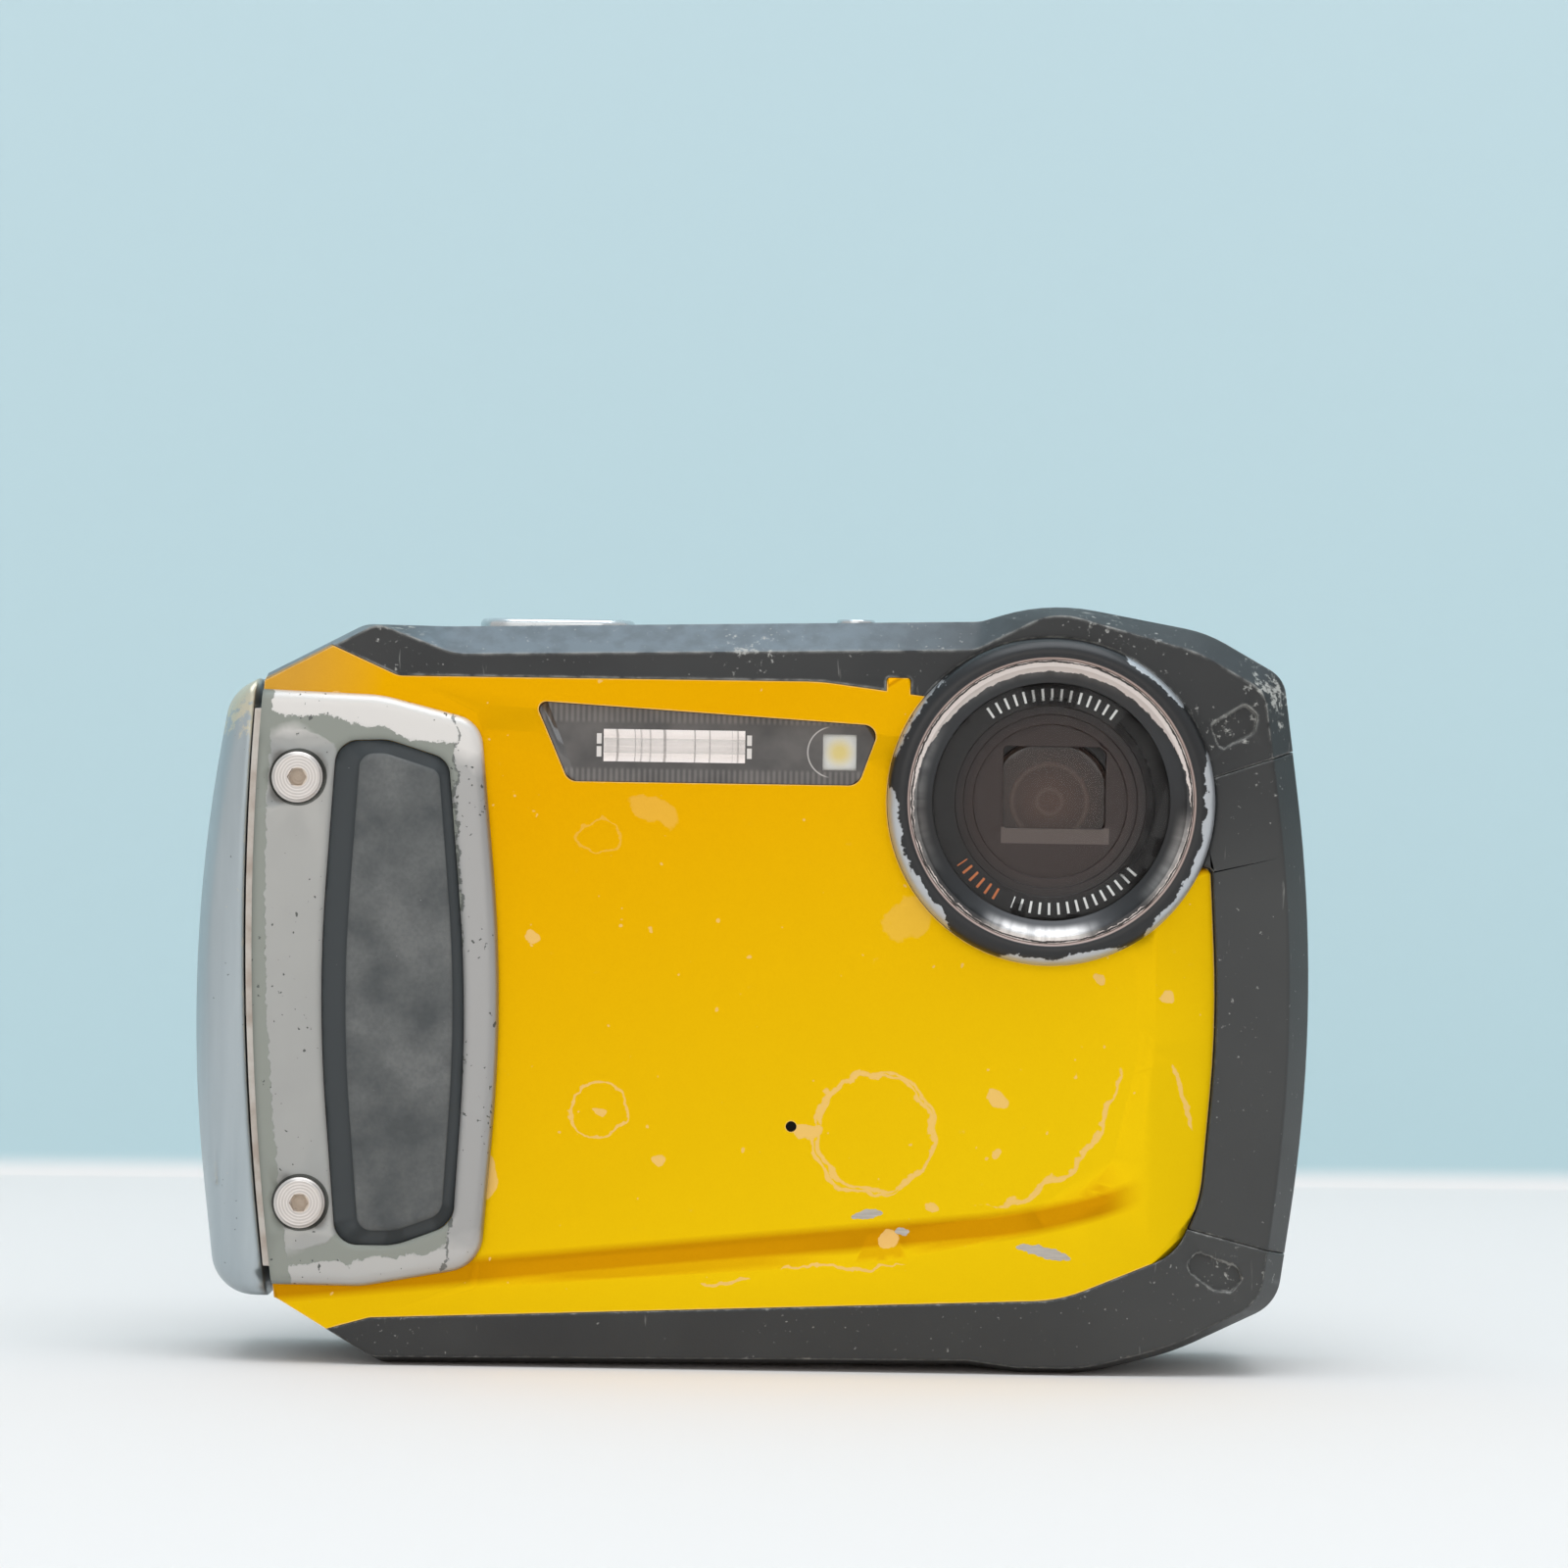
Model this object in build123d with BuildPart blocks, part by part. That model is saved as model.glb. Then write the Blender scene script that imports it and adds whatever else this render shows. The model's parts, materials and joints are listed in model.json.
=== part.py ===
"""Rugged waterproof compact camera, built as the pieces it comes apart into.

Millimetres.  +X is to the right seen from the lens side, +Y runs from the lens side to the
monitor side, +Z is up.  The origin is the middle of the box around the camera, at its base.
"""
import math
import os
from build123d import *

# ---------------------------------------------------------------- overall size
WIDTH = 103.5
HEIGHT = 71.1
DEPTH = 27.1
LEFT = -WIDTH / 2
RIGHT = WIDTH / 2

# ---------------------------------------------------------------- clearances and walls
FIT = 0.05            # between pieces that are fixed to each other
RUN = 0.05            # radial clearance of a pin or rod in its bore
SLIDE = 0.15          # around buttons and sliding pieces
SEAT = 0.3            # under a piece that rests on tape or foam, which isn't drawn
SIDE_WALL = 2.0
FRONT_WALL = 1.3
BACK_WALL = 1.8
THROUGH = 2.0         # how far a cutting solid runs past what it cuts

# ---------------------------------------------------------------- depths
RING_PROUD = 2.55     # lens ring in front of the front face
REST_PROUD = 0.95     # thumb rest behind the back face
BEVEL_DEPTH = 3.0
BACK_BEVEL_DEPTH = 3.1
BACK_BEVEL = 2.1
PANEL_THICK = 1.3
Y_LIP = -DEPTH / 2
Y_FACE = Y_LIP + RING_PROUD
Y_PANEL = Y_FACE + PANEL_THICK
Y_FRONT_IN = Y_PANEL + FRONT_WALL
Y_REST = DEPTH / 2
Y_BACK = Y_REST - REST_PROUD
Y_BACK_IN = Y_BACK - BACK_WALL
Y_SPLIT = 4.0         # joint between the front and the rear cover

# ---------------------------------------------------------------- end seam beside the door
SEAM_X = LEFT + 5.63  # leftmost point of the seam, which is a shallow arc seen from the front
SEAM_Z = HEIGHT - 28.4
SEAM_RADIUS = 267.0
FRAME_THICK = 0.7     # steel frame between the seam and the door
DOOR_GAP = 0.15

# ---------------------------------------------------------------- lens
LENS_X = RIGHT - 24.35
LENS_Z = HEIGHT - 18.1
RING_RADIUS = 15.1
RING_WIDTH = 2.05
BEZEL_LIP = 0.6
FUNNEL_WIDTH = 2.1    # of the sloping bezel between the ring and the window
WINDOW_RADIUS = RING_RADIUS - RING_WIDTH - FUNNEL_WIDTH
WINDOW_THICK = 1.0


def front_plane(y):
    """Plane seen from the lens side: local x is +X, local y is +Z, extrusion goes to -Y."""
    return Plane(origin=(0, y, 0), x_dir=(1, 0, 0), z_dir=(0, -1, 0))


def end_plane(x):
    """Plane seen from the right end: local x is +Y, local y is +Z, extrusion goes to +X."""
    return Plane(origin=(x, 0, 0), x_dir=(0, 1, 0), z_dir=(1, 0, 0))


def outline(corners, y):
    """Face through (x, z, corner radius) points at depth y."""
    with BuildSketch(front_plane(y)) as face:
        with BuildLine():
            FilletPolyline(
                *[(x, z) for x, z, radius in corners],
                radius=[radius for x, z, radius in corners],
                close=True,
            )
        make_face()
    return face.sketch


def rectangle(x0, x1, z0, z1, y, radius=0.0):
    """Face between two x and two z values at depth y, with rounded corners."""
    return outline([(x0, z0, radius), (x1, z0, radius), (x1, z1, radius), (x0, z1, radius)], y)


def disc(x, z, radius, y):
    """Round face at depth y."""
    with BuildSketch(front_plane(y)) as face:
        with Locations((x, z)):
            Circle(radius)
    return face.sketch


def inset_corners(corners, insets):
    """Move side i of a counterclockwise outline, from corner i on, inwards by insets[i]."""
    sides = []
    for (x0, z0, _), (x1, z1, _), inset in zip(corners, corners[1:] + corners[:1], insets):
        along = Vector(x1 - x0, z1 - z0).normalized()
        sides.append((Vector(x0 - along.Y * inset, z0 + along.X * inset), along))
    moved = []
    for index, (_, _, radius) in enumerate(corners):
        (point, along), (other, across) = sides[index - 1], sides[index]
        gap = other - point
        turn = along.X * across.Y - along.Y * across.X
        reach = (gap.X * across.Y - gap.Y * across.X) / turn
        moved.append((point.X + reach * along.X, point.Y + reach * along.Y, radius))
    return moved


def revolve_lens(profile):
    """Solid turned about the lens axis from (radius, y) points."""
    with BuildPart() as turned:
        with BuildSketch(Plane(origin=(LENS_X, 0, LENS_Z), x_dir=(1, 0, 0), z_dir=(0, 0, 1))):
            with BuildLine():
                Polyline(*profile, close=True)
            make_face()
        revolve(axis=Axis((LENS_X, 0, LENS_Z), (0, 1, 0)))
    return turned.part


def block(x0, x1, y0, y1, z0, z1):
    """Plain block between two values on each axis."""
    with BuildPart() as solid:
        extrude(rectangle(x0, x1, z0, z1, y1), amount=y1 - y0)
    return solid.part


# ================================================================= outer form
# Corners (x, z, radius) counterclockwise from the lower left, at the widest section.
FOOT_Z = 0.0
BELLY_Z = 0.6         # underside between the left foot and the bulge under the lens
BULGE_X = LENS_X + 0.9
BOW = 1.33            # how far the side corners stand outside the bowed sides
BOW_RADIUS = 2.04 * HEIGHT
INNER_BOW = 1.97 * HEIGHT
LEFT_BOW_Z = 0.52 * HEIGHT
RIGHT_BOW_Z = 0.4825 * HEIGHT
PLATE_BOW_Z = 0.478 * HEIGHT
SIDE_CORNERS = [
    (LEFT + 2.3, 6.0, 4.0),
    (LEFT + 7.95, 6.0, 2.0),
    (LEFT + 17.95, FOOT_Z, 2.5),
    (BULGE_X - 7.8, BELLY_Z, 3.0),
    (BULGE_X - 3.3, FOOT_Z, 3.0),
    (BULGE_X + 3.2, FOOT_Z, 14.0),
    (BULGE_X + 11.2, 2.0, 25.0),
    (RIGHT - 2.5, 6.7, 4.0),
    (RIGHT + BOW, RIGHT_BOW_Z, BOW_RADIUS),
    (RIGHT - 2.7, HEIGHT - 6.3, 3.0),
    (LENS_X + 14.4, HEIGHT - 2.2, 12.0),
    (LENS_X - 0.4, HEIGHT + 0.46, 18.0),
    (LENS_X - 6.6, HEIGHT - 1.5, 4.0),
    (LEFT + 23.25, HEIGHT - 2.7, 20.0),
    (LEFT + 15.45, HEIGHT - 2.6, 3.0),
    (LEFT + 2.85, HEIGHT - 9.2, 4.0),
    (LEFT - BOW, LEFT_BOW_Z, BOW_RADIUS),
]
# How the front face's corners lie from those, as (dx, dz, radius): the edge between the face
# and the sides leans back most along the top, and the bezel rises round the lens.
FACE_SHIFTS = [
    (0.6, 0.6, 4.0),
    (0.2, 0.2, 2.0),
    (-0.8, 0.8, 2.5),
    (0.0, 0.7, 3.0),
    (0.0, 0.7, 3.0),
    (-0.2, 0.7, 14.0),
    (-0.3, 0.8, 25.0),
    (-1.8, 0.4, 4.0),
    (-2.2, 0.0, BOW_RADIUS),
    (-2.0, -1.3, 3.0),
    (-1.0, -1.9, 12.0),
    (0.5, -0.96, 6.0),
    (-0.6, -2.7, 3.0),
    (0.7, -2.6, 6.0),
    (1.3, 0.0, 2.0),
    (0.8, -0.3, 2.2),
    (0.8, 0.0, BOW_RADIUS),
]
FACE_CORNERS = [
    (x + dx, z + dz, radius)
    for (x, z, _), (dx, dz, radius) in zip(SIDE_CORNERS, FACE_SHIFTS)
]
BACK_CORNERS = inset_corners(SIDE_CORNERS, [BACK_BEVEL] * len(SIDE_CORNERS))
CAVITY_CORNERS = inset_corners(SIDE_CORNERS, [SIDE_WALL] * len(SIDE_CORNERS))
CAVITY_LEFT = SEAM_X + 3.1


def seam_disc(grow, y):
    """Face of the big circle whose left arc is the seam, grown outwards past the seam."""
    return disc(SEAM_X + SEAM_RADIUS, SEAM_Z, SEAM_RADIUS + grow, y)


with BuildPart() as body_form:
    loft(
        sections=[
            outline(FACE_CORNERS, Y_FACE),
            outline(SIDE_CORNERS, Y_FACE + BEVEL_DEPTH),
            outline(SIDE_CORNERS, Y_BACK - BACK_BEVEL_DEPTH),
            outline(BACK_CORNERS, Y_BACK),
        ],
        ruled=True,
    )


# ================================================================= front panel
# A pressed aluminium panel: a flat rim, and inside it a shallow dish between two soft steps.
DISH_DEPTH = 0.5
TURN_BACK_X = LENS_X + 9.7  # right of this the panel curves back towards the end trim
TURN_BACK = 1.0
TAB_X = LENS_X - 14.2  # small tab of the panel in a notch of the bezel
PANEL_CORNERS = [
    (LEFT + 7.0, 1.6, 0.0),
    (LEFT + 16.95, 4.4, 2.0),
    (LENS_X + 1.6, 6.95, 14.0),
    (LENS_X + 12.2, 11.4, 5.0),
    (LENS_X + 14.4, 16.5, 12.0),
    (LENS_X + 15.7, 0.464 * HEIGHT, 1.4 * HEIGHT),
    (LENS_X + 14.9, LENS_Z - 6.1, 0.6),
    (LENS_X + 8.0, LENS_Z - 4.0, 0.0),
    (LENS_X, LENS_Z, 0.0),
    (LENS_X - 9.0, LENS_Z + 9.2, 0.0),
    (LENS_X - 21.4, LENS_Z + 10.75, 20.0),
    (LEFT + 18.75, LENS_Z + 10.7, 2.0),
    (LEFT + 5.0, LENS_Z + 16.8, 0.0),
    (LEFT, LENS_Z + 16.8, 0.0),
    (LEFT, 1.6, 0.0),
]
DISH_RIM = [
    (LEFT + 26.0, 7.1, 0.8),
    (LENS_X - 15.0, 10.1, 40.0),
    (LENS_X + 3.6, 14.0, 14.0),
    (LENS_X + 8.6, 18.2, 4.0),
    (LENS_X + 10.2, 30.0, 20.0),
    (LENS_X + 10.2, LENS_Z - 5.0, 0.8),
    (LENS_X, LENS_Z, 0.8),
    (LENS_X - 10.0, LENS_Z + 5.6, 0.8),
    (LEFT + 26.0, LENS_Z + 8.2, 0.8),
]
DISH_FLOOR = [
    (LEFT + 26.6, 9.4, 0.4),
    (LENS_X - 15.0, 13.0, 40.0),
    (LENS_X + 1.6, 15.7, 12.0),
    (LENS_X + 6.0, 18.8, 4.0),
    (LENS_X + 8.4, 30.0, 20.0),
    (LENS_X + 8.4, LENS_Z - 5.0, 0.4),
    (LENS_X, LENS_Z, 0.4),
    (LENS_X - 10.5, LENS_Z + 3.0, 0.4),
    (LEFT + 26.6, LENS_Z + 6.1, 0.4),
]
FLASH_CORNERS = [
    (LEFT + 34.55, LENS_Z + 1.2, 1.2),
    (LENS_X - 17.8, LENS_Z + 1.2, 1.3),
    (LENS_X - 15.8, LENS_Z + 6.75, 1.1),
    (LEFT + 31.35, LENS_Z + 8.6, 0.7),
]
MIC_X, MIC_Z, MIC_HOLE = 3.9, 22.6, 0.5

PLATE_SCREWS = [(LEFT + 9.65, HEIGHT - 16.9), (LEFT + 10.45, 15.0)]
HEAD_RADIUS = 2.35
HEAD_SINK = 0.45
HEAD_HEIGHT = 1.15
SHANK_RADIUS = 1.25
SHANK_HOLE = SHANK_RADIUS + FIT

with BuildPart() as front_panel:
    extrude(outline(PANEL_CORNERS, Y_PANEL), amount=PANEL_THICK)
    extrude(rectangle(TAB_X - 1.1, TAB_X + 1.1, LENS_Z + 9, LENS_Z + 11.2, Y_PANEL, 0.3),
            amount=PANEL_THICK)
    add(body_form.part, mode=Mode.INTERSECT)
    extrude(seam_disc(0, Y_PANEL + THROUGH), amount=DEPTH, mode=Mode.INTERSECT)
    loft(sections=[outline(DISH_FLOOR, Y_FACE + DISH_DEPTH), outline(DISH_RIM, Y_FACE - 0.001)],
         ruled=True, mode=Mode.SUBTRACT)
    with BuildSketch(Plane.XY):
        with BuildLine():
            Polyline((TURN_BACK_X, Y_FACE - 0.01), (LENS_X + 17, Y_FACE - 0.01),
                     (LENS_X + 17, Y_FACE + TURN_BACK), close=True)
        make_face()
    extrude(amount=HEIGHT, mode=Mode.SUBTRACT)
    extrude(disc(LENS_X, LENS_Z, RING_RADIUS + FIT, DEPTH), amount=2 * DEPTH, mode=Mode.SUBTRACT)
    extrude(outline(FLASH_CORNERS, DEPTH), amount=2 * DEPTH, mode=Mode.SUBTRACT)
    extrude(disc(MIC_X, MIC_Z, MIC_HOLE, DEPTH), amount=2 * DEPTH, mode=Mode.SUBTRACT)
    for x, z in PLATE_SCREWS:
        extrude(disc(x, z, SHANK_HOLE, DEPTH), amount=2 * DEPTH, mode=Mode.SUBTRACT)

# ================================================================= grip plate, pad and screws
PLATE_PROUD = 1.1
PLATE_EDGE = 0.9
PILLOW_PROUD = 0.35
Y_PLATE = Y_FACE - PLATE_PROUD
PLATE_CORNERS = [
    (LEFT, 7.45, 0.0),
    (LEFT + 16.25, 7.3, 10.0),
    (LEFT + 27.15, 9.3, 3.5),
    (LEFT + 29.0, PLATE_BOW_Z, INNER_BOW),
    (LEFT + 26.45, HEIGHT - 11.5, 3.0),
    (LEFT + 17.25, HEIGHT - 9.2, 12.0),
    (LEFT, HEIGHT - 8.6, 0.0),
]
PAD_CORNERS = [
    (LEFT + 13.85, 11.2, 2.2),
    (LEFT + 19.25, 11.2, 6.0),
    (LEFT + 24.55, 13.2, 2.5),
    (LEFT + 25.65, 0.464 * HEIGHT, INNER_BOW),
    (LEFT + 23.55, HEIGHT - 15.1, 2.0),
    (LEFT + 17.95, HEIGHT - 13.35, 4.0),
    (LEFT + 13.25, HEIGHT - 13.5, 2.2),
    (LEFT + 11.85, PLATE_BOW_Z, INNER_BOW),
]
PILLOW_INSETS = [1.3, 1.2, 1.0, 0.9, 1.2, 1.2, 2.2, 2.1]

with BuildPart() as grip_plate:
    extrude(outline(PLATE_CORNERS, Y_FACE), amount=PLATE_PROUD)
    rim = grip_plate.faces().sort_by(Axis.Y)[0].edges().filter_by(
        lambda edge: edge.center().X > LEFT + 1)
    fillet(rim, radius=PLATE_EDGE)
    extrude(seam_disc(0, Y_FACE + THROUGH), amount=DEPTH, mode=Mode.INTERSECT)
    pad_hole = inset_corners(PAD_CORNERS, [-FIT] * len(PAD_CORNERS))
    extrude(outline(pad_hole, Y_FACE), amount=DEPTH, mode=Mode.SUBTRACT)
    for x, z in PLATE_SCREWS:
        extrude(disc(x, z, SHANK_HOLE, Y_FACE), amount=DEPTH, mode=Mode.SUBTRACT)
        extrude(disc(x, z, HEAD_RADIUS + FIT, Y_PLATE + HEAD_SINK), amount=DEPTH,
                mode=Mode.SUBTRACT)

with BuildPart() as grip_pad:
    extrude(outline(PAD_CORNERS, Y_FACE), amount=PLATE_PROUD - 0.15)
    pillow = [(x, z, radius - 0.8) for x, z, radius in inset_corners(PAD_CORNERS, PILLOW_INSETS)]
    extrude(outline(pillow, Y_PLATE + 0.15), amount=PILLOW_PROUD + 0.15)
    fillet(grip_pad.faces().sort_by(Axis.Y)[0].edges(), radius=0.3)

with BuildPart() as grip_screws:
    for x, z in PLATE_SCREWS:
        head_seat = Y_PLATE + HEAD_SINK
        extrude(disc(x, z, SHANK_RADIUS, Y_FRONT_IN), amount=Y_FRONT_IN - head_seat)
        extrude(disc(x, z, HEAD_RADIUS, head_seat), amount=HEAD_HEIGHT)
    heads = grip_screws.faces().filter_by(Plane.XZ).group_by(Axis.Y)[0]
    chamfer(heads.edges(), length=0.3)
    for x, z in PLATE_SCREWS:
        with BuildSketch(front_plane(head_seat - 0.2)):
            with Locations((x, z)):
                RegularPolygon(radius=0.9, side_count=6)
        extrude(amount=HEAD_HEIGHT, mode=Mode.SUBTRACT)

# ================================================================= end trim
TRIM_THICK = 1.0
TRIM_BACK = Y_SPLIT + 3.0
TRIM_RIB = 2.0          # thickening where the trim turns onto the front
TRIM_RIB_DEPTH = 0.8
TRIM_CORNERS = [
    (RIGHT - 12.0, 14.0, 0.0),
    (RIGHT + 2.0, 10.4, 0.0),
    (RIGHT + 2.0, HEIGHT - 11.9, 0.0),
    (RIGHT - 12.0, HEIGHT - 16.6, 0.0),
]
trim_inner = inset_corners(SIDE_CORNERS, [TRIM_THICK] * len(SIDE_CORNERS))
rib_inner = inset_corners(SIDE_CORNERS, [TRIM_THICK + TRIM_RIB] * len(SIDE_CORNERS))

with BuildPart() as end_trim:
    extrude(outline(TRIM_CORNERS, TRIM_BACK), amount=DEPTH)
    add(body_form.part, mode=Mode.INTERSECT)
    extrude(outline(trim_inner, DEPTH), amount=DEPTH - Y_PANEL - TRIM_RIB_DEPTH,
            mode=Mode.SUBTRACT)
    extrude(outline(rib_inner, DEPTH), amount=DEPTH - Y_PANEL, mode=Mode.SUBTRACT)
    panel_side = inset_corners(PANEL_CORNERS, [-DOOR_GAP] * len(PANEL_CORNERS))
    extrude(outline(panel_side, DEPTH), amount=2 * DEPTH, mode=Mode.SUBTRACT)
    extrude(disc(LENS_X, LENS_Z, RING_RADIUS + DOOR_GAP, DEPTH), amount=2 * DEPTH,
            mode=Mode.SUBTRACT)
TRIM_SEAT = inset_corners(TRIM_CORNERS, [-DOOR_GAP / 2] * len(TRIM_CORNERS))

with BuildPart() as trim_space:
    extrude(outline(TRIM_SEAT, TRIM_BACK + FIT), amount=DEPTH)
    extrude(outline(inset_corners(trim_inner, [FIT] * len(trim_inner)), DEPTH),
            amount=DEPTH - Y_PANEL - TRIM_RIB_DEPTH - FIT, mode=Mode.SUBTRACT)
    extrude(outline(inset_corners(rib_inner, [FIT] * len(rib_inner)), DEPTH),
            amount=DEPTH - Y_PANEL, mode=Mode.SUBTRACT)

# ================================================================= lens ring, bezel, window
Y_RING_SEAT = Y_PANEL + 0.4
RING_BORE = RING_RADIUS - RING_WIDTH
Y_BEZEL_LIP = Y_LIP + 0.3
Y_WINDOW = Y_LIP + 1.55
Y_WINDOW_BACK = Y_WINDOW + WINDOW_THICK
BEZEL_BORE = WINDOW_RADIUS + 0.3
FUNNEL_MOUTH = RING_BORE - BEZEL_LIP
BAFFLE_THICK = 0.6
SEAL_SIZE = 0.8

lens_ring = revolve_lens([
    (RING_BORE + FIT, Y_RING_SEAT),
    (RING_RADIUS, Y_RING_SEAT),
    (RING_RADIUS, Y_LIP + 1.15),
    (RING_RADIUS - 0.25, Y_LIP + 0.6),
    (RING_RADIUS - 0.75, Y_LIP + 0.15),
    (RING_RADIUS - 1.2, Y_LIP),
    (RING_BORE + 0.45, Y_LIP),
    (RING_BORE + FIT, Y_LIP + 0.2),
])
lens_bezel = revolve_lens([
    (BEZEL_BORE, Y_RING_SEAT),
    (RING_BORE, Y_RING_SEAT),
    (RING_BORE, Y_BEZEL_LIP),
    (FUNNEL_MOUTH, Y_BEZEL_LIP),
    (FUNNEL_MOUTH - 0.25, Y_BEZEL_LIP + 0.35),
    (WINDOW_RADIUS, Y_WINDOW - 0.1),
    (WINDOW_RADIUS, Y_WINDOW),
    (BEZEL_BORE, Y_WINDOW),
])
lens_window = revolve_lens([
    (0, Y_WINDOW),
    (BEZEL_BORE - FIT, Y_WINDOW),
    (BEZEL_BORE - FIT, Y_WINDOW_BACK),
    (0, Y_WINDOW_BACK),
])
window_seal = revolve_lens([
    (BEZEL_BORE - FIT - SEAL_SIZE, Y_WINDOW_BACK + BAFFLE_THICK),
    (BEZEL_BORE - FIT, Y_WINDOW_BACK + BAFFLE_THICK),
    (BEZEL_BORE - FIT, Y_RING_SEAT),
    (BEZEL_BORE - FIT - SEAL_SIZE, Y_RING_SEAT),
])

# Black baffle behind the glass: a stepped funnel that ends in a hood with a square mouth.
FUNNEL_RADII = [WINDOW_RADIUS - 2.1, WINDOW_RADIUS - 2.9, WINDOW_RADIUS - 3.8]
HOOD_W, HOOD_H = 9.5, 7.6
HOOD_X, HOOD_Z = LENS_X + 0.4, LENS_Z + 1.3   # middle of the mouth, above the window's
HOOD_DEPTH = 0.9
with BuildPart() as lens_baffle:
    extrude(disc(LENS_X, LENS_Z, BEZEL_BORE - FIT, Y_WINDOW_BACK + BAFFLE_THICK),
            amount=BAFFLE_THICK)
    extrude(disc(LENS_X, LENS_Z, FUNNEL_RADII[0] + 0.8, Y_FRONT_IN),
            amount=Y_FRONT_IN - Y_WINDOW_BACK - BAFFLE_THICK)
    for index, radius in enumerate(FUNNEL_RADII):
        extrude(disc(LENS_X, LENS_Z, radius, Y_WINDOW_BACK + 0.3 + 0.5 * index), amount=DEPTH,
                mode=Mode.SUBTRACT)
    mouth = rectangle(HOOD_X - HOOD_W / 2, HOOD_X + HOOD_W / 2, HOOD_Z - HOOD_H / 2,
                      HOOD_Z + HOOD_H / 2, Y_FRONT_IN, 0.4)
    extrude(mouth & disc(LENS_X, LENS_Z, FUNNEL_RADII[-1] - 0.3, Y_FRONT_IN), amount=DEPTH,
            mode=Mode.SUBTRACT)

# ================================================================= flash and focus lamp
WINDOW_SINK = 0.15
FLASH_GLASS = inset_corners(FLASH_CORNERS, [FIT] * len(FLASH_CORNERS))
TUBE_X0, TUBE_X1 = LEFT + 37.75, LENS_X - 28.3
TUBE_Z0, TUBE_Z1 = LENS_Z + 3.1, LENS_Z + 6.1
LAMP_X, LAMP_Z = LENS_X - 19.55, LENS_Z + 4.25
LAMP_SIZE = 3.1
LAMP_CUP = 2.3
REFLECTOR_WALL = 0.4
REFLECTOR_DEPTH = 3.4
TUBE_RADIUS = 0.7

with BuildPart() as flash_window:
    extrude(outline(FLASH_GLASS, Y_PANEL), amount=PANEL_THICK - DISH_DEPTH - WINDOW_SINK)

with BuildPart() as flash_reflector:
    tube_mid = (TUBE_Z0 + TUBE_Z1) / 2
    extrude(rectangle(TUBE_X0 - REFLECTOR_WALL, TUBE_X1 + REFLECTOR_WALL,
                      TUBE_Z0 - REFLECTOR_WALL, TUBE_Z1 + REFLECTOR_WALL,
                      Y_PANEL + REFLECTOR_DEPTH),
            amount=REFLECTOR_DEPTH - FIT)
    with BuildSketch(end_plane(TUBE_X0)):
        with BuildLine():
            Polyline((Y_PANEL, TUBE_Z0), (Y_PANEL + REFLECTOR_DEPTH - 1.2, tube_mid - 1.0),
                     (Y_PANEL + REFLECTOR_DEPTH - REFLECTOR_WALL, tube_mid),
                     (Y_PANEL + REFLECTOR_DEPTH - 1.2, tube_mid + 1.0), (Y_PANEL, TUBE_Z1),
                     (Y_PANEL - THROUGH, TUBE_Z1), (Y_PANEL - THROUGH, TUBE_Z0), close=True)
        make_face()
    extrude(amount=TUBE_X1 - TUBE_X0, mode=Mode.SUBTRACT)
    with BuildSketch(end_plane(TUBE_X0 - THROUGH)):
        with Locations((Y_PANEL + REFLECTOR_DEPTH - 1.5, tube_mid)):
            Circle(TUBE_RADIUS + FIT)
    extrude(amount=TUBE_X1 - TUBE_X0 + 2 * THROUGH, mode=Mode.SUBTRACT)

with BuildPart() as flash_tube:
    with BuildSketch(end_plane(TUBE_X0 - REFLECTOR_WALL)):
        with Locations((Y_PANEL + REFLECTOR_DEPTH - 1.5, tube_mid)):
            Circle(TUBE_RADIUS)
    extrude(amount=TUBE_X1 - TUBE_X0 + 2 * REFLECTOR_WALL)

with BuildPart() as focus_lamp:
    extrude(disc(LAMP_X, LAMP_Z, LAMP_CUP, Y_FRONT_IN), amount=FRONT_WALL - 0.35)
    extrude(rectangle(LAMP_X - LAMP_SIZE / 2, LAMP_X + LAMP_SIZE / 2, LAMP_Z - LAMP_SIZE / 2,
                      LAMP_Z + LAMP_SIZE / 2, Y_PANEL + 0.4, 0.2), amount=0.35)

# ================================================================= front and rear cover
BATTERY_L, BATTERY_H, BATTERY_T = 40.0, HEIGHT - 35.8, DEPTH - 21.1
BATTERY_X = CAVITY_LEFT - 0.4
BATTERY_Z = 12.0
BATTERY_Y = Y_FRONT_IN + 2.65
CASE_WALL = 0.6
CASE_PLAY = 0.15
CARD_L, CARD_H, CARD_T = 32.0, 24.0, 2.1
CARD_X = CAVITY_LEFT - 0.3
CARD_Z = 14.5
CARD_Y = BATTERY_Y + BATTERY_T + 1.3
SLOT_WALL = 0.3
PORT_Y0, PORT_Y1 = Y_FRONT_IN + 6.4, Y_BACK_IN - 7.2
PORT_Z0, PORT_Z1 = BATTERY_Z + BATTERY_H + 2.7, HEIGHT - 12.1
SHUTTER_X, SHUTTER_Y = LEFT + 33.05, -2.0
SHUTTER_L, SHUTTER_W = 14.5, 7.0
POWER_X, POWER_RADIUS = LENS_X - 18.1, 1.8
BUSH_X, BUSH_Y, BUSH_RADIUS, BUSH_BORE = 8.0, -2.0, 4.5, 3.175
BUSH_LENGTH = 6.0
BUSH_FLANGE = 5.5
SEAL_RIM = 1.15
SEAL_WIDTH = 0.6
SEAL_HEIGHT = 0.4



def inside(inset, x_left, y0, y1):
    """Straight solid inside the widest section by one inset, and right of x_left."""
    corners = inset_corners(SIDE_CORNERS, [inset] * len(SIDE_CORNERS))
    with BuildPart() as solid:
        extrude(outline(corners, y1), amount=y1 - y0)
        add(block(x_left, WIDTH, y0, y1, -THROUGH, HEIGHT + THROUGH), mode=Mode.INTERSECT)
    return solid.part


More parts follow.
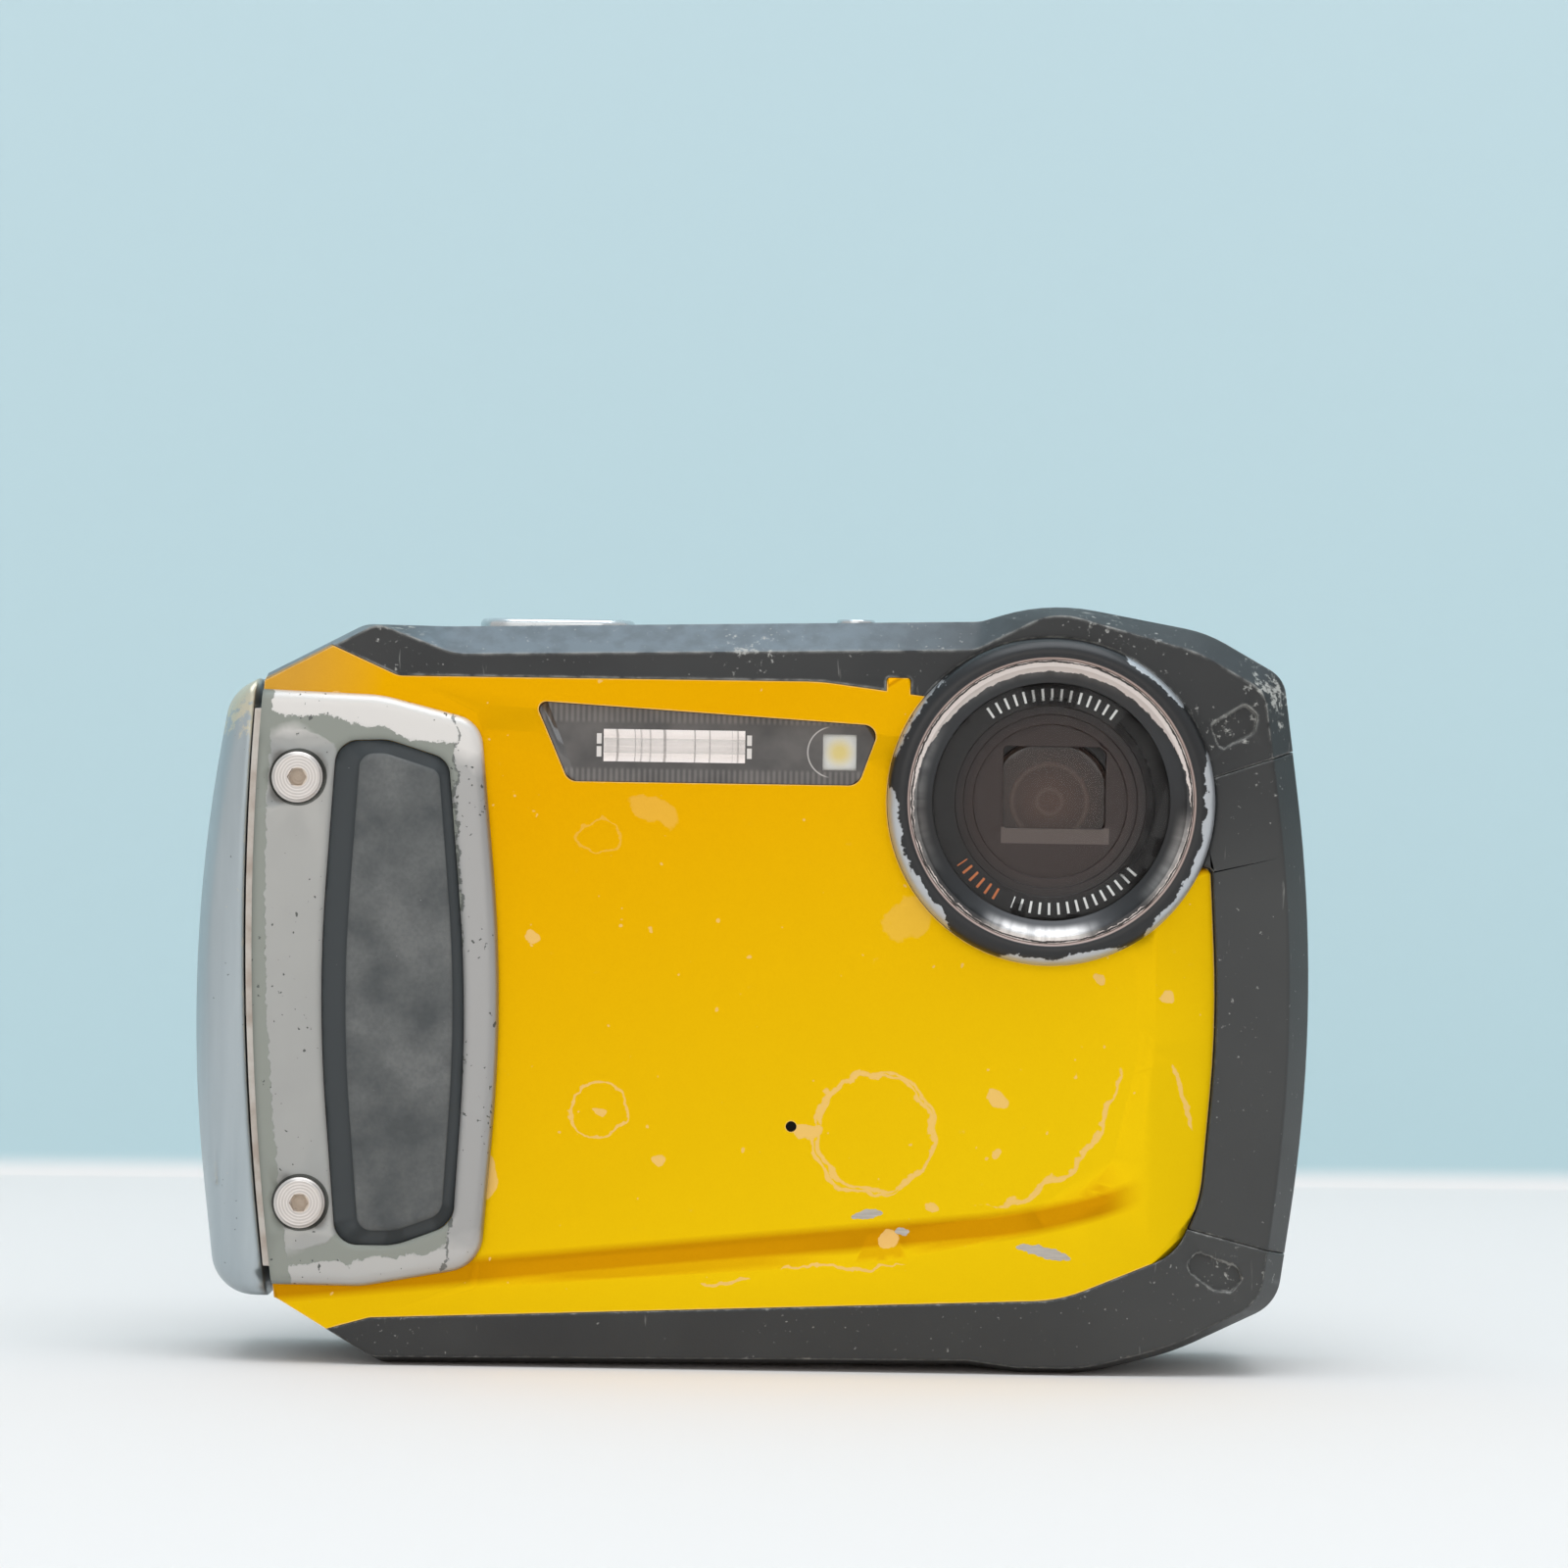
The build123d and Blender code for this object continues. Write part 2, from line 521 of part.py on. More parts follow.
SEAL_STEP = 0.6       # from the seam to the seal
seal_ring = []
for step, y0, y1 in [(0, Y_SPLIT - SEAL_HEIGHT, Y_SPLIT + SEAL_HEIGHT), (SEAL_WIDTH, -DEPTH, DEPTH)]:
    with BuildPart() as seal_prism:
        add(inside(SEAL_RIM + step, LEFT, y0, y1))
        extrude(seam_disc(-SEAL_STEP - step, DEPTH), amount=2 * DEPTH, mode=Mode.INTERSECT)
    seal_ring.append(seal_prism.part)
with BuildPart() as body_seal:
    add(seal_ring[0])
    add(seal_ring[1], mode=Mode.SUBTRACT)

battery_mouth = block(LEFT, CAVITY_LEFT + THROUGH, BATTERY_Y - CASE_PLAY,
                      BATTERY_Y + BATTERY_T + CASE_PLAY, BATTERY_Z - CASE_PLAY,
                      BATTERY_Z + BATTERY_H + CASE_PLAY)
card_mouth = block(LEFT, CAVITY_LEFT + THROUGH, CARD_Y - CASE_PLAY, CARD_Y + CARD_T + CASE_PLAY,
                   CARD_Z - CASE_PLAY, CARD_Z + CARD_H + CASE_PLAY)
port_mouth = block(LEFT, CAVITY_LEFT + THROUGH, PORT_Y0 + 0.6, PORT_Y1 - 0.6, PORT_Z0 + 0.6,
                   PORT_Z1 - 0.6)

# Latch that holds the battery, in a shallow recess of the end wall beside the battery's mouth.
LATCH_Z = BATTERY_Z + BATTERY_H / 2
LATCH_H = 7.0
LATCH_W = 1.6
LATCH_GRIP = 0.6      # how far it stands over the battery
LATCH_TRAVEL = 0.9
LATCH_THICK = 0.9
LATCH_X = BATTERY_X - 0.15 - LATCH_THICK
latch_front = BATTERY_Y + BATTERY_T - LATCH_GRIP
latch_space = block(LEFT, LATCH_X + LATCH_THICK + 0.1, latch_front - 0.1,
                    latch_front + LATCH_W + LATCH_TRAVEL + 0.1, LATCH_Z - LATCH_H / 2 - SLIDE,
                    LATCH_Z + LATCH_H / 2 + SLIDE)

# Two shallow finger notches beside the end trim.
NOTCH_DEPTH = 0.6
UPPER_NOTCH = [
    (RIGHT - 9.75, HEIGHT - 10.8, 0.5),
    (RIGHT - 8.75, HEIGHT - 13.1, 0.5),
    (RIGHT - 5.65, HEIGHT - 11.5, 0.8),
    (RIGHT - 5.35, HEIGHT - 9.8, 0.5),
    (RIGHT - 6.55, HEIGHT - 8.8, 0.5),
]
LOWER_NOTCH = [
    (RIGHT - 11.15, 10.5, 0.5),
    (RIGHT - 10.75, 9.6, 0.5),
    (RIGHT - 8.45, 8.0, 0.5),
    (RIGHT - 6.85, 8.0, 0.5),
    (RIGHT - 5.95, 9.2, 0.5),
    (RIGHT - 6.45, 10.3, 0.5),
    (RIGHT - 10.15, 11.7, 0.5),
]

with BuildPart() as front_cover:
    add(body_form.part)
    extrude(seam_disc(0, DEPTH), amount=2 * DEPTH, mode=Mode.INTERSECT)
    add(block(LEFT - 1, RIGHT + 1, Y_SPLIT, DEPTH, -1, HEIGHT + 1), mode=Mode.SUBTRACT)
    add(inside(SIDE_WALL, CAVITY_LEFT, Y_FRONT_IN, DEPTH), mode=Mode.SUBTRACT)
    panel_seat = inset_corners(PANEL_CORNERS, [-FIT] * len(PANEL_CORNERS))
    extrude(outline(panel_seat, Y_PANEL), amount=DEPTH, mode=Mode.SUBTRACT)
    extrude(rectangle(TAB_X - 1.1 - FIT, TAB_X + 1.1 + FIT, LENS_Z + 9, LENS_Z + 11.2 + FIT,
                      Y_PANEL, 0.3), amount=DEPTH, mode=Mode.SUBTRACT)
    add(trim_space.part, mode=Mode.SUBTRACT)
    extrude(disc(LENS_X, LENS_Z, RING_RADIUS + FIT, Y_RING_SEAT), amount=DEPTH,
            mode=Mode.SUBTRACT)
    extrude(disc(LENS_X, LENS_Z, BEZEL_BORE - FIT - SEAL_SIZE, DEPTH), amount=2 * DEPTH,
            mode=Mode.SUBTRACT)
    extrude(rectangle(TUBE_X0 - REFLECTOR_WALL - FIT, TUBE_X1 + REFLECTOR_WALL + FIT,
                      TUBE_Z0 - REFLECTOR_WALL - FIT, TUBE_Z1 + REFLECTOR_WALL + FIT, DEPTH),
            amount=2 * DEPTH, mode=Mode.SUBTRACT)
    extrude(disc(LAMP_X, LAMP_Z, LAMP_CUP + FIT, DEPTH), amount=2 * DEPTH, mode=Mode.SUBTRACT)
    extrude(disc(MIC_X, MIC_Z, MIC_HOLE, DEPTH), amount=2 * DEPTH, mode=Mode.SUBTRACT)
    for x, z in PLATE_SCREWS:
        extrude(disc(x, z, SHANK_HOLE, Y_FRONT_IN + FIT), amount=DEPTH, mode=Mode.SUBTRACT)
    for notch in (UPPER_NOTCH, LOWER_NOTCH):
        extrude(outline(notch, Y_FACE + NOTCH_DEPTH), amount=DEPTH, mode=Mode.SUBTRACT)
    for mouth in (battery_mouth, card_mouth, port_mouth, latch_space):
        add(mouth, mode=Mode.SUBTRACT)
    with BuildSketch(Plane.XY.offset(HEIGHT - 8)):
        with Locations((SHUTTER_X, SHUTTER_Y)):
            SlotOverall(SHUTTER_L + 2 * SLIDE, SHUTTER_W + 2 * SLIDE)
        with Locations((POWER_X, SHUTTER_Y)):
            Circle(POWER_RADIUS + SLIDE)
    extrude(amount=HEIGHT, mode=Mode.SUBTRACT)
    with BuildSketch(Plane.XY.offset(-THROUGH)):
        with Locations((BUSH_X, BUSH_Y)):
            Circle(BUSH_RADIUS)
    extrude(amount=THROUGH + 2 * SIDE_WALL, mode=Mode.SUBTRACT)
    add(body_seal.part, mode=Mode.SUBTRACT)

# ================================================================= rear cover and its controls
SCREEN_X0, SCREEN_X1 = LEFT + 39.25, RIGHT - 5.75
SCREEN_Z0, SCREEN_Z1 = 12.5, HEIGHT - 11.6
SCREEN_EDGE = 1.2     # width of the ledge that the monitor window rests on
SCREEN_LEDGE = 0.7
SCREEN_THICK = 1.2
REST_X, REST_Z, REST_W, REST_H = LEFT + 15.0, HEIGHT - 21.1, 11.0, 9.0
ROCKER_X, ROCKER_Z, ROCKER_W, ROCKER_H = LEFT + 22.75, HEIGHT - 11.8, 15.0, 5.0
NAV_X, NAV_Z, NAV_RADIUS = LEFT + 21.25, 0.443 * HEIGHT, 9.0
KEY_X = LEFT + 32.45
MOVIE_Z, MOVIE_RADIUS = HEIGHT - 19.1, 2.7
PLAY_Z, BACK_Z, KEY_RADIUS = HEIGHT - 27.1, 18.5, 2.4
HINGE_X = LEFT + 3.55
HINGE_Y = Y_BACK - 2.4
BARREL_RADIUS = 1.9
PIN_RADIUS = 0.6
KNUCKLES = [(10.0, 16.0), (HEIGHT - 17.1, HEIGHT - 11.1)]
KNUCKLE_GAP = 0.15
KNUCKLE_ROOM = 0.25   # between the case's knuckles and the door round them
STRAP_Z0, STRAP_Z1 = HEIGHT - 23.6, HEIGHT - 14.6
STRAP_X, STRAP_Y, STRAP_RADIUS = RIGHT - 2.6, Y_BACK - 3.3, 0.9
STRAP_ROOM = 1.1
STRAP_WALL = 0.9
CASE_SCREWS = [(LEFT + 10.75, 14.5), (LEFT + 10.75, HEIGHT - 10.1), (RIGHT - 4.2, 22.0), (RIGHT - 4.2, 40.0)]
CASE_HEAD_RADIUS, CASE_HEAD, CASE_SHANK = 1.3, 0.9, 0.7

with BuildPart() as strap_notch:
    add(block(STRAP_X - STRAP_RADIUS - STRAP_ROOM, RIGHT + 1,
              STRAP_Y - STRAP_RADIUS - STRAP_ROOM, STRAP_Y + STRAP_RADIUS + STRAP_ROOM,
              STRAP_Z0, STRAP_Z1))
    fillet(strap_notch.edges().filter_by(Axis.Z).group_by(Axis.X)[0], radius=1.0)

with BuildPart() as strap_pocket:
    add(block(STRAP_X - STRAP_RADIUS - STRAP_ROOM - STRAP_WALL, RIGHT + 1,
              STRAP_Y - STRAP_RADIUS - STRAP_ROOM - STRAP_WALL, Y_BACK,
              STRAP_Z0 - STRAP_WALL, STRAP_Z1 + STRAP_WALL))
    add(body_form.part, mode=Mode.INTERSECT)

with BuildPart() as rear_cover:
    add(body_form.part)
    extrude(seam_disc(0, DEPTH), amount=2 * DEPTH, mode=Mode.INTERSECT)
    add(block(LEFT - 1, RIGHT + 1, -DEPTH, Y_SPLIT, -1, HEIGHT + 1), mode=Mode.SUBTRACT)
    extrude(rectangle(REST_X - REST_W / 2, REST_X + REST_W / 2, REST_Z - REST_H / 2,
                      REST_Z + REST_H / 2, Y_REST, 2.5), amount=REST_PROUD + BACK_WALL)
    fillet(rear_cover.faces().sort_by(Axis.Y)[-1].edges(), radius=0.6)
    for z0, z1 in KNUCKLES:
        with BuildSketch(Plane.XY.offset(z0)):
            with Locations((HINGE_X, HINGE_Y)):
                Circle(BARREL_RADIUS)
            with BuildLine():
                Polyline((HINGE_X, HINGE_Y - BARREL_RADIUS), (CAVITY_LEFT, HINGE_Y - BARREL_RADIUS),
                         (CAVITY_LEFT, HINGE_Y + BARREL_RADIUS), (HINGE_X, HINGE_Y + BARREL_RADIUS),
                         close=True)
            make_face()
        extrude(amount=z1 - z0)
    with BuildSketch(Plane.XY):
        with Locations((HINGE_X, HINGE_Y)):
            Circle(PIN_RADIUS)
    extrude(amount=HEIGHT, mode=Mode.SUBTRACT)
    add(inside(SIDE_WALL, CAVITY_LEFT, -DEPTH, Y_BACK_IN), mode=Mode.SUBTRACT)
    extrude(rectangle(SCREEN_X0 - FIT, SCREEN_X1 + FIT, SCREEN_Z0 - FIT, SCREEN_Z1 + FIT, DEPTH, 2.0),
            amount=DEPTH - Y_BACK_IN - SCREEN_LEDGE, mode=Mode.SUBTRACT)
    extrude(rectangle(SCREEN_X0 + SCREEN_EDGE, SCREEN_X1 - SCREEN_EDGE, SCREEN_Z0 + SCREEN_EDGE,
                      SCREEN_Z1 - SCREEN_EDGE, DEPTH, 1.0), amount=2 * Y_SPLIT + DEPTH / 2,
            mode=Mode.SUBTRACT)
    extrude(rectangle(ROCKER_X - ROCKER_W / 2 - SLIDE, ROCKER_X + ROCKER_W / 2 + SLIDE,
                      ROCKER_Z - ROCKER_H / 2 - SLIDE, ROCKER_Z + ROCKER_H / 2 + SLIDE, DEPTH, 2.0),
            amount=DEPTH - Y_SPLIT, mode=Mode.SUBTRACT)
    for x, z, radius in [(NAV_X, NAV_Z, NAV_RADIUS + 0.3), (KEY_X, MOVIE_Z, MOVIE_RADIUS + SLIDE),
                         (KEY_X, PLAY_Z, KEY_RADIUS + SLIDE),
                         (KEY_X, BACK_Z, KEY_RADIUS + SLIDE)]:
        extrude(disc(x, z, radius, DEPTH), amount=DEPTH - Y_SPLIT, mode=Mode.SUBTRACT)
    for x, z in CASE_SCREWS:
        extrude(disc(x, z, CASE_SHANK + FIT, DEPTH), amount=DEPTH - Y_SPLIT, mode=Mode.SUBTRACT)
        extrude(disc(x, z, CASE_HEAD_RADIUS + FIT, DEPTH), amount=DEPTH - Y_BACK + CASE_HEAD + 0.1,
                mode=Mode.SUBTRACT)
    add(strap_pocket.part)
    add(strap_notch.part, mode=Mode.SUBTRACT)
    with BuildSketch(Plane.XY.offset(STRAP_Z0 - THROUGH)):
        with Locations((STRAP_X, STRAP_Y)):
            Circle(STRAP_RADIUS)
    extrude(amount=STRAP_Z1 - STRAP_Z0 + 2 * THROUGH, mode=Mode.SUBTRACT)
    add(trim_space.part, mode=Mode.SUBTRACT)
    for mouth in (card_mouth, port_mouth):
        add(mouth, mode=Mode.SUBTRACT)
    add(body_seal.part, mode=Mode.SUBTRACT)

with BuildPart() as monitor_window:
    extrude(rectangle(SCREEN_X0, SCREEN_X1, SCREEN_Z0, SCREEN_Z1,
                      Y_BACK_IN + SCREEN_LEDGE + SCREEN_THICK, 2.0), amount=SCREEN_THICK)
    chamfer(monitor_window.faces().sort_by(Axis.Y)[-1].edges(), length=0.25)

# ================================================================= frame, boards and screen
CHASSIS_THICK = 0.8
Y_CHASSIS = Y_BACK_IN - 5.2
CHASSIS_STEP = 1.1    # the plate steps back behind the controls
CHASSIS_BEND = KEY_X + 4.9
CHASSIS_X0, CHASSIS_X1 = CAVITY_LEFT + 0.5, RIGHT - 7.75
CHASSIS_Z0, CHASSIS_Z1 = 9.0, HEIGHT - 9.1
Y_BOARD = Y_CHASSIS - 1.2
BOARD_THICK = 0.8
BOARD_X0, BOARD_X1 = CAVITY_LEFT + 2.8, LENS_X - 12.4
BOARD_Z0, BOARD_Z1 = 9.0, HEIGHT - 7.2
KEY_BOARD_X0 = CHASSIS_X0 + 3.2
KEY_BOARD_X1 = CHASSIS_BEND - 0.4
MAT_THICK = 0.8
KEY_BOARD_THICK = 0.8
Y_KEY_BOARD = Y_CHASSIS + CHASSIS_STEP + CHASSIS_THICK + 0.1
Y_MAT = Y_KEY_BOARD + KEY_BOARD_THICK
Y_KEYS = Y_MAT + MAT_THICK
y_step = Y_CHASSIS + CHASSIS_STEP

with BuildPart() as chassis:
    add(block(CHASSIS_BEND, CHASSIS_X1, Y_CHASSIS, Y_CHASSIS + CHASSIS_THICK, CHASSIS_Z0, CHASSIS_Z1))
    add(block(CHASSIS_BEND, CHASSIS_BEND + CHASSIS_THICK, Y_CHASSIS, y_step + CHASSIS_THICK,
              CHASSIS_Z0, CHASSIS_Z1))
    add(block(CHASSIS_X0, CHASSIS_BEND + CHASSIS_THICK, y_step, y_step + CHASSIS_THICK,
              CHASSIS_Z0, CHASSIS_Z1))
    for x, z in CASE_SCREWS:
        if x > 0:
            add(block(CHASSIS_X1 - 1, x + 1.2, Y_CHASSIS, Y_CHASSIS + CHASSIS_THICK, z - 2.5, z + 2.5))
        extrude(disc(x, z, CASE_SHANK, DEPTH), amount=2 * DEPTH, mode=Mode.SUBTRACT)

with BuildPart() as case_screws:
    for x, z in CASE_SCREWS:
        screw_seat = Y_BACK - CASE_HEAD - 0.1
        screw_tip = Y_CHASSIS if x > 0 else y_step
        extrude(disc(x, z, CASE_SHANK, screw_seat), amount=screw_seat - screw_tip)
        extrude(disc(x, z, CASE_HEAD_RADIUS, screw_seat + CASE_HEAD), amount=CASE_HEAD)
        with BuildSketch(front_plane(Y_BACK)):
            with Locations((x, z)):
                Rectangle(1.5, 0.4)
                Rectangle(0.4, 1.5)
        extrude(amount=0.1 + 0.45, mode=Mode.SUBTRACT)

key_board = block(KEY_BOARD_X0, KEY_BOARD_X1, Y_KEY_BOARD, Y_MAT, CHASSIS_Z0 + 1, CHASSIS_Z1)
key_mat = block(KEY_BOARD_X0 + 0.5, KEY_BOARD_X1 - 0.5, Y_MAT, Y_KEYS, CHASSIS_Z0 + 1.5,
                CHASSIS_Z1 - 0.3)
lcd_module = block(SCREEN_X0 + 0.5, SCREEN_X1 - 0.5, Y_CHASSIS + CHASSIS_THICK + SEAT,
                   Y_BACK_IN - SEAT, SCREEN_Z0 + 0.5, SCREEN_Z1 - 0.5)

CHIPS = [(4.0, 30.0, 9.0, 9.0, 1.2), (4.0, 42.5, 7.0, 10.0, 1.0), (10.5, 32.0, 3.0, 5.0, 0.9),
         (3.0, 52.0, 5.0, 4.0, 0.9), (9.5, 54.0, 4.0, 4.0, 1.4), (5.0, 17.0, 10.0, 6.0, 1.2)]
with BuildPart() as main_board:
    add(block(BOARD_X0, BOARD_X1, Y_BOARD, Y_BOARD + BOARD_THICK, BOARD_Z0, BOARD_Z1))
    for x, z, length, width, height in CHIPS:
        add(block(x - length / 2, x + length / 2, Y_BOARD - height, Y_BOARD, z - width / 2,
                  z + width / 2))

# ================================================================= battery, card and sockets
battery = block(BATTERY_X, BATTERY_X + BATTERY_L, BATTERY_Y, BATTERY_Y + BATTERY_T, BATTERY_Z,
                BATTERY_Z + BATTERY_H)
case_room = CASE_PLAY + CASE_WALL
with BuildPart() as battery_case:
    add(block(CAVITY_LEFT + 0.1, BATTERY_X + BATTERY_L + case_room, BATTERY_Y - case_room,
              BATTERY_Y + BATTERY_T + case_room, BATTERY_Z - case_room,
              BATTERY_Z + BATTERY_H + case_room))
    add(block(LEFT, BATTERY_X + BATTERY_L + CASE_PLAY, BATTERY_Y - CASE_PLAY,
              BATTERY_Y + BATTERY_T + CASE_PLAY, BATTERY_Z - CASE_PLAY,
              BATTERY_Z + BATTERY_H + CASE_PLAY), mode=Mode.SUBTRACT)
battery_latch = block(LATCH_X, LATCH_X + LATCH_THICK, latch_front, latch_front + LATCH_W,
                      LATCH_Z - LATCH_H / 2, LATCH_Z + LATCH_H / 2)
with BuildPart() as memory_card:
    add(block(CARD_X, CARD_X + CARD_L, CARD_Y, CARD_Y + CARD_T, CARD_Z, CARD_Z + CARD_H))
    chamfer(memory_card.edges().filter_by(Axis.Y).sort_by(Axis.X)[-1], length=3.0)
with BuildPart() as card_slot:
    add(block(CAVITY_LEFT + 0.1, CARD_X + CARD_L + CASE_PLAY + SLOT_WALL,
              CARD_Y - CASE_PLAY - SLOT_WALL, CARD_Y + CARD_T + CASE_PLAY + SLOT_WALL,
              CARD_Z - CASE_PLAY - SLOT_WALL, CARD_Z + CARD_H + CASE_PLAY + SLOT_WALL))
    add(block(LEFT, CARD_X + CARD_L + CASE_PLAY, CARD_Y - CASE_PLAY, CARD_Y + CARD_T + CASE_PLAY,
              CARD_Z - CASE_PLAY, CARD_Z + CARD_H + CASE_PLAY), mode=Mode.SUBTRACT)
with BuildPart() as port_block:
    add(block(CAVITY_LEFT + 0.1, CAVITY_LEFT + 9.0, PORT_Y0, PORT_Y1, PORT_Z0, PORT_Z1))
    for y0, z0, z1 in [(PORT_Y0 + 0.9, PORT_Z0 + 1.0, PORT_Z1 - 1.0),
                       (PORT_Y0 + 3.4, PORT_Z0 + 1.6, PORT_Z1 - 1.6)]:
        add(block(CAVITY_LEFT, CAVITY_LEFT + 6.0, y0, y0 + 1.6, z0, z1), mode=Mode.SUBTRACT)
CAP_RADIUS, CAP_X0, CAP_X1 = 3.5, LEFT + 20.0, LEFT + 45.5
with BuildPart() as flash_capacitor:
    with BuildSketch(end_plane(CAP_X0)):
        with Locations((Y_FRONT_IN + 5.4, SIDE_WALL + SEAT + CAP_RADIUS + 0.15)):
            Circle(CAP_RADIUS)
    extrude(amount=CAP_X1 - CAP_X0)
    chamfer(flash_capacitor.edges().group_by(Axis.X)[-1], length=0.4)

with BuildPart() as microphone:
    extrude(disc(MIC_X, MIC_Z, 2.0, Y_FRONT_IN + 1.5), amount=1.5 - 0.1)
gps_antenna = block(SHUTTER_X + 10.7, POWER_X - 5.3, Y_FRONT_IN + 1.4, 0.8, BOARD_Z1 - 1.6, HEIGHT - 4.3)

# ================================================================= shutter and power buttons
TOP_BOARD_Z = BOARD_Z1 + 0.1
TOP_BOARD_THICK = 0.8
SWITCH_HEIGHT = 1.2
SHUTTER_TRAVEL = 0.8
POWER_TRAVEL = 0.4
TOP_AT_SHUTTER = HEIGHT - 2.45
TOP_AT_POWER = HEIGHT - 1.78
SHUTTER_PROUD = 0.7
POWER_PROUD = 0.45
switch_top = TOP_BOARD_Z + TOP_BOARD_THICK + SWITCH_HEIGHT

with BuildPart() as top_board:
    add(block(SHUTTER_X - 8.0, POWER_X + 4.0, 1.2, Y_BOARD - 0.1, TOP_BOARD_Z,
              TOP_BOARD_Z + TOP_BOARD_THICK))
    for x, half in [(SHUTTER_X, 8.0), (POWER_X, 4.0)]:
        add(block(x - half, x + half, SHUTTER_Y - 3.0, 1.2, TOP_BOARD_Z,
                  TOP_BOARD_Z + TOP_BOARD_THICK))
        add(block(x - 1.8, x + 1.8, SHUTTER_Y - 1.5, SHUTTER_Y + 1.5,
                  TOP_BOARD_Z + TOP_BOARD_THICK, switch_top))
with BuildPart() as shutter_button:
    with BuildSketch(Plane.XY.offset(switch_top + SHUTTER_TRAVEL + 0.1)):
        with Locations((SHUTTER_X, SHUTTER_Y)):
            SlotOverall(SHUTTER_L, SHUTTER_W)
    extrude(amount=TOP_AT_SHUTTER + SHUTTER_PROUD - switch_top - SHUTTER_TRAVEL - 0.1)
    fillet(shutter_button.faces().sort_by(Axis.Z)[-1].edges(), radius=0.5)
with BuildPart() as power_button:
    with BuildSketch(Plane.XY.offset(switch_top + POWER_TRAVEL + 0.1)):
        with Locations((POWER_X, SHUTTER_Y)):
            Circle(POWER_RADIUS)
    extrude(amount=TOP_AT_POWER + POWER_PROUD - switch_top - POWER_TRAVEL - 0.1)
    fillet(power_button.faces().sort_by(Axis.Z)[-1].edges(), radius=0.25)

# ================================================================= rear buttons
FLANGE = 0.7
KEY_TRAVEL = 0.35
y_flange = Y_KEYS + KEY_TRAVEL + 0.1
KEY_PROUD = 0.35


def rear_button(x, z, radius):
    """Round button with a flange behind the rear wall and a domed cap."""
    with BuildPart() as button:
        extrude(disc(x, z, radius + FLANGE, Y_BACK_IN - 0.1), amount=Y_BACK_IN - 0.1 - y_flange)
        extrude(disc(x, z, radius, Y_BACK + KEY_PROUD), amount=Y_BACK + KEY_PROUD - y_flange)
        fillet(button.faces().sort_by(Axis.Y)[-1].edges(), radius=0.25)
    return button.part


movie_button = rear_button(KEY_X, MOVIE_Z, MOVIE_RADIUS)
play_button = rear_button(KEY_X, PLAY_Z, KEY_RADIUS)
back_button = rear_button(KEY_X, BACK_Z, KEY_RADIUS)

ROCKER_SIDE = math.tan(math.radians(4.0)) * ROCKER_W / 2
with BuildPart() as zoom_rocker:
    extrude(rectangle(ROCKER_X - ROCKER_W / 2, ROCKER_X + ROCKER_W / 2, ROCKER_Z - ROCKER_H / 2,
                      ROCKER_Z + ROCKER_H / 2, Y_BACK + KEY_PROUD, 1.9),
            amount=Y_BACK + KEY_PROUD - Y_KEYS - ROCKER_SIDE - 0.1)
    fillet(zoom_rocker.faces().sort_by(Axis.Y)[-1].edges(), radius=0.3)

# The pad tilts on two ridges: up and down on the plunger, left and right on the ring.
NAV_TILT = 2.5
PLUNGER_RADIUS = 6.0
RIDGE = 0.5
dip = math.tan(math.radians(NAV_TILT)) * PLUNGER_RADIUS
y_plunger = Y_KEYS + dip + 0.1
y_ring = y_plunger + 0.7 + dip + 0.1
OK_RADIUS = 3.6
Y_NAV = Y_BACK + KEY_PROUD

with BuildPart() as nav_plunger:
    extrude(disc(NAV_X, NAV_Z, PLUNGER_RADIUS, y_plunger + 0.7), amount=0.7)
    add(block(NAV_X - RIDGE / 2, NAV_X + RIDGE / 2, y_plunger + 0.7, y_ring,
              NAV_Z - PLUNGER_RADIUS + 1, NAV_Z + PLUNGER_RADIUS - 1))
    extrude(disc(NAV_X, NAV_Z, OK_RADIUS + 2 * SLIDE, DEPTH), amount=DEPTH - y_plunger - 0.7,
            mode=Mode.SUBTRACT)
with BuildPart() as nav_ring:
    extrude(disc(NAV_X, NAV_Z, NAV_RADIUS, Y_NAV), amount=Y_NAV - y_ring)
    fillet(nav_ring.faces().sort_by(Axis.Y)[-1].edges(), radius=0.5)
    extrude(disc(NAV_X, NAV_Z, OK_RADIUS + SLIDE, DEPTH), amount=DEPTH, mode=Mode.SUBTRACT)
with BuildPart() as ok_button:
    extrude(disc(NAV_X, NAV_Z, OK_RADIUS, Y_NAV - 0.2), amount=Y_NAV - 0.25 - y_ring)
    fillet(ok_button.faces().sort_by(Axis.Y)[-1].edges(), radius=0.25)

# ================================================================= door end
FRAME_Z0, FRAME_Z1 = 9.0, HEIGHT - 10.6
FRAME_Y0, FRAME_Y1 = Y_FACE + 0.1, HINGE_Y - 2.8
DOOR_ROUND = 4.5
POCKET_X = LEFT + 3.25
POCKET_Y0, POCKET_Y1 = Y_FACE + 1.2, HINGE_Y - 3.6
POCKET_Z0, POCKET_Z1 = 9.9, HEIGHT - 11.0
POCKET_ROUND = 2.8    # behind the door's own round, as far as the seal
SEAL_Y0, SEAL_Y1 = POCKET_Y0 + POCKET_ROUND, POCKET_Y1 - 0.8
SEAL_Z0, SEAL_Z1 = 10.6, HEIGHT - 11.7
DOOR_SEAL_W = 1.2
KEEPER_Z, KEEPER_H = 32.0, 2.4
BOLT_Y0, BOLT_Y1 = Y_FACE + 2.1, Y_FACE + 3.1
BOLT_X0, BOLT_X1 = LEFT + 3.3, LEFT + 4.4
BOLT_Z0 = 18.0
BOLT_TRAVEL = 2.0
BOLT_PLAY = 0.1
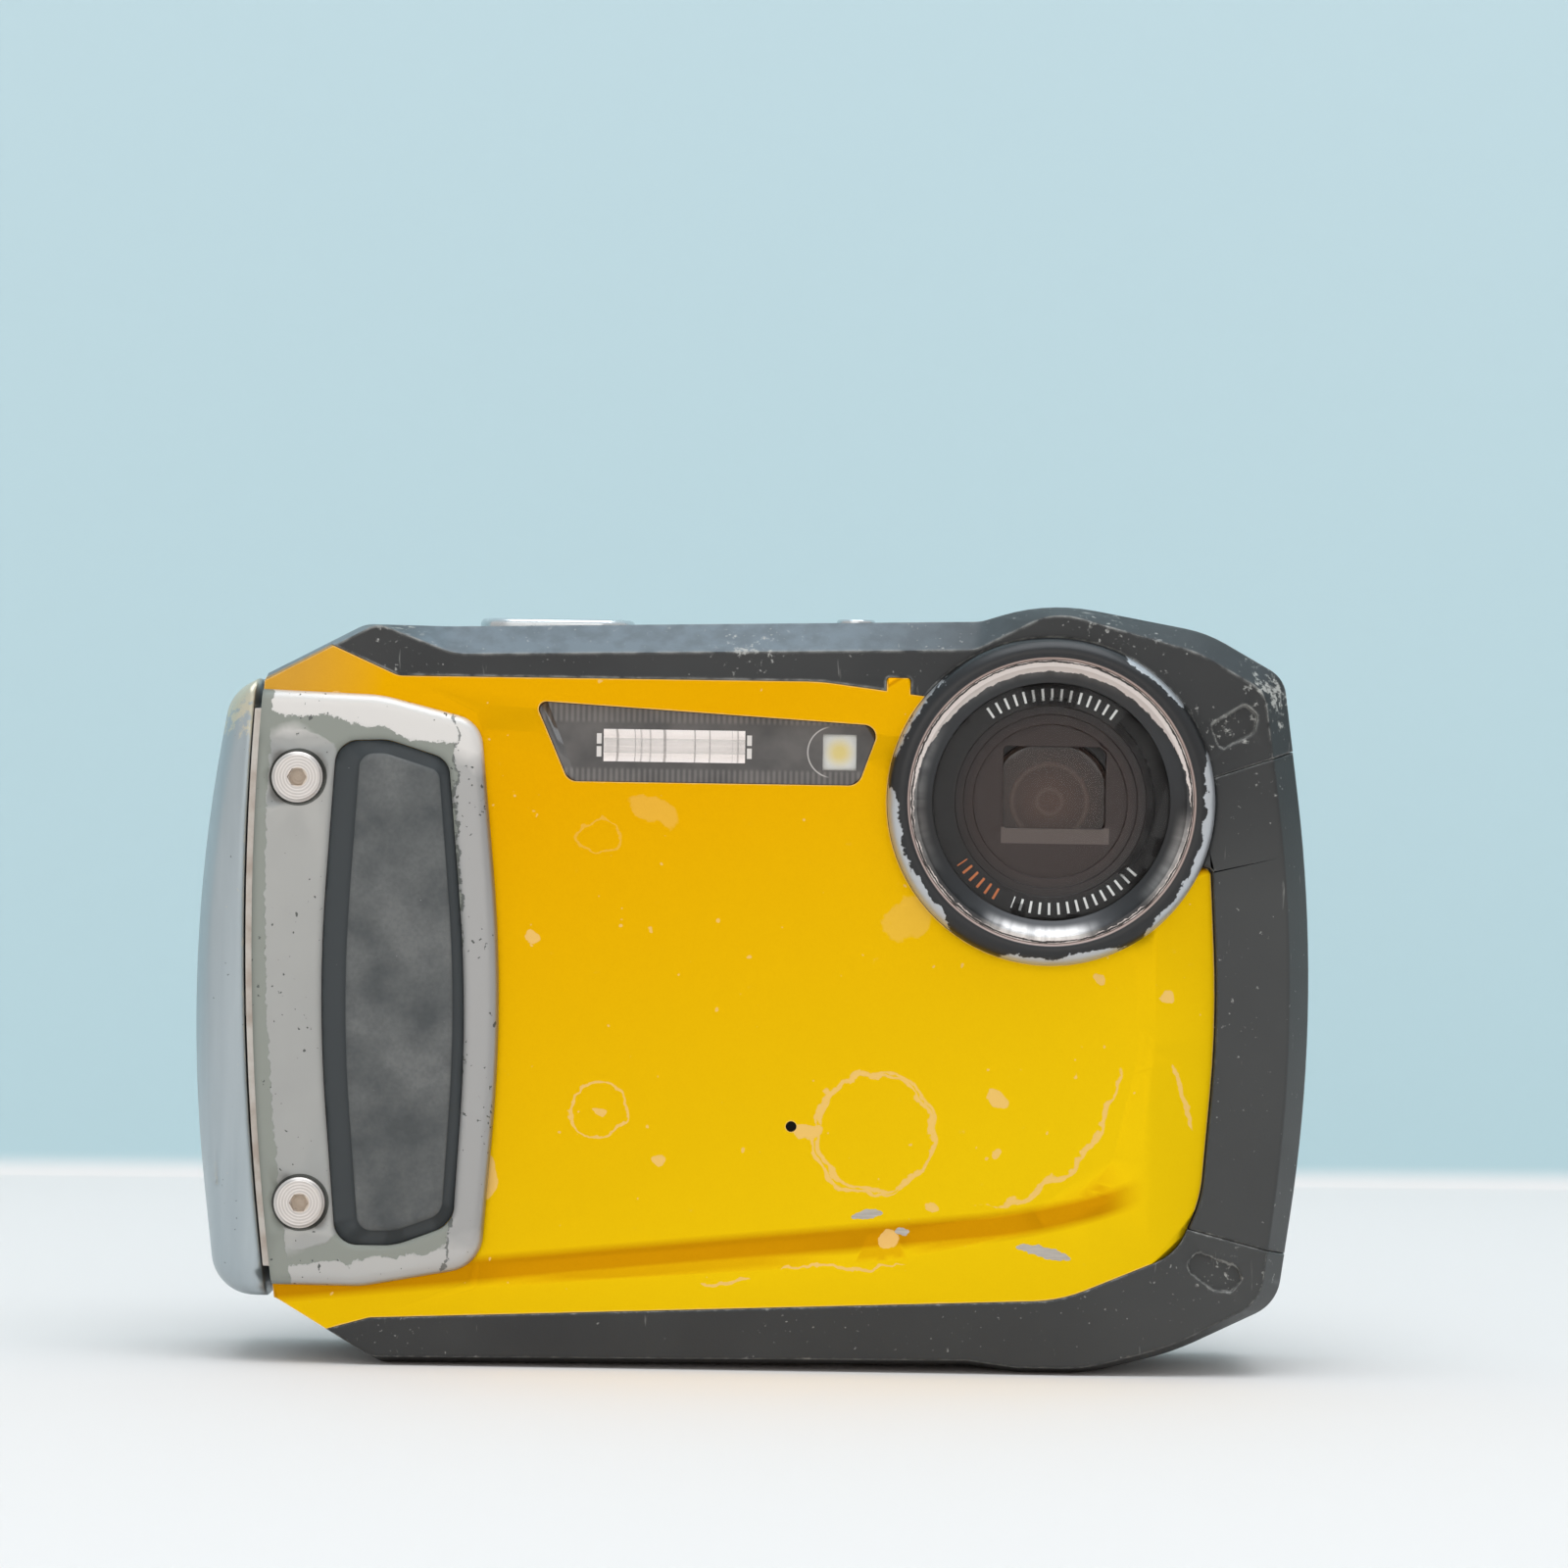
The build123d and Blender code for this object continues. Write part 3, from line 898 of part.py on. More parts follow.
DIAL_Y, DIAL_Z, DIAL_RADIUS, DIAL_THICK = 0.5, 26.0, 7.0, 1.6
DIAL_FACE = LEFT + 0.45

with BuildPart() as door_frame:
    add(block(LEFT, CAVITY_LEFT, FRAME_Y0, FRAME_Y1, FRAME_Z0, FRAME_Z1))
    extrude(seam_disc(FRAME_THICK, DEPTH), amount=2 * DEPTH, mode=Mode.INTERSECT)
    extrude(seam_disc(0, DEPTH), amount=2 * DEPTH, mode=Mode.SUBTRACT)
    add(body_form.part, mode=Mode.INTERSECT)
    for mouth in (battery_mouth, card_mouth, port_mouth, latch_space):
        add(mouth, mode=Mode.SUBTRACT)
    add(block(BOLT_X0 - 0.7, SEAM_X - 0.3, BOLT_Y0 - 0.6, BOLT_Y1 + 0.6, KEEPER_Z,
              KEEPER_Z + KEEPER_H))
    add(block(BOLT_X0 - BOLT_PLAY, BOLT_X1 + BOLT_PLAY, BOLT_Y0 - BOLT_PLAY, BOLT_Y1 + BOLT_PLAY,
              KEEPER_Z - 1, KEEPER_Z + KEEPER_H + 1), mode=Mode.SUBTRACT)

door_inner_x = SIDE_CORNERS[14][0]
DOOR_CORNERS = [
    SIDE_CORNERS[0],
    (door_inner_x, SIDE_CORNERS[0][1], 0.0),
    (door_inner_x, SIDE_CORNERS[14][1], 0.0),
    SIDE_CORNERS[15],
    SIDE_CORNERS[16],
]
DOOR_STEPS = 6
DOOR_END_ROUND = 0.8
door_sections = []
for step in range(DOOR_STEPS + 1):
    angle = math.pi / 2 * step / DOOR_STEPS
    side = DOOR_ROUND * (1 - math.sin(angle))
    ends = DOOR_END_ROUND * (1 - math.sin(angle))
    section = inset_corners(DOOR_CORNERS, [ends, 0, ends, side, side])
    door_sections.append(outline(section, Y_FACE + DOOR_ROUND * (1 - math.cos(angle))))

with BuildPart() as door_pocket:
    add(block(POCKET_X, CAVITY_LEFT, POCKET_Y0, POCKET_Y1, POCKET_Z0, POCKET_Z1))
    fillet(door_pocket.edges().filter_by(Axis.Z).group_by(Axis.X)[0].sort_by(Axis.Y)[0], radius=POCKET_ROUND)

with BuildPart() as side_door:
    loft(sections=door_sections, ruled=True)
    extrude(outline(DOOR_CORNERS, HINGE_Y), amount=HINGE_Y - Y_FACE - DOOR_ROUND)
    extrude(seam_disc(FRAME_THICK + DOOR_GAP, DEPTH), amount=2 * DEPTH, mode=Mode.SUBTRACT)
    with BuildSketch(Plane.XY):
        with BuildLine():
            Polyline((LEFT - 1, HINGE_Y - 2.6), (LEFT, HINGE_Y - 2.6), (HINGE_X - BARREL_RADIUS, HINGE_Y),
                     (HINGE_X - BARREL_RADIUS, HINGE_Y + 1), (LEFT - 1, HINGE_Y + 1), close=True)
        make_face()
    extrude(amount=HEIGHT, mode=Mode.SUBTRACT)
    z_low, z_high = KNUCKLES[0][1] + KNUCKLE_GAP, KNUCKLES[1][0] - KNUCKLE_GAP
    with BuildSketch(Plane.XY.offset(z_low)):
        with Locations((HINGE_X, HINGE_Y)):
            Circle(BARREL_RADIUS)
    extrude(amount=z_high - z_low)
    for z0, z1 in KNUCKLES:
        with BuildSketch(Plane.XY.offset(z0 - KNUCKLE_GAP)):
            with Locations((HINGE_X, HINGE_Y)):
                Circle(BARREL_RADIUS + KNUCKLE_ROOM)
        extrude(amount=z1 - z0 + 2 * KNUCKLE_GAP, mode=Mode.SUBTRACT)
        add(block(HINGE_X, CAVITY_LEFT, HINGE_Y - BARREL_RADIUS - KNUCKLE_ROOM, DEPTH,
                  z0 - KNUCKLE_GAP, z1 + KNUCKLE_GAP), mode=Mode.SUBTRACT)
    with BuildSketch(Plane.XY.offset(z_low - 1)):
        with Locations((HINGE_X, HINGE_Y)):
            Circle(PIN_RADIUS + RUN)
    extrude(amount=z_high - z_low + 2, mode=Mode.SUBTRACT)
    add(door_pocket.part, mode=Mode.SUBTRACT)
    add(block(BOLT_X0 - 0.8, CAVITY_LEFT, POCKET_Y0, BOLT_Y1 + 0.75, BOLT_Z0 - 1.5,
              KEEPER_Z + KEEPER_H + 1.5), mode=Mode.SUBTRACT)
    with BuildSketch(end_plane(LEFT - 1)):
        with Locations((DIAL_Y, DIAL_Z)):
            Circle(DIAL_RADIUS + SLIDE)
    extrude(amount=1 + DIAL_FACE - LEFT + DIAL_THICK + 0.1, mode=Mode.SUBTRACT)

with BuildPart() as door_seal:
    add(block(POCKET_X, CAVITY_LEFT, SEAL_Y0, SEAL_Y1, SEAL_Z0, SEAL_Z1))
    add(block(LEFT, WIDTH, SEAL_Y0 + DOOR_SEAL_W, SEAL_Y1 - DOOR_SEAL_W, SEAL_Z0 + DOOR_SEAL_W,
              SEAL_Z1 - DOOR_SEAL_W), mode=Mode.SUBTRACT)
    extrude(seam_disc(FRAME_THICK + 0.05, DEPTH), amount=2 * DEPTH, mode=Mode.SUBTRACT)

with BuildPart() as lock_dial:
    with BuildSketch(end_plane(DIAL_FACE)):
        with Locations((DIAL_Y, DIAL_Z)):
            Circle(DIAL_RADIUS)
    extrude(amount=DIAL_THICK)
    for side in (-1, 1):
        with BuildSketch(end_plane(DIAL_FACE)):
            with Locations((DIAL_Y + side * 3.4, DIAL_Z)):
                Rectangle(3.6, 9.0)
        extrude(amount=0.8, mode=Mode.SUBTRACT)
lock_bolt = block(BOLT_X0, BOLT_X1, BOLT_Y0, BOLT_Y1, BOLT_Z0, KEEPER_Z - 0.6)
with BuildPart() as hinge_pin:
    with BuildSketch(Plane.XY.offset(KNUCKLES[0][0])):
        with Locations((HINGE_X, HINGE_Y)):
            Circle(PIN_RADIUS)
    extrude(amount=KNUCKLES[1][1] - KNUCKLES[0][0])

# ================================================================= strap bar and tripod bush
with BuildPart() as strap_bar:
    with BuildSketch(Plane.XY.offset(STRAP_Z0 - THROUGH)):
        with Locations((STRAP_X, STRAP_Y)):
            Circle(STRAP_RADIUS)
    extrude(amount=STRAP_Z1 - STRAP_Z0 + 2 * THROUGH)
with BuildPart() as tripod_bush:
    with BuildSketch(Plane.XY.offset(BELLY_Z)):
        with Locations((BUSH_X, BUSH_Y)):
            Circle(BUSH_RADIUS)
    extrude(amount=SIDE_WALL + 0.1)
    with BuildSketch(Plane.XY.offset(BELLY_Z + SIDE_WALL + 0.1)):
        with Locations((BUSH_X, BUSH_Y)):
            Circle(BUSH_FLANGE)
    extrude(amount=BUSH_LENGTH - SIDE_WALL - 0.1)
    with BuildSketch(Plane.XY.offset(-1)):
        with Locations((BUSH_X, BUSH_Y)):
            Circle(BUSH_BORE)
    extrude(amount=1 + BELLY_Z + BUSH_LENGTH - 0.8, mode=Mode.SUBTRACT)

# ================================================================= folded zoom lens
UNIT_X0, UNIT_X1 = LENS_X - 9.9, LENS_X + 9.9
UNIT_Z0, UNIT_Z1 = 5.4, HEIGHT - 5.7
UNIT_WALL = 1.0
Y_UNIT0, Y_UNIT1 = Y_FRONT_IN + SEAT, Y_CHASSIS - SEAT
ELEMENT_RADIUS = 6.0
PRISM = DEPTH - 16.6
PRISM_W = 11.0
ROD_RADIUS = 0.7
ROD_Y = Y_UNIT0 + 4.7
RODS_X = (UNIT_X0 + 2.4, UNIT_X1 - 2.4)
SCREW_X, SCREW_Y, SCREW_RADIUS = UNIT_X0 + 3.0, Y_UNIT1 - 4.1, 0.9
MOTOR_RADIUS, MOTOR_H = 1.9, 8.0
ZOOM_Z, ZOOM_H, ZOOM_TRAVEL = 34.0, 5.0, 8.0
FOCUS_Z, FOCUS_H, FOCUS_TRAVEL = 17.0, 4.0, 2.0
GROUP_RADIUS = PRISM / 2 - 0.85
Y_AXIS = Y_UNIT0 + UNIT_WALL + SEAT + PRISM / 2
y_prism = Y_UNIT0 + UNIT_WALL + SEAT
floor_z = UNIT_Z0 + UNIT_WALL

with BuildPart() as lens_barrel:
    add(block(UNIT_X0, UNIT_X1, Y_UNIT0, Y_UNIT1, UNIT_Z0, UNIT_Z1))
    add(block(UNIT_X0 + UNIT_WALL, UNIT_X1 - UNIT_WALL, Y_UNIT0 + UNIT_WALL, DEPTH, floor_z,
              UNIT_Z1 - UNIT_WALL), mode=Mode.SUBTRACT)
    extrude(disc(LENS_X, LENS_Z, ELEMENT_RADIUS + FIT, DEPTH), amount=2 * DEPTH, mode=Mode.SUBTRACT)
with BuildPart() as front_element:
    extrude(disc(LENS_X, LENS_Z, ELEMENT_RADIUS, Y_UNIT0 + UNIT_WALL), amount=UNIT_WALL + 0.2)
    fillet(front_element.faces().sort_by(Axis.Y)[0].edges(), radius=0.6)
with BuildPart() as prism:
    with BuildSketch(end_plane(LENS_X - PRISM_W / 2)):
        with BuildLine():
            Polyline((y_prism, LENS_Z + PRISM / 2), (y_prism, LENS_Z - PRISM / 2),
                     (y_prism + PRISM, LENS_Z - PRISM / 2), close=True)
        make_face()
    extrude(amount=PRISM_W)


def carriage(z, height, screw_hole):
    """Lens group in a carrier that slides on the two rods, seen along the folded axis."""
    with BuildPart() as carrier:
        with BuildSketch(Plane.XY.offset(z)):
            with Locations((LENS_X, Y_AXIS)):
                Circle(GROUP_RADIUS + 0.6)
            with Locations((LENS_X, ROD_Y)):
                Rectangle(RODS_X[1] - RODS_X[0] + 2.2, 3.2)
            with Locations(((SCREW_X + LENS_X) / 2, SCREW_Y)):
                Rectangle(LENS_X - SCREW_X + 3.2, 3.0)
            with Locations(*[(x, ROD_Y) for x in RODS_X]):
                Circle(ROD_RADIUS + RUN, mode=Mode.SUBTRACT)
            with Locations((SCREW_X, SCREW_Y)):
                Circle(screw_hole, mode=Mode.SUBTRACT)
        extrude(amount=height)
    return carrier.part


zoom_carriage = carriage(ZOOM_Z, ZOOM_H, SCREW_RADIUS + RUN)
focus_carriage = carriage(FOCUS_Z, FOCUS_H, SCREW_RADIUS + 0.25)
with BuildPart() as guide_rods:
    with BuildSketch(Plane.XY.offset(floor_z)):
        with Locations(*[(x, ROD_Y) for x in RODS_X]):
            Circle(ROD_RADIUS)
    extrude(amount=UNIT_Z1 - UNIT_WALL - floor_z)
with BuildPart() as zoom_motor:
    with BuildSketch(Plane.XY.offset(floor_z)):
        with Locations((SCREW_X, SCREW_Y)):
            Circle(MOTOR_RADIUS)
    extrude(amount=MOTOR_H)
with BuildPart() as lead_screw:
    with BuildSketch(Plane.XY.offset(floor_z + MOTOR_H + 0.1)):
        with Locations((SCREW_X, SCREW_Y)):
            Circle(SCREW_RADIUS)
    extrude(amount=ZOOM_Z + ZOOM_H + 2 - floor_z - MOTOR_H)
image_sensor = block(LENS_X - 4.2, LENS_X + 5.0, Y_AXIS - GROUP_RADIUS + 0.4,
                     Y_AXIS + GROUP_RADIUS - 0.4, floor_z + 0.1,
                     floor_z + 2.0)

# ================================================================= write the pieces
PIECES = {
    "front_panel": front_panel.part,
    "front_cover": front_cover.part,
    "end_trim": end_trim.part,
    "rear_cover": rear_cover.part,
    "body_seal": body_seal.part,
    "grip_plate": grip_plate.part,
    "grip_pad": grip_pad.part,
    "grip_screws": grip_screws.part,
    "lens_ring": lens_ring,
    "lens_bezel": lens_bezel,
    "lens_window": lens_window,
    "window_seal": window_seal,
    "lens_baffle": lens_baffle.part,
    "flash_window": flash_window.part,
    "flash_reflector": flash_reflector.part,
    "flash_tube": flash_tube.part,
    "focus_lamp": focus_lamp.part,
    "side_door": side_door.part,
    "door_frame": door_frame.part,
    "door_seal": door_seal.part,
    "hinge_pin": hinge_pin.part,
    "lock_dial": lock_dial.part,
    "lock_bolt": lock_bolt,
    "shutter_button": shutter_button.part,
    "power_button": power_button.part,
    "top_board": top_board.part,
    "monitor_window": monitor_window.part,
    "lcd_module": lcd_module,
    "zoom_rocker": zoom_rocker.part,
    "movie_button": movie_button,
    "play_button": play_button,
    "back_button": back_button,
    "nav_plunger": nav_plunger.part,
    "nav_ring": nav_ring.part,
    "ok_button": ok_button.part,
    "key_mat": key_mat,
    "key_board": key_board,
    "case_screws": case_screws.part,
    "chassis": chassis.part,
    "main_board": main_board.part,
    "battery": battery,
    "battery_case": battery_case.part,
    "battery_latch": battery_latch,
    "card_slot": card_slot.part,
    "memory_card": memory_card.part,
    "port_block": port_block.part,
    "flash_capacitor": flash_capacitor.part,
    "microphone": microphone.part,
    "gps_antenna": gps_antenna,
    "strap_bar": strap_bar.part,
    "tripod_bush": tripod_bush.part,
    "lens_barrel": lens_barrel.part,
    "front_element": front_element.part,
    "prism": prism.part,
    "zoom_carriage": zoom_carriage,
    "focus_carriage": focus_carriage,
    "guide_rods": guide_rods.part,
    "zoom_motor": zoom_motor.part,
    "lead_screw": lead_screw.part,
    "image_sensor": image_sensor,
}
os.makedirs("parts", exist_ok=True)
for name, piece in PIECES.items():
    piece.label = name
    export_step(piece, f"parts/{name}.step")
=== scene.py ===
"""Looks for a worn, waterproof compact camera, made piece by piece around its CAD frame.

Sizes are in millimetres and turned to metres where a mesh is made.  +X runs towards the lens
end, +Y from the lens side to the monitor side, +Z up.
"""
import json
import math

import bmesh
import bpy
import numpy as np
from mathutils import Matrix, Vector

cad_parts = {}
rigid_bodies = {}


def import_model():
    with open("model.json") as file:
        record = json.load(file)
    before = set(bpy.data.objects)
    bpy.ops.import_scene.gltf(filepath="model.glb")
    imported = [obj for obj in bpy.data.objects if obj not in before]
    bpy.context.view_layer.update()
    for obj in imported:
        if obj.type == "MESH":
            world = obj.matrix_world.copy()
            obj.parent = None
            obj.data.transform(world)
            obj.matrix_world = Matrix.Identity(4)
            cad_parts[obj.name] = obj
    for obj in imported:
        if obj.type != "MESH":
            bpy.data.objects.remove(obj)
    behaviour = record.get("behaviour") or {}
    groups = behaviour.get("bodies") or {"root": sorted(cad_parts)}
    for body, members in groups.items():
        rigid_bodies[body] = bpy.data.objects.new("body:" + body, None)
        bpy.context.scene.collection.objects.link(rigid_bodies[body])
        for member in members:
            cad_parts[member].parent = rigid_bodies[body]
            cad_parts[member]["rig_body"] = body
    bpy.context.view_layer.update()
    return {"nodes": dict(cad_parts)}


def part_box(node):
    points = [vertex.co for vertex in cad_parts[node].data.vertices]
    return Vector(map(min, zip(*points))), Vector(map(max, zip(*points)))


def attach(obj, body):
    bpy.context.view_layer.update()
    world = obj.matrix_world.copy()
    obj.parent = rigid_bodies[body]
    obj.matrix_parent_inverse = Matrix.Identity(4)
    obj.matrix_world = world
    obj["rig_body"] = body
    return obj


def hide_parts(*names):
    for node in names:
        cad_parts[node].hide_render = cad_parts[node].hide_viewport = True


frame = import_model()

# ------------------------------ view
# The camera stands level, a little above the middle of the object and about half a metre off,
# and leans slightly to the left.
MM = 0.001
VIEW_PLACE = (2.75, -523.0, 54.25)
VIEW_LENS = 127.3
VIEW_LEAN = 0.9

view = bpy.data.cameras.new("view")
view.lens = VIEW_LENS
view.sensor_width = 36.0
view.clip_start = 0.01
view.clip_end = 20.0
viewer = bpy.data.objects.new("view", view)
viewer.location = [value * MM for value in VIEW_PLACE]
viewer.rotation_euler = (math.radians(90.0), -math.radians(VIEW_LEAN), 0.0)
bpy.context.collection.objects.link(viewer)
bpy.context.scene.camera = viewer
bpy.context.scene.view_settings.view_transform = "Standard"

# ------------------------------ floor, backdrop and light
# A white table top meets a pale blue wall, turned a little, with a small soft cove. The wall is
# clear from behind, so that it hides nothing in a view of the back. A large soft lamp hangs over
# the table, and a weak one stands in front, under a pale sky, bluer overhead.
FLOOR_HALF = 1600.0
WALL_Y = 233.0
WALL_TURN = 0.086     # how far the wall runs back for each step to the right
WALL_TOP = 1500.0
COVE = 3.0            # radius of the round between the table and the wall
COVE_POINTS = 9
WALL_FOOT = 3.4       # height by which the table's white has turned to the wall's blue
WALL_PALE = 320.0     # height at which the wall reaches its paler blue
FLOOR_COLOUR = "ECE6E3"
WALL_LOW = "BCD6DC"
WALL_HIGH = "C4D8DE"
SKY_LOW = "FBF6F2"
SKY_HIGH = "E3F0F7"
SKY_RISE = (0.1, 0.8)   # upward part of a direction, from the low sky to the high one
SKY_STRENGTH = 0.78
LAMP_AIM = 35.0       # height above the table that the lamps point at
LAMPS = [             # name, place, width and height, power in watts, and tint
    ("table_lamp", (80.0, -250.0, 1030.0), (900.0, 800.0), 6.2, "F6FAFF"),
    ("front_lamp", (-150.0, -1000.0, 320.0), (900.0, 500.0), 1.2, "FFFBF6"),
]


def linear(code):
    """Linear RGBA of an sRGB hex code: c/12.92 below 0.04045, else ((c+0.055)/1.055)^2.4."""
    values = np.array([int(code[i:i + 2], 16) / 255.0 for i in (0, 2, 4)])
    low, high = values / 12.92, ((values + 0.055) / 1.055) ** 2.4
    return (*np.where(values <= 0.04045, low, high), 1.0)


def add_node(tree, kind, inputs=None, **settings):
    """Add a node, set its properties, and fill or link its inputs, by name or by number."""
    node = tree.nodes.new("ShaderNode" + kind)
    for key, value in settings.items():
        setattr(node, key, value)
    for key, value in (inputs or {}).items():
        if isinstance(value, bpy.types.NodeSocket):
            tree.links.new(value, node.inputs[key])
        else:
            node.inputs[key].default_value = value
    return node


def new_material(name):
    """Empty material, its tree, and Object coordinates in millimetres."""
    material = bpy.data.materials.new(name)
    material.use_nodes = True
    tree = material.node_tree
    tree.nodes.clear()
    place = add_node(tree, "TexCoord").outputs["Object"]
    place = add_node(tree, "VectorMath", {0: place, 3: 1 / MM}, operation="SCALE").outputs[0]
    return material, tree, place


def mesh_piece(name, points, faces, material):
    """Object at the origin from points in millimetres and faces."""
    mesh = bpy.data.meshes.new(name)
    mesh.from_pydata((np.asarray(points, dtype=float) * MM).tolist(), [], faces)
    mesh.materials.append(material)
    mesh.update()
    piece = bpy.data.objects.new(name, mesh)
    bpy.context.collection.objects.link(piece)
    return piece


def grid_faces(rows, columns, closed=False):
    """Quads of a rows x columns grid of points, each row closed on itself if asked."""
    i = np.arange(rows - 1)[:, None]
    j = np.arange(columns if closed else columns - 1)[None, :]
    i2, j2 = i + 1, (j + 1) % columns
    quads = [i * columns + j, i2 * columns + j, i2 * columns + j2, i * columns + j2]
    return np.stack(quads, axis=-1).reshape(-1, 4).tolist()


stage_material, tree, place = new_material("painted_stage")
height = add_node(tree, "SeparateXYZ", {0: place}).outputs[2]
rise = add_node(tree, "MapRange", {0: height, 2: WALL_FOOT},
                interpolation_type="SMOOTHSTEP").outputs[0]
climb = add_node(tree, "MapRange", {0: height, 2: WALL_PALE}).outputs[0]
wall = add_node(tree, "Mix", {0: climb, 6: linear(WALL_LOW), 7: linear(WALL_HIGH)},
                data_type="RGBA").outputs[2]
colour = add_node(tree, "Mix", {0: rise, 6: linear(FLOOR_COLOUR), 7: wall},
                  data_type="RGBA").outputs[2]
paint = add_node(tree, "BsdfPrincipled", {"Base Color": colour, "Roughness": 0.85,
                                          "Specular IOR Level": 0.15})
behind = add_node(tree, "NewGeometry").outputs["Backfacing"]
seen = add_node(tree, "LightPath").outputs["Is Camera Ray"]
behind = add_node(tree, "Math", {0: behind, 1: seen}, operation="MULTIPLY").outputs[0]
clear = add_node(tree, "BsdfTransparent")
paint = add_node(tree, "MixShader", {0: behind, 1: paint.outputs[0], 2: clear.outputs[0]})
add_node(tree, "OutputMaterial", {"Surface": paint.outputs[0]})

turn = np.linspace(0.0, math.pi / 2, COVE_POINTS)
profile = np.vstack([
    [[-FLOOR_HALF, 0.0]],
    np.column_stack([WALL_Y - COVE + COVE * np.sin(turn), COVE - COVE * np.cos(turn)]),
    [[WALL_Y, WALL_TOP]],
])
sides = np.array([-FLOOR_HALF, FLOOR_HALF])
points = np.array([[x, y, z] for x in sides for y, z in profile])
points[:, 1] += WALL_TURN * points[:, 0] * (points[:, 1] > 0.0)
stage = mesh_piece("stage", points, grid_faces(2, len(profile)), stage_material)
stage.data.shade_smooth()

world = bpy.data.worlds.new("studio")
world.use_nodes = True
bpy.context.scene.world = world
tree = world.node_tree
tree.nodes.clear()
up = add_node(tree, "TexCoord").outputs["Generated"]
up = add_node(tree, "SeparateXYZ", {0: up}).outputs[2]
up = add_node(tree, "MapRange", {0: up, 1: SKY_RISE[0], 2: SKY_RISE[1]}).outputs[0]
sky = add_node(tree, "Mix", {0: up, 6: linear(SKY_LOW), 7: linear(SKY_HIGH)},
               data_type="RGBA").outputs[2]
sky = add_node(tree, "Background", {"Color": sky, "Strength": SKY_STRENGTH})
add_node(tree, "OutputWorld", {"Surface": sky.outputs[0]})

for name, spot, size, power, tint in LAMPS:
    lamp = bpy.data.lights.new(name, "AREA")
    lamp.shape = "RECTANGLE"
    lamp.size, lamp.size_y = size[0] * MM, size[1] * MM
    lamp.energy = power
    lamp.color = linear(tint)[:3]
    holder = bpy.data.objects.new(name, lamp)
    holder.location = [value * MM for value in spot]
    aim = Vector((0.0, 0.0, LAMP_AIM)) - Vector(spot)
    holder.rotation_euler = aim.to_track_quat("-Z", "Y").to_euler()
    bpy.context.collection.objects.link(holder)

# ------------------------------ covers and end trim
# Front cover, rear cover and end trim: black glass-filled nylon, injection moulded with a fine
# satin grain. Drops have chipped the top corners, and handling left pale scuffs and specks.
# The bevels that look up carry a painted bluish sheen, a painted reflection of the sky, and
# the upper crests a pale line that is part scuff and part painted highlight.
COVER_COLOUR = "1F2021"
COVER_SCUFF_AND_HIGHLIGHT = "A6A5A0"
COVER_GREY = "2B2C2C"
COVER_LENS_END_GREY = "434443"
COVER_PAINTED_SHEEN = "6E7B84"   # painted sheen: a bluish grey painted reflection of the sky on the bevels that look up, most at the door end
MERGE = 0.001         # points closer than this become one
FLAT_TURN = 0.03      # faces that turn by fewer degrees than this become one
SHARP_TURN = 32.0     # edges that turn by more degrees than this are rolled over
GRAIN = 0.22          # moulded grain, drawn a little coarser than it is
GRAIN_DEPTH = 0.03
SPECK = 0.5           # pale specks, and the blotches they crowd in
BLOTCH = 8.0
PATCH_GRAIN = 1.6          # grain of the breaks in the pale crest line and in the painted sheen
DUST_CLOUD = 14.0
CREST_Z = (58.0, 62.0)        # crests carry a pale line above these heights, part scuff and part painted highlight
GREY_END_X, GREY_END_Z = (20.0, 44.0), (54.0, 44.0)   # the nylon is drawn greyer low down at the lens end
SHEEN_SLOPE = (0.3, 0.7)       # upward part of the normal where the painted sheen lies
SHEEN_X, SHEEN_SHARE = (8.0, 24.0), (0.78, 0.08)         # it thins out along X
FLAT_TOP_SLOPE, FLAT_TOP_SHARE = (0.86, 0.97), (1.0, 0.22)   # faces that look straight up get less of the painted sheen
KNOCKS = [            # place of each knock (x, y, z), how far it spreads, and how heavy it is
    (47.6, -9.0, 63.0, 5.0, 0.30),
    (-34.0, -8.0, 67.0, 5.5, 0.22),
    (-1.0, -10.0, 66.5, 5.0, 0.20),
    (33.0, -10.0, 70.0, 9.0, 0.14),
    (46.0, -11.0, 31.0, 6.0, 0.07),
    (43.6, -11.0, 60.0, 3.4, 0.21),
    (43.5, -11.0, 9.8, 3.6, 0.19),
    (47.0, -10.5, 55.0, 3.0, 0.12),
]


def softened(node, material, width):
    """Merged copy of a CAD node that replaces it, with its sharp edges rolled over.

    Edges that turn by more than SHARP_TURN get a two-step round of the given width, and the
    flat faces keep their own normals. A node with no width keeps its edges as they are.
    """
    source = frame["nodes"][node]
    mesh = source.data.copy()
    mesh.name = node + "_finish"
    form = bmesh.new()
    form.from_mesh(mesh)
    bmesh.ops.remove_doubles(form, verts=form.verts, dist=MERGE * MM)
    if width:
        bmesh.ops.dissolve_limit(form, angle_limit=math.radians(FLAT_TURN), verts=form.verts,
                                 edges=form.edges)
        bmesh.ops.triangulate(form, faces=form.faces)
    form.to_mesh(mesh)
    form.free()
    mesh.materials.clear()
    mesh.materials.append(material)
    mesh.shade_smooth()
    mesh.set_sharp_from_angle(angle=math.radians(SHARP_TURN))
    piece = bpy.data.objects.new(node + "_finish", mesh)
    bpy.context.collection.objects.link(piece)
    if width:
        roll = piece.modifiers.new("roll", "BEVEL")
        roll.width = width * MM
        roll.segments = 2
        roll.limit_method = "ANGLE"
        roll.angle_limit = math.radians(SHARP_TURN)
        roll.use_clamp_overlap = True
    weigh = piece.modifiers.new("weigh", "WEIGHTED_NORMAL")
    weigh.keep_sharp = True
    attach(piece, source["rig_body"])
    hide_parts(node)
    return piece


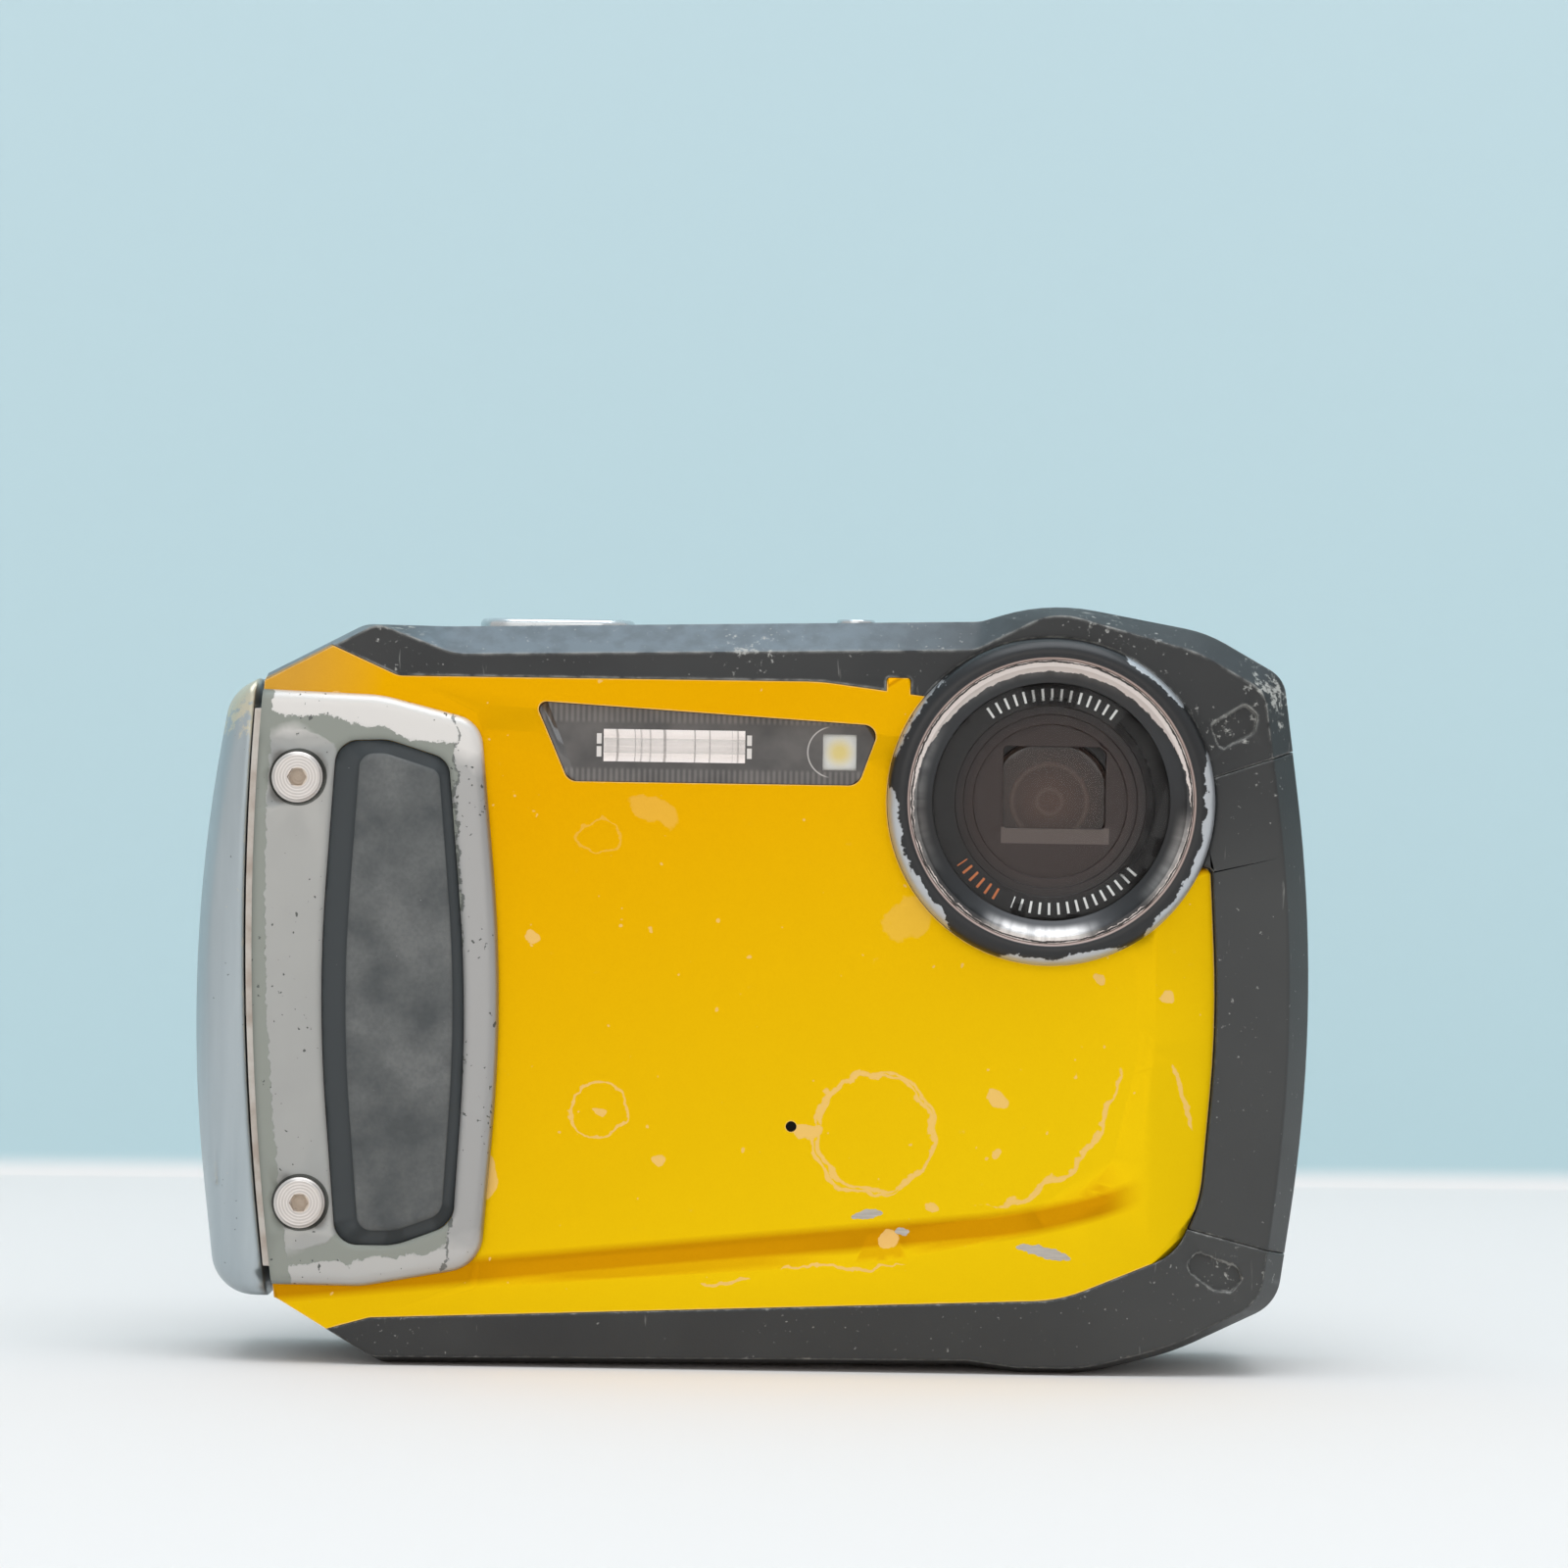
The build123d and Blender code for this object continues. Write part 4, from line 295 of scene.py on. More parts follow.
def edge_lean(tree, reach):
    """How far the normal, rounded within the reach, leans from the true one: 0 on a flat face."""
    rounded = add_node(tree, "Bevel", {"Radius": reach * MM}, samples=6).outputs[0]
    normal = add_node(tree, "NewGeometry").outputs["Normal"]
    same = add_node(tree, "VectorMath", {0: rounded, 1: normal},
                    operation="DOT_PRODUCT").outputs["Value"]
    return add_node(tree, "Math", {0: 1.0, 1: same}, operation="SUBTRACT").outputs[0], rounded


def worn(tree, place, lean, breakup, gain, start, end):
    """Wear mask, 0 to 1: the lean times a gain plus noise of the given grain, cut off sharply."""
    chips = add_node(tree, "TexNoise", {"Vector": place, "Scale": 1 / breakup, "Detail": 5.0,
                                        "Roughness": 0.65}).outputs[0]
    level = add_node(tree, "Math", {0: lean, 1: gain, 2: chips},
                     operation="MULTIPLY_ADD").outputs[0]
    return add_node(tree, "MapRange", {0: level, 1: start, 2: end}).outputs[0]


def largest(tree, masks):
    """The largest of several masks."""
    total = masks[0]
    for mask in masks[1:]:
        total = add_node(tree, "Math", {0: total, 1: mask}, operation="MAXIMUM").outputs[0]
    return total


cover_material, tree, place = new_material("glass_filled_nylon")
lean, rounded = edge_lean(tree, 0.45)
near = []
for x, y, z, spread, weight in KNOCKS:
    away = add_node(tree, "VectorMath", {0: place, 1: (x, y, z)},
                    operation="DISTANCE").outputs["Value"]
    near.append(add_node(tree, "MapRange", {0: away, 1: spread, 2: 0.0, 4: weight}).outputs[0])
near = largest(tree, near)
knocked = add_node(tree, "Math", {0: lean, 1: 0.8, 2: near}, operation="MULTIPLY_ADD").outputs[0]
wear = worn(tree, place, knocked, 0.8, 1.0, 0.70, 0.78)
specks = add_node(tree, "TexNoise", {"Vector": place, "Scale": 1 / SPECK, "Detail": 2.0}).outputs[0]
zones = add_node(tree, "TexNoise", {"Vector": place, "Scale": 1 / BLOTCH, "Detail": 2.0}).outputs[0]
specks = add_node(tree, "Math", {0: zones, 1: 0.25, 2: specks}, operation="MULTIPLY_ADD").outputs[0]
specks = add_node(tree, "MapRange", {0: specks, 1: 0.83, 2: 0.88, 4: 0.6}).outputs[0]
streak = add_node(tree, "Mapping", {0: place, 2: (0.0, 0.5, 0.0), 3: (1.6, 1.0, 0.18)}).outputs[0]
streak = add_node(tree, "TexNoise", {"Vector": streak, "Scale": 1.0, "Detail": 3.0}).outputs[0]
streak = add_node(tree, "MapRange", {0: streak, 1: 0.69, 2: 0.75, 4: 0.35}).outputs[0]
parts = add_node(tree, "SeparateXYZ", {0: place}).outputs
# Pale line along the upper crests: part scuff, part painted highlight on the edge.
crest_scuff_and_highlight = add_node(tree, "MapRange", {0: lean, 1: 0.015, 2: 0.05, 4: 0.75}).outputs[0]
high = add_node(tree, "MapRange", {0: parts[2], 1: CREST_Z[0], 2: CREST_Z[1]}).outputs[0]
patchiness = add_node(tree, "TexNoise", {"Vector": place, "Scale": 1 / PATCH_GRAIN,
                                     "Detail": 5.0}).outputs[0]
patchiness = add_node(tree, "MapRange", {0: patchiness, 1: 0.35, 2: 0.6}).outputs[0]
crest_scuff_and_highlight = add_node(tree, "Math", {0: crest_scuff_and_highlight, 1: high}, operation="MULTIPLY").outputs[0]
crest_scuff_and_highlight = add_node(tree, "Math", {0: crest_scuff_and_highlight, 1: patchiness}, operation="MULTIPLY").outputs[0]
wear = largest(tree, [wear, specks, streak, crest_scuff_and_highlight])
dust = add_node(tree, "TexNoise", {"Vector": place, "Scale": 1 / DUST_CLOUD,
                                   "Detail": 4.0}).outputs[0]
dust = add_node(tree, "MapRange", {0: dust, 1: 0.35, 2: 0.7}).outputs[0]
shell = add_node(tree, "Mix", {0: dust, 6: linear(COVER_COLOUR), 7: linear(COVER_GREY)},
                 data_type="RGBA").outputs[2]
far = add_node(tree, "MapRange", {0: parts[0], 1: GREY_END_X[0], 2: GREY_END_X[1], 4: 0.5}).outputs[0]
low = add_node(tree, "MapRange", {0: parts[2], 1: GREY_END_Z[0], 2: GREY_END_Z[1]}).outputs[0]
far = add_node(tree, "Math", {0: far, 1: low}, operation="MULTIPLY").outputs[0]
shell = add_node(tree, "Mix", {0: far, 6: shell, 7: linear(COVER_LENS_END_GREY)},
                 data_type="RGBA").outputs[2]
normal = add_node(tree, "NewGeometry").outputs["Normal"]
rising = add_node(tree, "SeparateXYZ", {0: normal}).outputs[2]
# Painted reflection: bevels that look up are lightened to a bluish grey, less along X and on flat
# tops, broken up by noise.
painted_sheen = add_node(tree, "MapRange", {0: rising, 1: SHEEN_SLOPE[0], 2: SHEEN_SLOPE[1]}).outputs[0]
along = add_node(tree, "MapRange", {0: parts[0], 1: SHEEN_X[0], 2: SHEEN_X[1], 3: SHEEN_SHARE[0],
                                    4: SHEEN_SHARE[1]}).outputs[0]
flat_tops = add_node(tree, "MapRange", {0: rising, 1: FLAT_TOP_SLOPE[0], 2: FLAT_TOP_SLOPE[1],
                                    3: FLAT_TOP_SHARE[0], 4: FLAT_TOP_SHARE[1]}).outputs[0]
sheen_breakup = add_node(tree, "MapRange", {0: patchiness, 3: 0.8, 4: 1.1}).outputs[0]
painted_sheen = add_node(tree, "Math", {0: painted_sheen, 1: along}, operation="MULTIPLY").outputs[0]
painted_sheen = add_node(tree, "Math", {0: painted_sheen, 1: flat_tops}, operation="MULTIPLY").outputs[0]
painted_sheen = add_node(tree, "Math", {0: painted_sheen, 1: sheen_breakup}, operation="MULTIPLY").outputs[0]
shell = add_node(tree, "Mix", {0: painted_sheen, 6: shell, 7: linear(COVER_PAINTED_SHEEN)},
                 data_type="RGBA").outputs[2]
colour = add_node(tree, "Mix", {0: wear, 6: shell, 7: linear(COVER_SCUFF_AND_HIGHLIGHT)},
                  data_type="RGBA").outputs[2]
grain = add_node(tree, "TexNoise", {"Vector": place, "Scale": 1 / GRAIN, "Detail": 2.0}).outputs[0]
bump = add_node(tree, "Bump", {"Strength": 0.3, "Distance": GRAIN_DEPTH * MM, "Height": grain,
                               "Normal": rounded}).outputs[0]
rough = add_node(tree, "MapRange", {0: zones, 1: 0.3, 2: 0.7, 3: 0.34, 4: 0.46}).outputs[0]
skin = add_node(tree, "BsdfPrincipled", {"Base Color": colour, "Roughness": rough, "Normal": bump})
add_node(tree, "OutputMaterial", {"Surface": skin.outputs[0]})
for node in ("front_cover", "rear_cover", "end_trim"):
    softened(node, cover_material, 0.12)

# ------------------------------ front panel
# Pressed aluminium sheet under a satin golden-orange metallic lacquer. The lacquer is rubbed to
# a pale primer at its rim and along old dents, and a few gouges reach the bare sheet. Its colour
# holds a painted reflection of the white floor, lighter low down, painted shade up and to the
# left, and painted shade on the slopes that look up and along the fold above the foot.
PANEL_LOW_FLOOR_REFLECTION = "ECC50E"
PANEL_HIGH_SHADE = "E3A704"
PANEL_SLOPE_SHADE = "BE7C04"   # painted shade: darker orange on the slopes that look up and along the fold
PANEL_CORNER = "C0924A"
PRIMER = "EFC274"
BARE_SHEET = "CFC9C2"
SHEET_GRIME = "9C968E"
FLAKE = 0.16          # grain of the metal flakes in the lacquer
FLAKE_DEPTH = 0.02
FRAY = 1.1            # ragged edges of the rubs
SHADED_SLOPE = (0.06, 0.24)  # upward part of the normal on the slopes that get the painted shade
REFLECTION_TILT = -0.45      # the painted floor reflection gives way to painted shade up and to the left, over these heights
REFLECTION_Z = (8.0, 62.0)
FOLD_LEAN = -0.0998   # the band of painted shade along the fold above the foot: its lean, height, start and bow
FOLD_Z, FOLD_X, FOLD_BOW = 11.35, 21.0, 0.009
FOLD_WIDTH, FOLD_END = (1.5, 0.7), (37.0, 32.5)
STAINED_CORNER, STAIN = (-45.0, -10.0, 65.0), (11.0, 3.0)     # a browned corner, and its reach
RUBS = [              # centre (x, z), half sizes, turn in degrees, line width or 0 for a patch
    ((11.7, 22.3), (5.5, 5.4), 0, 0.40),
    ((11.35, 21.95), (5.65, 5.5), 0, 0.34),
    ((23.0, 25.3), (1.0, 0.8), 40, 0),
    ((23.1, 20.5), (0.4, 0.4), 0, 0),
    ((40.3, 25.8), (0.3, 3.2), -18, 0),
    ((-13.9, 23.9), (2.5, 2.6), 20, 0.22),
    ((-20.3, 39.7), (0.8, 0.8), 0, 0),
    ((-8.2, 19.4), (0.75, 0.7), 0, 0),
    ((-14.0, 23.8), (0.7, 0.35), 20, 0),
    ((38.5, 35.2), (0.6, 0.6), 0, 0),
    ((32.2, 36.6), (0.5, 0.5), 0, 0),
    ((17.1, 15.4), (0.6, 0.55), 0, 0),
    ((5.3, 22.3), (1.5, 0.8), -15, 0),
    ((-24.0, 17.3), (0.9, 2.2), 0, 0),
    ((-36.5, 61.0), (2.6, 0.5), 20, 0),
    ((13.2, 12.3), (1.1, 0.8), 0, 0),
    ((-2.0, 8.0), (2.6, 0.22), -8, 0),
    ((8.5, 9.6), (6.0, 0.16), -3, 0),
]
SMEARS = [            # the same for smears that barely show
    ((-14.2, 49.4), (1.9, 1.6), 0, 0.20),
    ((14.4, 41.9), (2.6, 1.7), -35, 0),
    ((-9.3, 51.6), (2.6, 1.1), 25, 0),
]
LONG_RUB = ((20.3, 30.9), (14.2, 15.6), 0.50)   # centre, half sizes and width of a scratch,
LONG_RUB_X, LONG_RUB_Z = (20.0, 24.0), (29.0, 27.5)   # and where the part that shows begins
FAR = 1e4             # half depth of a mark, so that it is the same at any depth
GOUGES = [            # centre (x, z), half sizes and turn in degrees
    ((11.1, 14.6), (1.5, 0.45), -8),
    ((27.4, 11.4), (2.6, 0.55), 12),
    ((14.3, 13.1), (0.7, 0.35), 10),
]


def mark(tree, place, centre, size, turn=0.0, line=0.0):
    """Mask of an elliptical patch or, given a line width, of its outline, seen along Y.

    The point is moved to the centre, turned and divided by the half sizes, so its length is 1
    on the rim.
    """
    local = add_node(tree, "Mapping",
                     {0: place, 1: (centre[0], 0.0, centre[1]), 2: (0.0, math.radians(turn), 0.0),
                      3: (size[0], FAR, size[1])}, vector_type="TEXTURE").outputs[0]
    away = add_node(tree, "VectorMath", {0: local}, operation="LENGTH").outputs["Value"]
    if not line:
        return add_node(tree, "MapRange", {0: away, 1: 1.15, 2: 0.75}).outputs[0]
    away = add_node(tree, "Math", {0: away, 1: 1.0}, operation="SUBTRACT").outputs[0]
    away = add_node(tree, "Math", {0: away}, operation="ABSOLUTE").outputs[0]
    return add_node(tree, "MapRange", {0: away, 1: 2 * line / (size[0] + size[1]),
                                       2: 0.0}).outputs[0]


def shaken(tree, place, size, amount):
    """Place moved by noise of the given size, up to about half the amount either way."""
    drift = add_node(tree, "TexNoise", {"Vector": place, "Scale": 1 / size,
                                        "Detail": 3.0}).outputs[1]
    drift = add_node(tree, "VectorMath", {0: drift, 1: (0.5, 0.5, 0.5)},
                     operation="SUBTRACT").outputs[0]
    return add_node(tree, "VectorMath", {0: drift, 1: (amount,) * 3, 2: place},
                    operation="MULTIPLY_ADD").outputs[0]


def bowed(tree, across, along, level, middle, bow, over=False):
    """Distance from a bowed line: along minus (level + bow * (across - middle) squared).

    With over, the line is straight before the middle.
    """
    off = add_node(tree, "Math", {0: across, 1: middle}, operation="SUBTRACT").outputs[0]
    if over:
        off = add_node(tree, "Math", {0: off, 1: 0.0}, operation="MAXIMUM").outputs[0]
    off = add_node(tree, "Math", {0: off, 1: 2.0}, operation="POWER").outputs[0]
    line = add_node(tree, "Math", {0: off, 1: bow, 2: level}, operation="MULTIPLY_ADD").outputs[0]
    return add_node(tree, "Math", {0: along, 1: line}, operation="SUBTRACT").outputs[0]


panel_material, tree, place = new_material("metallic_lacquer")
parts = add_node(tree, "SeparateXYZ", {0: place}).outputs
# Painted reflection and shade: lighter lacquer low down where the white floor would reflect, darker
# up and to the left.
climb = add_node(tree, "Math", {0: parts[0], 1: REFLECTION_TILT, 2: parts[2]},
                 operation="MULTIPLY_ADD").outputs[0]
climb = add_node(tree, "MapRange", {0: climb, 1: REFLECTION_Z[0], 2: REFLECTION_Z[1]}).outputs[0]
paint = add_node(tree, "Mix", {0: climb, 6: linear(PANEL_LOW_FLOOR_REFLECTION), 7: linear(PANEL_HIGH_SHADE)},
                 data_type="RGBA").outputs[2]
normal = add_node(tree, "NewGeometry").outputs["Normal"]
rising = add_node(tree, "SeparateXYZ", {0: normal}).outputs[2]
# Painted shade: slopes that look up, and a band along the fold above the foot, are darkened to a
# deeper orange.
slope_shade = add_node(tree, "MapRange", {0: rising, 1: SHADED_SLOPE[0], 2: SHADED_SLOPE[1], 4: 0.75}).outputs[0]
level = add_node(tree, "Math", {0: parts[0], 1: FOLD_LEAN, 2: parts[2]},
                 operation="MULTIPLY_ADD").outputs[0]
fold_shade = bowed(tree, parts[0], level, FOLD_Z, FOLD_X, FOLD_BOW, True)
fold_shade = add_node(tree, "Math", {0: fold_shade}, operation="ABSOLUTE").outputs[0]
fold_shade = add_node(tree, "MapRange", {0: fold_shade, 1: FOLD_WIDTH[0], 2: FOLD_WIDTH[1],
                                     4: 0.85}).outputs[0]
ending = add_node(tree, "MapRange", {0: parts[0], 1: FOLD_END[0], 2: FOLD_END[1]},
                  interpolation_type="SMOOTHSTEP").outputs[0]
fold_shade = add_node(tree, "Math", {0: fold_shade, 1: ending}, operation="MULTIPLY").outputs[0]
slope_shade = largest(tree, [slope_shade, fold_shade])
paint = add_node(tree, "Mix", {0: slope_shade, 6: paint, 7: linear(PANEL_SLOPE_SHADE)},
                 data_type="RGBA").outputs[2]
corner = add_node(tree, "VectorMath", {0: place, 1: STAINED_CORNER},
                  operation="DISTANCE").outputs["Value"]
corner = add_node(tree, "MapRange", {0: corner, 1: STAIN[0], 2: STAIN[1], 4: 0.6}).outputs[0]
paint = add_node(tree, "Mix", {0: corner, 6: paint, 7: linear(PANEL_CORNER)},
                 data_type="RGBA").outputs[2]
moved = shaken(tree, place, 2.2, 2.2)
rubs = largest(tree, [mark(tree, moved, *rub) for rub in RUBS])
bend = mark(tree, moved, LONG_RUB[0], LONG_RUB[1], 0.0, LONG_RUB[2])
right = add_node(tree, "MapRange", {0: parts[0], 1: LONG_RUB_X[0], 2: LONG_RUB_X[1]}).outputs[0]
below = add_node(tree, "MapRange", {0: parts[2], 1: LONG_RUB_Z[0], 2: LONG_RUB_Z[1]}).outputs[0]
bend = add_node(tree, "Math", {0: bend, 1: right}, operation="MULTIPLY").outputs[0]
bend = add_node(tree, "Math", {0: bend, 1: below}, operation="MULTIPLY").outputs[0]
rubs = largest(tree, [rubs, bend])
fray = add_node(tree, "TexNoise", {"Vector": place, "Scale": 1 / FRAY, "Detail": 4.0}).outputs[0]
rubs = add_node(tree, "Math", {0: fray, 1: 1.6, 2: rubs}, operation="MULTIPLY_ADD").outputs[0]
rubs = add_node(tree, "MapRange", {0: rubs, 1: 1.22, 2: 1.42, 4: 0.75}).outputs[0]
smears = largest(tree, [mark(tree, moved, *smear) for smear in SMEARS])
smears = add_node(tree, "Math", {0: fray, 1: 1.6, 2: smears}, operation="MULTIPLY_ADD").outputs[0]
smears = add_node(tree, "MapRange", {0: smears, 1: 1.15, 2: 1.5, 4: 0.22}).outputs[0]
rubs = largest(tree, [rubs, smears])
lean = edge_lean(tree, 0.3)[0]
rim = worn(tree, place, lean, 1.3, 2.2, 0.78, 0.86)
flecks = add_node(tree, "TexNoise", {"Vector": place, "Scale": 1 / 0.9, "Detail": 1.0}).outputs[0]
flecks = add_node(tree, "MapRange", {0: flecks, 1: 0.775, 2: 0.80, 4: 0.7}).outputs[0]
pale = largest(tree, [rubs, rim, flecks])
gouges = largest(tree, [mark(tree, shaken(tree, place, 0.8, 0.7), *gouge) for gouge in GOUGES])
gouges = add_node(tree, "Math", {0: fray, 1: 1.0, 2: gouges}, operation="MULTIPLY_ADD").outputs[0]
gouges = add_node(tree, "MapRange", {0: gouges, 1: 0.95, 2: 1.05}).outputs[0]
colour = add_node(tree, "Mix", {0: pale, 6: paint, 7: linear(PRIMER)}, data_type="RGBA").outputs[2]
streak = add_node(tree, "Mapping", {0: place, 2: (0.0, 0.15, 0.0), 3: (0.5, 1.0, 6.0)}).outputs[0]
streak = add_node(tree, "TexNoise", {"Vector": streak, "Scale": 1.0, "Detail": 3.0}).outputs[0]
bare = add_node(tree, "Mix", {0: streak, 6: linear(BARE_SHEET), 7: linear(SHEET_GRIME)},
                data_type="RGBA").outputs[2]
colour = add_node(tree, "Mix", {0: gouges, 6: colour, 7: bare}, data_type="RGBA").outputs[2]
metal = add_node(tree, "MapRange", {0: pale, 3: 1.0, 4: 0.25}).outputs[0]
flake = add_node(tree, "TexNoise", {"Vector": place, "Scale": 1 / FLAKE, "Detail": 1.0}).outputs[0]
bump = add_node(tree, "Bump", {"Strength": 0.1, "Distance": FLAKE_DEPTH * MM,
                               "Height": flake}).outputs[0]
rough = add_node(tree, "MapRange", {0: flake, 1: 0.3, 2: 0.7, 3: 0.40, 4: 0.50}).outputs[0]
skin = add_node(tree, "BsdfPrincipled", {"Base Color": colour, "Metallic": metal,
                                         "Roughness": rough, "Normal": bump})
add_node(tree, "OutputMaterial", {"Surface": skin.outputs[0]})
softened("front_panel", panel_material, 0.0)

# ------------------------------ grip plate
# A zinc die casting in satin silver paint, held by two screws. Where a thumb or a pocket rubs,
# the paint is gone to the grey-green casting in ragged patches, with small dark pits. A painted
# highlight runs along the top rim and the foot, with painted shade on the right rim and in the
# gap round each screw head.
SILVER_PAINT = "ABABA8"
SILVER_SHADE = "A0A09E"
SILVER_RIM_SHADE = "A6A5A4"
SILVER_PAINTED_HIGHLIGHT = "DAD6D2"
CASTING = "8F928A"
PIT_AND_GAP_SHADE = "5E605D"


def corners(node):
    """Lowest and highest corners of a CAD node's box, in millimetres."""
    return [np.array(corner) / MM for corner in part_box(node)]


LEFT = corners("side_door")[0][0]
SCREWS = [(LEFT + 9.65, 54.2), (LEFT + 10.45, 15.0)]
HEAD = 2.4            # radius of a screw head
SCREW_ISLAND = (4.4, 4.4)     # half sizes of the paint that is left round each screw
RIM_BAND = 2.2        # width of the painted band that is left along the rim
PAD_MIDDLE, PAD_ISLAND = (LEFT + 9.0, 34.6), (8.8, 24.4)   # and of the paint round the pad
TOP_RIM = (62.2, LEFT + 6.0, -0.0085)       # level, middle and bow of the plate's three rims
FOOT_RIM = (7.3, LEFT + 11.0, 0.0075)
OUTER_RIM = (LEFT + 27.0, 34.5, -0.0012)
STRIP = (LEFT + 6.5, 46.0, 1 / 500.0)       # and of a bare strip beside the door
BRINK = 2.3           # width of the paint before the pitted line beside the outer rim
PIT_SIZE, PIT_CROWD = 0.55, 5.0       # pits in the casting, and how they crowd
PAINT_STEP = 0.04     # drop from the paint to the casting
SOFT_RIM = 1.1        # radius that the rim is shaded with

plate_material, tree, place = new_material("silver_paint_on_casting")
parts = add_node(tree, "SeparateXYZ", {0: place}).outputs
moved = add_node(tree, "SeparateXYZ", {0: shaken(tree, place, 3.0, 2.6)}).outputs
fine = add_node(tree, "SeparateXYZ", {0: shaken(tree, place, 0.7, 0.9)}).outputs


def flattened(tree, place, point):
    """Place from a point (x, z), seen along Y."""
    flat = add_node(tree, "VectorMath", {0: place, 1: (point[0], 0.0, point[1])},
                    operation="SUBTRACT").outputs[0]
    return add_node(tree, "VectorMath", {0: flat, 1: (1.0, 0.0, 1.0)},
                    operation="MULTIPLY").outputs[0]


def screw_radius(tree, place):
    """Distance from the axis of the nearer screw, seen along Y."""
    reach = [add_node(tree, "VectorMath", {0: flattened(tree, place, screw)},
                      operation="LENGTH").outputs["Value"] for screw in SCREWS]
    return add_node(tree, "Math", {0: reach[0], 1: reach[1]}, operation="MINIMUM").outputs[0]


x, z = moved[0], moved[2]
top = bowed(tree, x, z, *TOP_RIM, True)
top = add_node(tree, "Math", {0: top, 1: -1.0}, operation="MULTIPLY").outputs[0]
bottom = bowed(tree, x, z, *FOOT_RIM, True)
outer = bowed(tree, z, x, *OUTER_RIM)
outer = add_node(tree, "Math", {0: outer, 1: -1.0}, operation="MULTIPLY").outputs[0]
inner = add_node(tree, "Math", {0: top, 1: bottom, 2: 2.0}, operation="SMOOTH_MIN").outputs[0]
inner = add_node(tree, "Math", {0: inner, 1: outer, 2: 2.0}, operation="SMOOTH_MIN").outputs[0]
ragged = add_node(tree, "TexNoise", {"Vector": place, "Scale": 1 / 0.9, "Detail": 5.0,
                                     "Roughness": 0.7}).outputs[0]
inner = add_node(tree, "Math", {0: ragged, 1: 1.6, 2: inner}, operation="MULTIPLY_ADD").outputs[0]
bare = add_node(tree, "MapRange", {0: inner, 1: RIM_BAND + 0.75, 2: RIM_BAND + 0.85}).outputs[0]
hold = mark(tree, shaken(tree, place, 2.5, 1.6), PAD_MIDDLE, PAD_ISLAND)
hold = add_node(tree, "MapRange", {0: hold, 1: 0.35, 2: 0.45, 3: 1.0, 4: 0.0}).outputs[0]
kept = largest(tree, [mark(tree, shaken(tree, place, 1.6, 0.9), screw, SCREW_ISLAND)
                      for screw in SCREWS])
kept = add_node(tree, "MapRange", {0: kept, 1: 0.35, 2: 0.45, 3: 1.0, 4: 0.0}).outputs[0]
bare = add_node(tree, "Math", {0: bare, 1: hold}, operation="MULTIPLY").outputs[0]
bare = add_node(tree, "Math", {0: bare, 1: kept}, operation="MULTIPLY").outputs[0]
strip = bowed(tree, parts[2], fine[0], *STRIP)
strip = add_node(tree, "MapRange", {0: strip, 1: 0.3, 2: 0.2}).outputs[0]
bare = largest(tree, [bare, strip])
pits = add_node(tree, "TexNoise", {"Vector": place, "Scale": 1 / PIT_SIZE,
                                   "Detail": 2.0}).outputs[0]
crowd = add_node(tree, "TexNoise", {"Vector": place, "Scale": 1 / PIT_CROWD,
                                    "Detail": 1.0}).outputs[0]
pits = add_node(tree, "Math", {0: crowd, 1: 0.25, 2: pits}, operation="MULTIPLY_ADD").outputs[0]
pits = add_node(tree, "MapRange", {0: pits, 1: 0.825, 2: 0.845}).outputs[0]
brink = add_node(tree, "Math", {0: outer, 1: BRINK}, operation="SUBTRACT").outputs[0]
brink = add_node(tree, "Math", {0: brink}, operation="ABSOLUTE").outputs[0]
brink = add_node(tree, "Math", {0: ragged, 1: -1.6, 2: brink}, operation="MULTIPLY_ADD").outputs[0]
brink = add_node(tree, "MapRange", {0: brink, 1: -0.62, 2: -0.72, 4: 0.8}).outputs[0]
pits = largest(tree, [pits, brink])
shade = add_node(tree, "TexNoise", {"Vector": place, "Scale": 1 / 6.0, "Detail": 3.0}).outputs[0]
paint = add_node(tree, "Mix", {0: shade, 6: linear(SILVER_PAINT), 7: linear(SILVER_SHADE)},
                 data_type="RGBA").outputs[2]
# Painted shade: the rounded right rim is drawn a darker silver.
right = add_node(tree, "MapRange", {0: parts[0], 1: LEFT + 20.0, 2: LEFT + 26.0}).outputs[0]
paint = add_node(tree, "Mix", {0: right, 6: paint, 7: linear(SILVER_RIM_SHADE)},
                 data_type="RGBA").outputs[2]
# Painted highlight: a paler silver along the top rim, and fainter along the foot, where the edges
# slope up towards the light.
painted_highlight = add_node(tree, "MapRange", {0: top, 1: 4.2, 2: 2.0}).outputs[0]
foot = add_node(tree, "MapRange", {0: bottom, 1: 3.4, 2: 2.0, 4: 0.35}).outputs[0]
painted_highlight = largest(tree, [painted_highlight, foot])
paint = add_node(tree, "Mix", {0: painted_highlight, 6: paint, 7: linear(SILVER_PAINTED_HIGHLIGHT)},
                 data_type="RGBA").outputs[2]
colour = add_node(tree, "Mix", {0: bare, 6: paint, 7: linear(CASTING)}, data_type="RGBA").outputs[2]
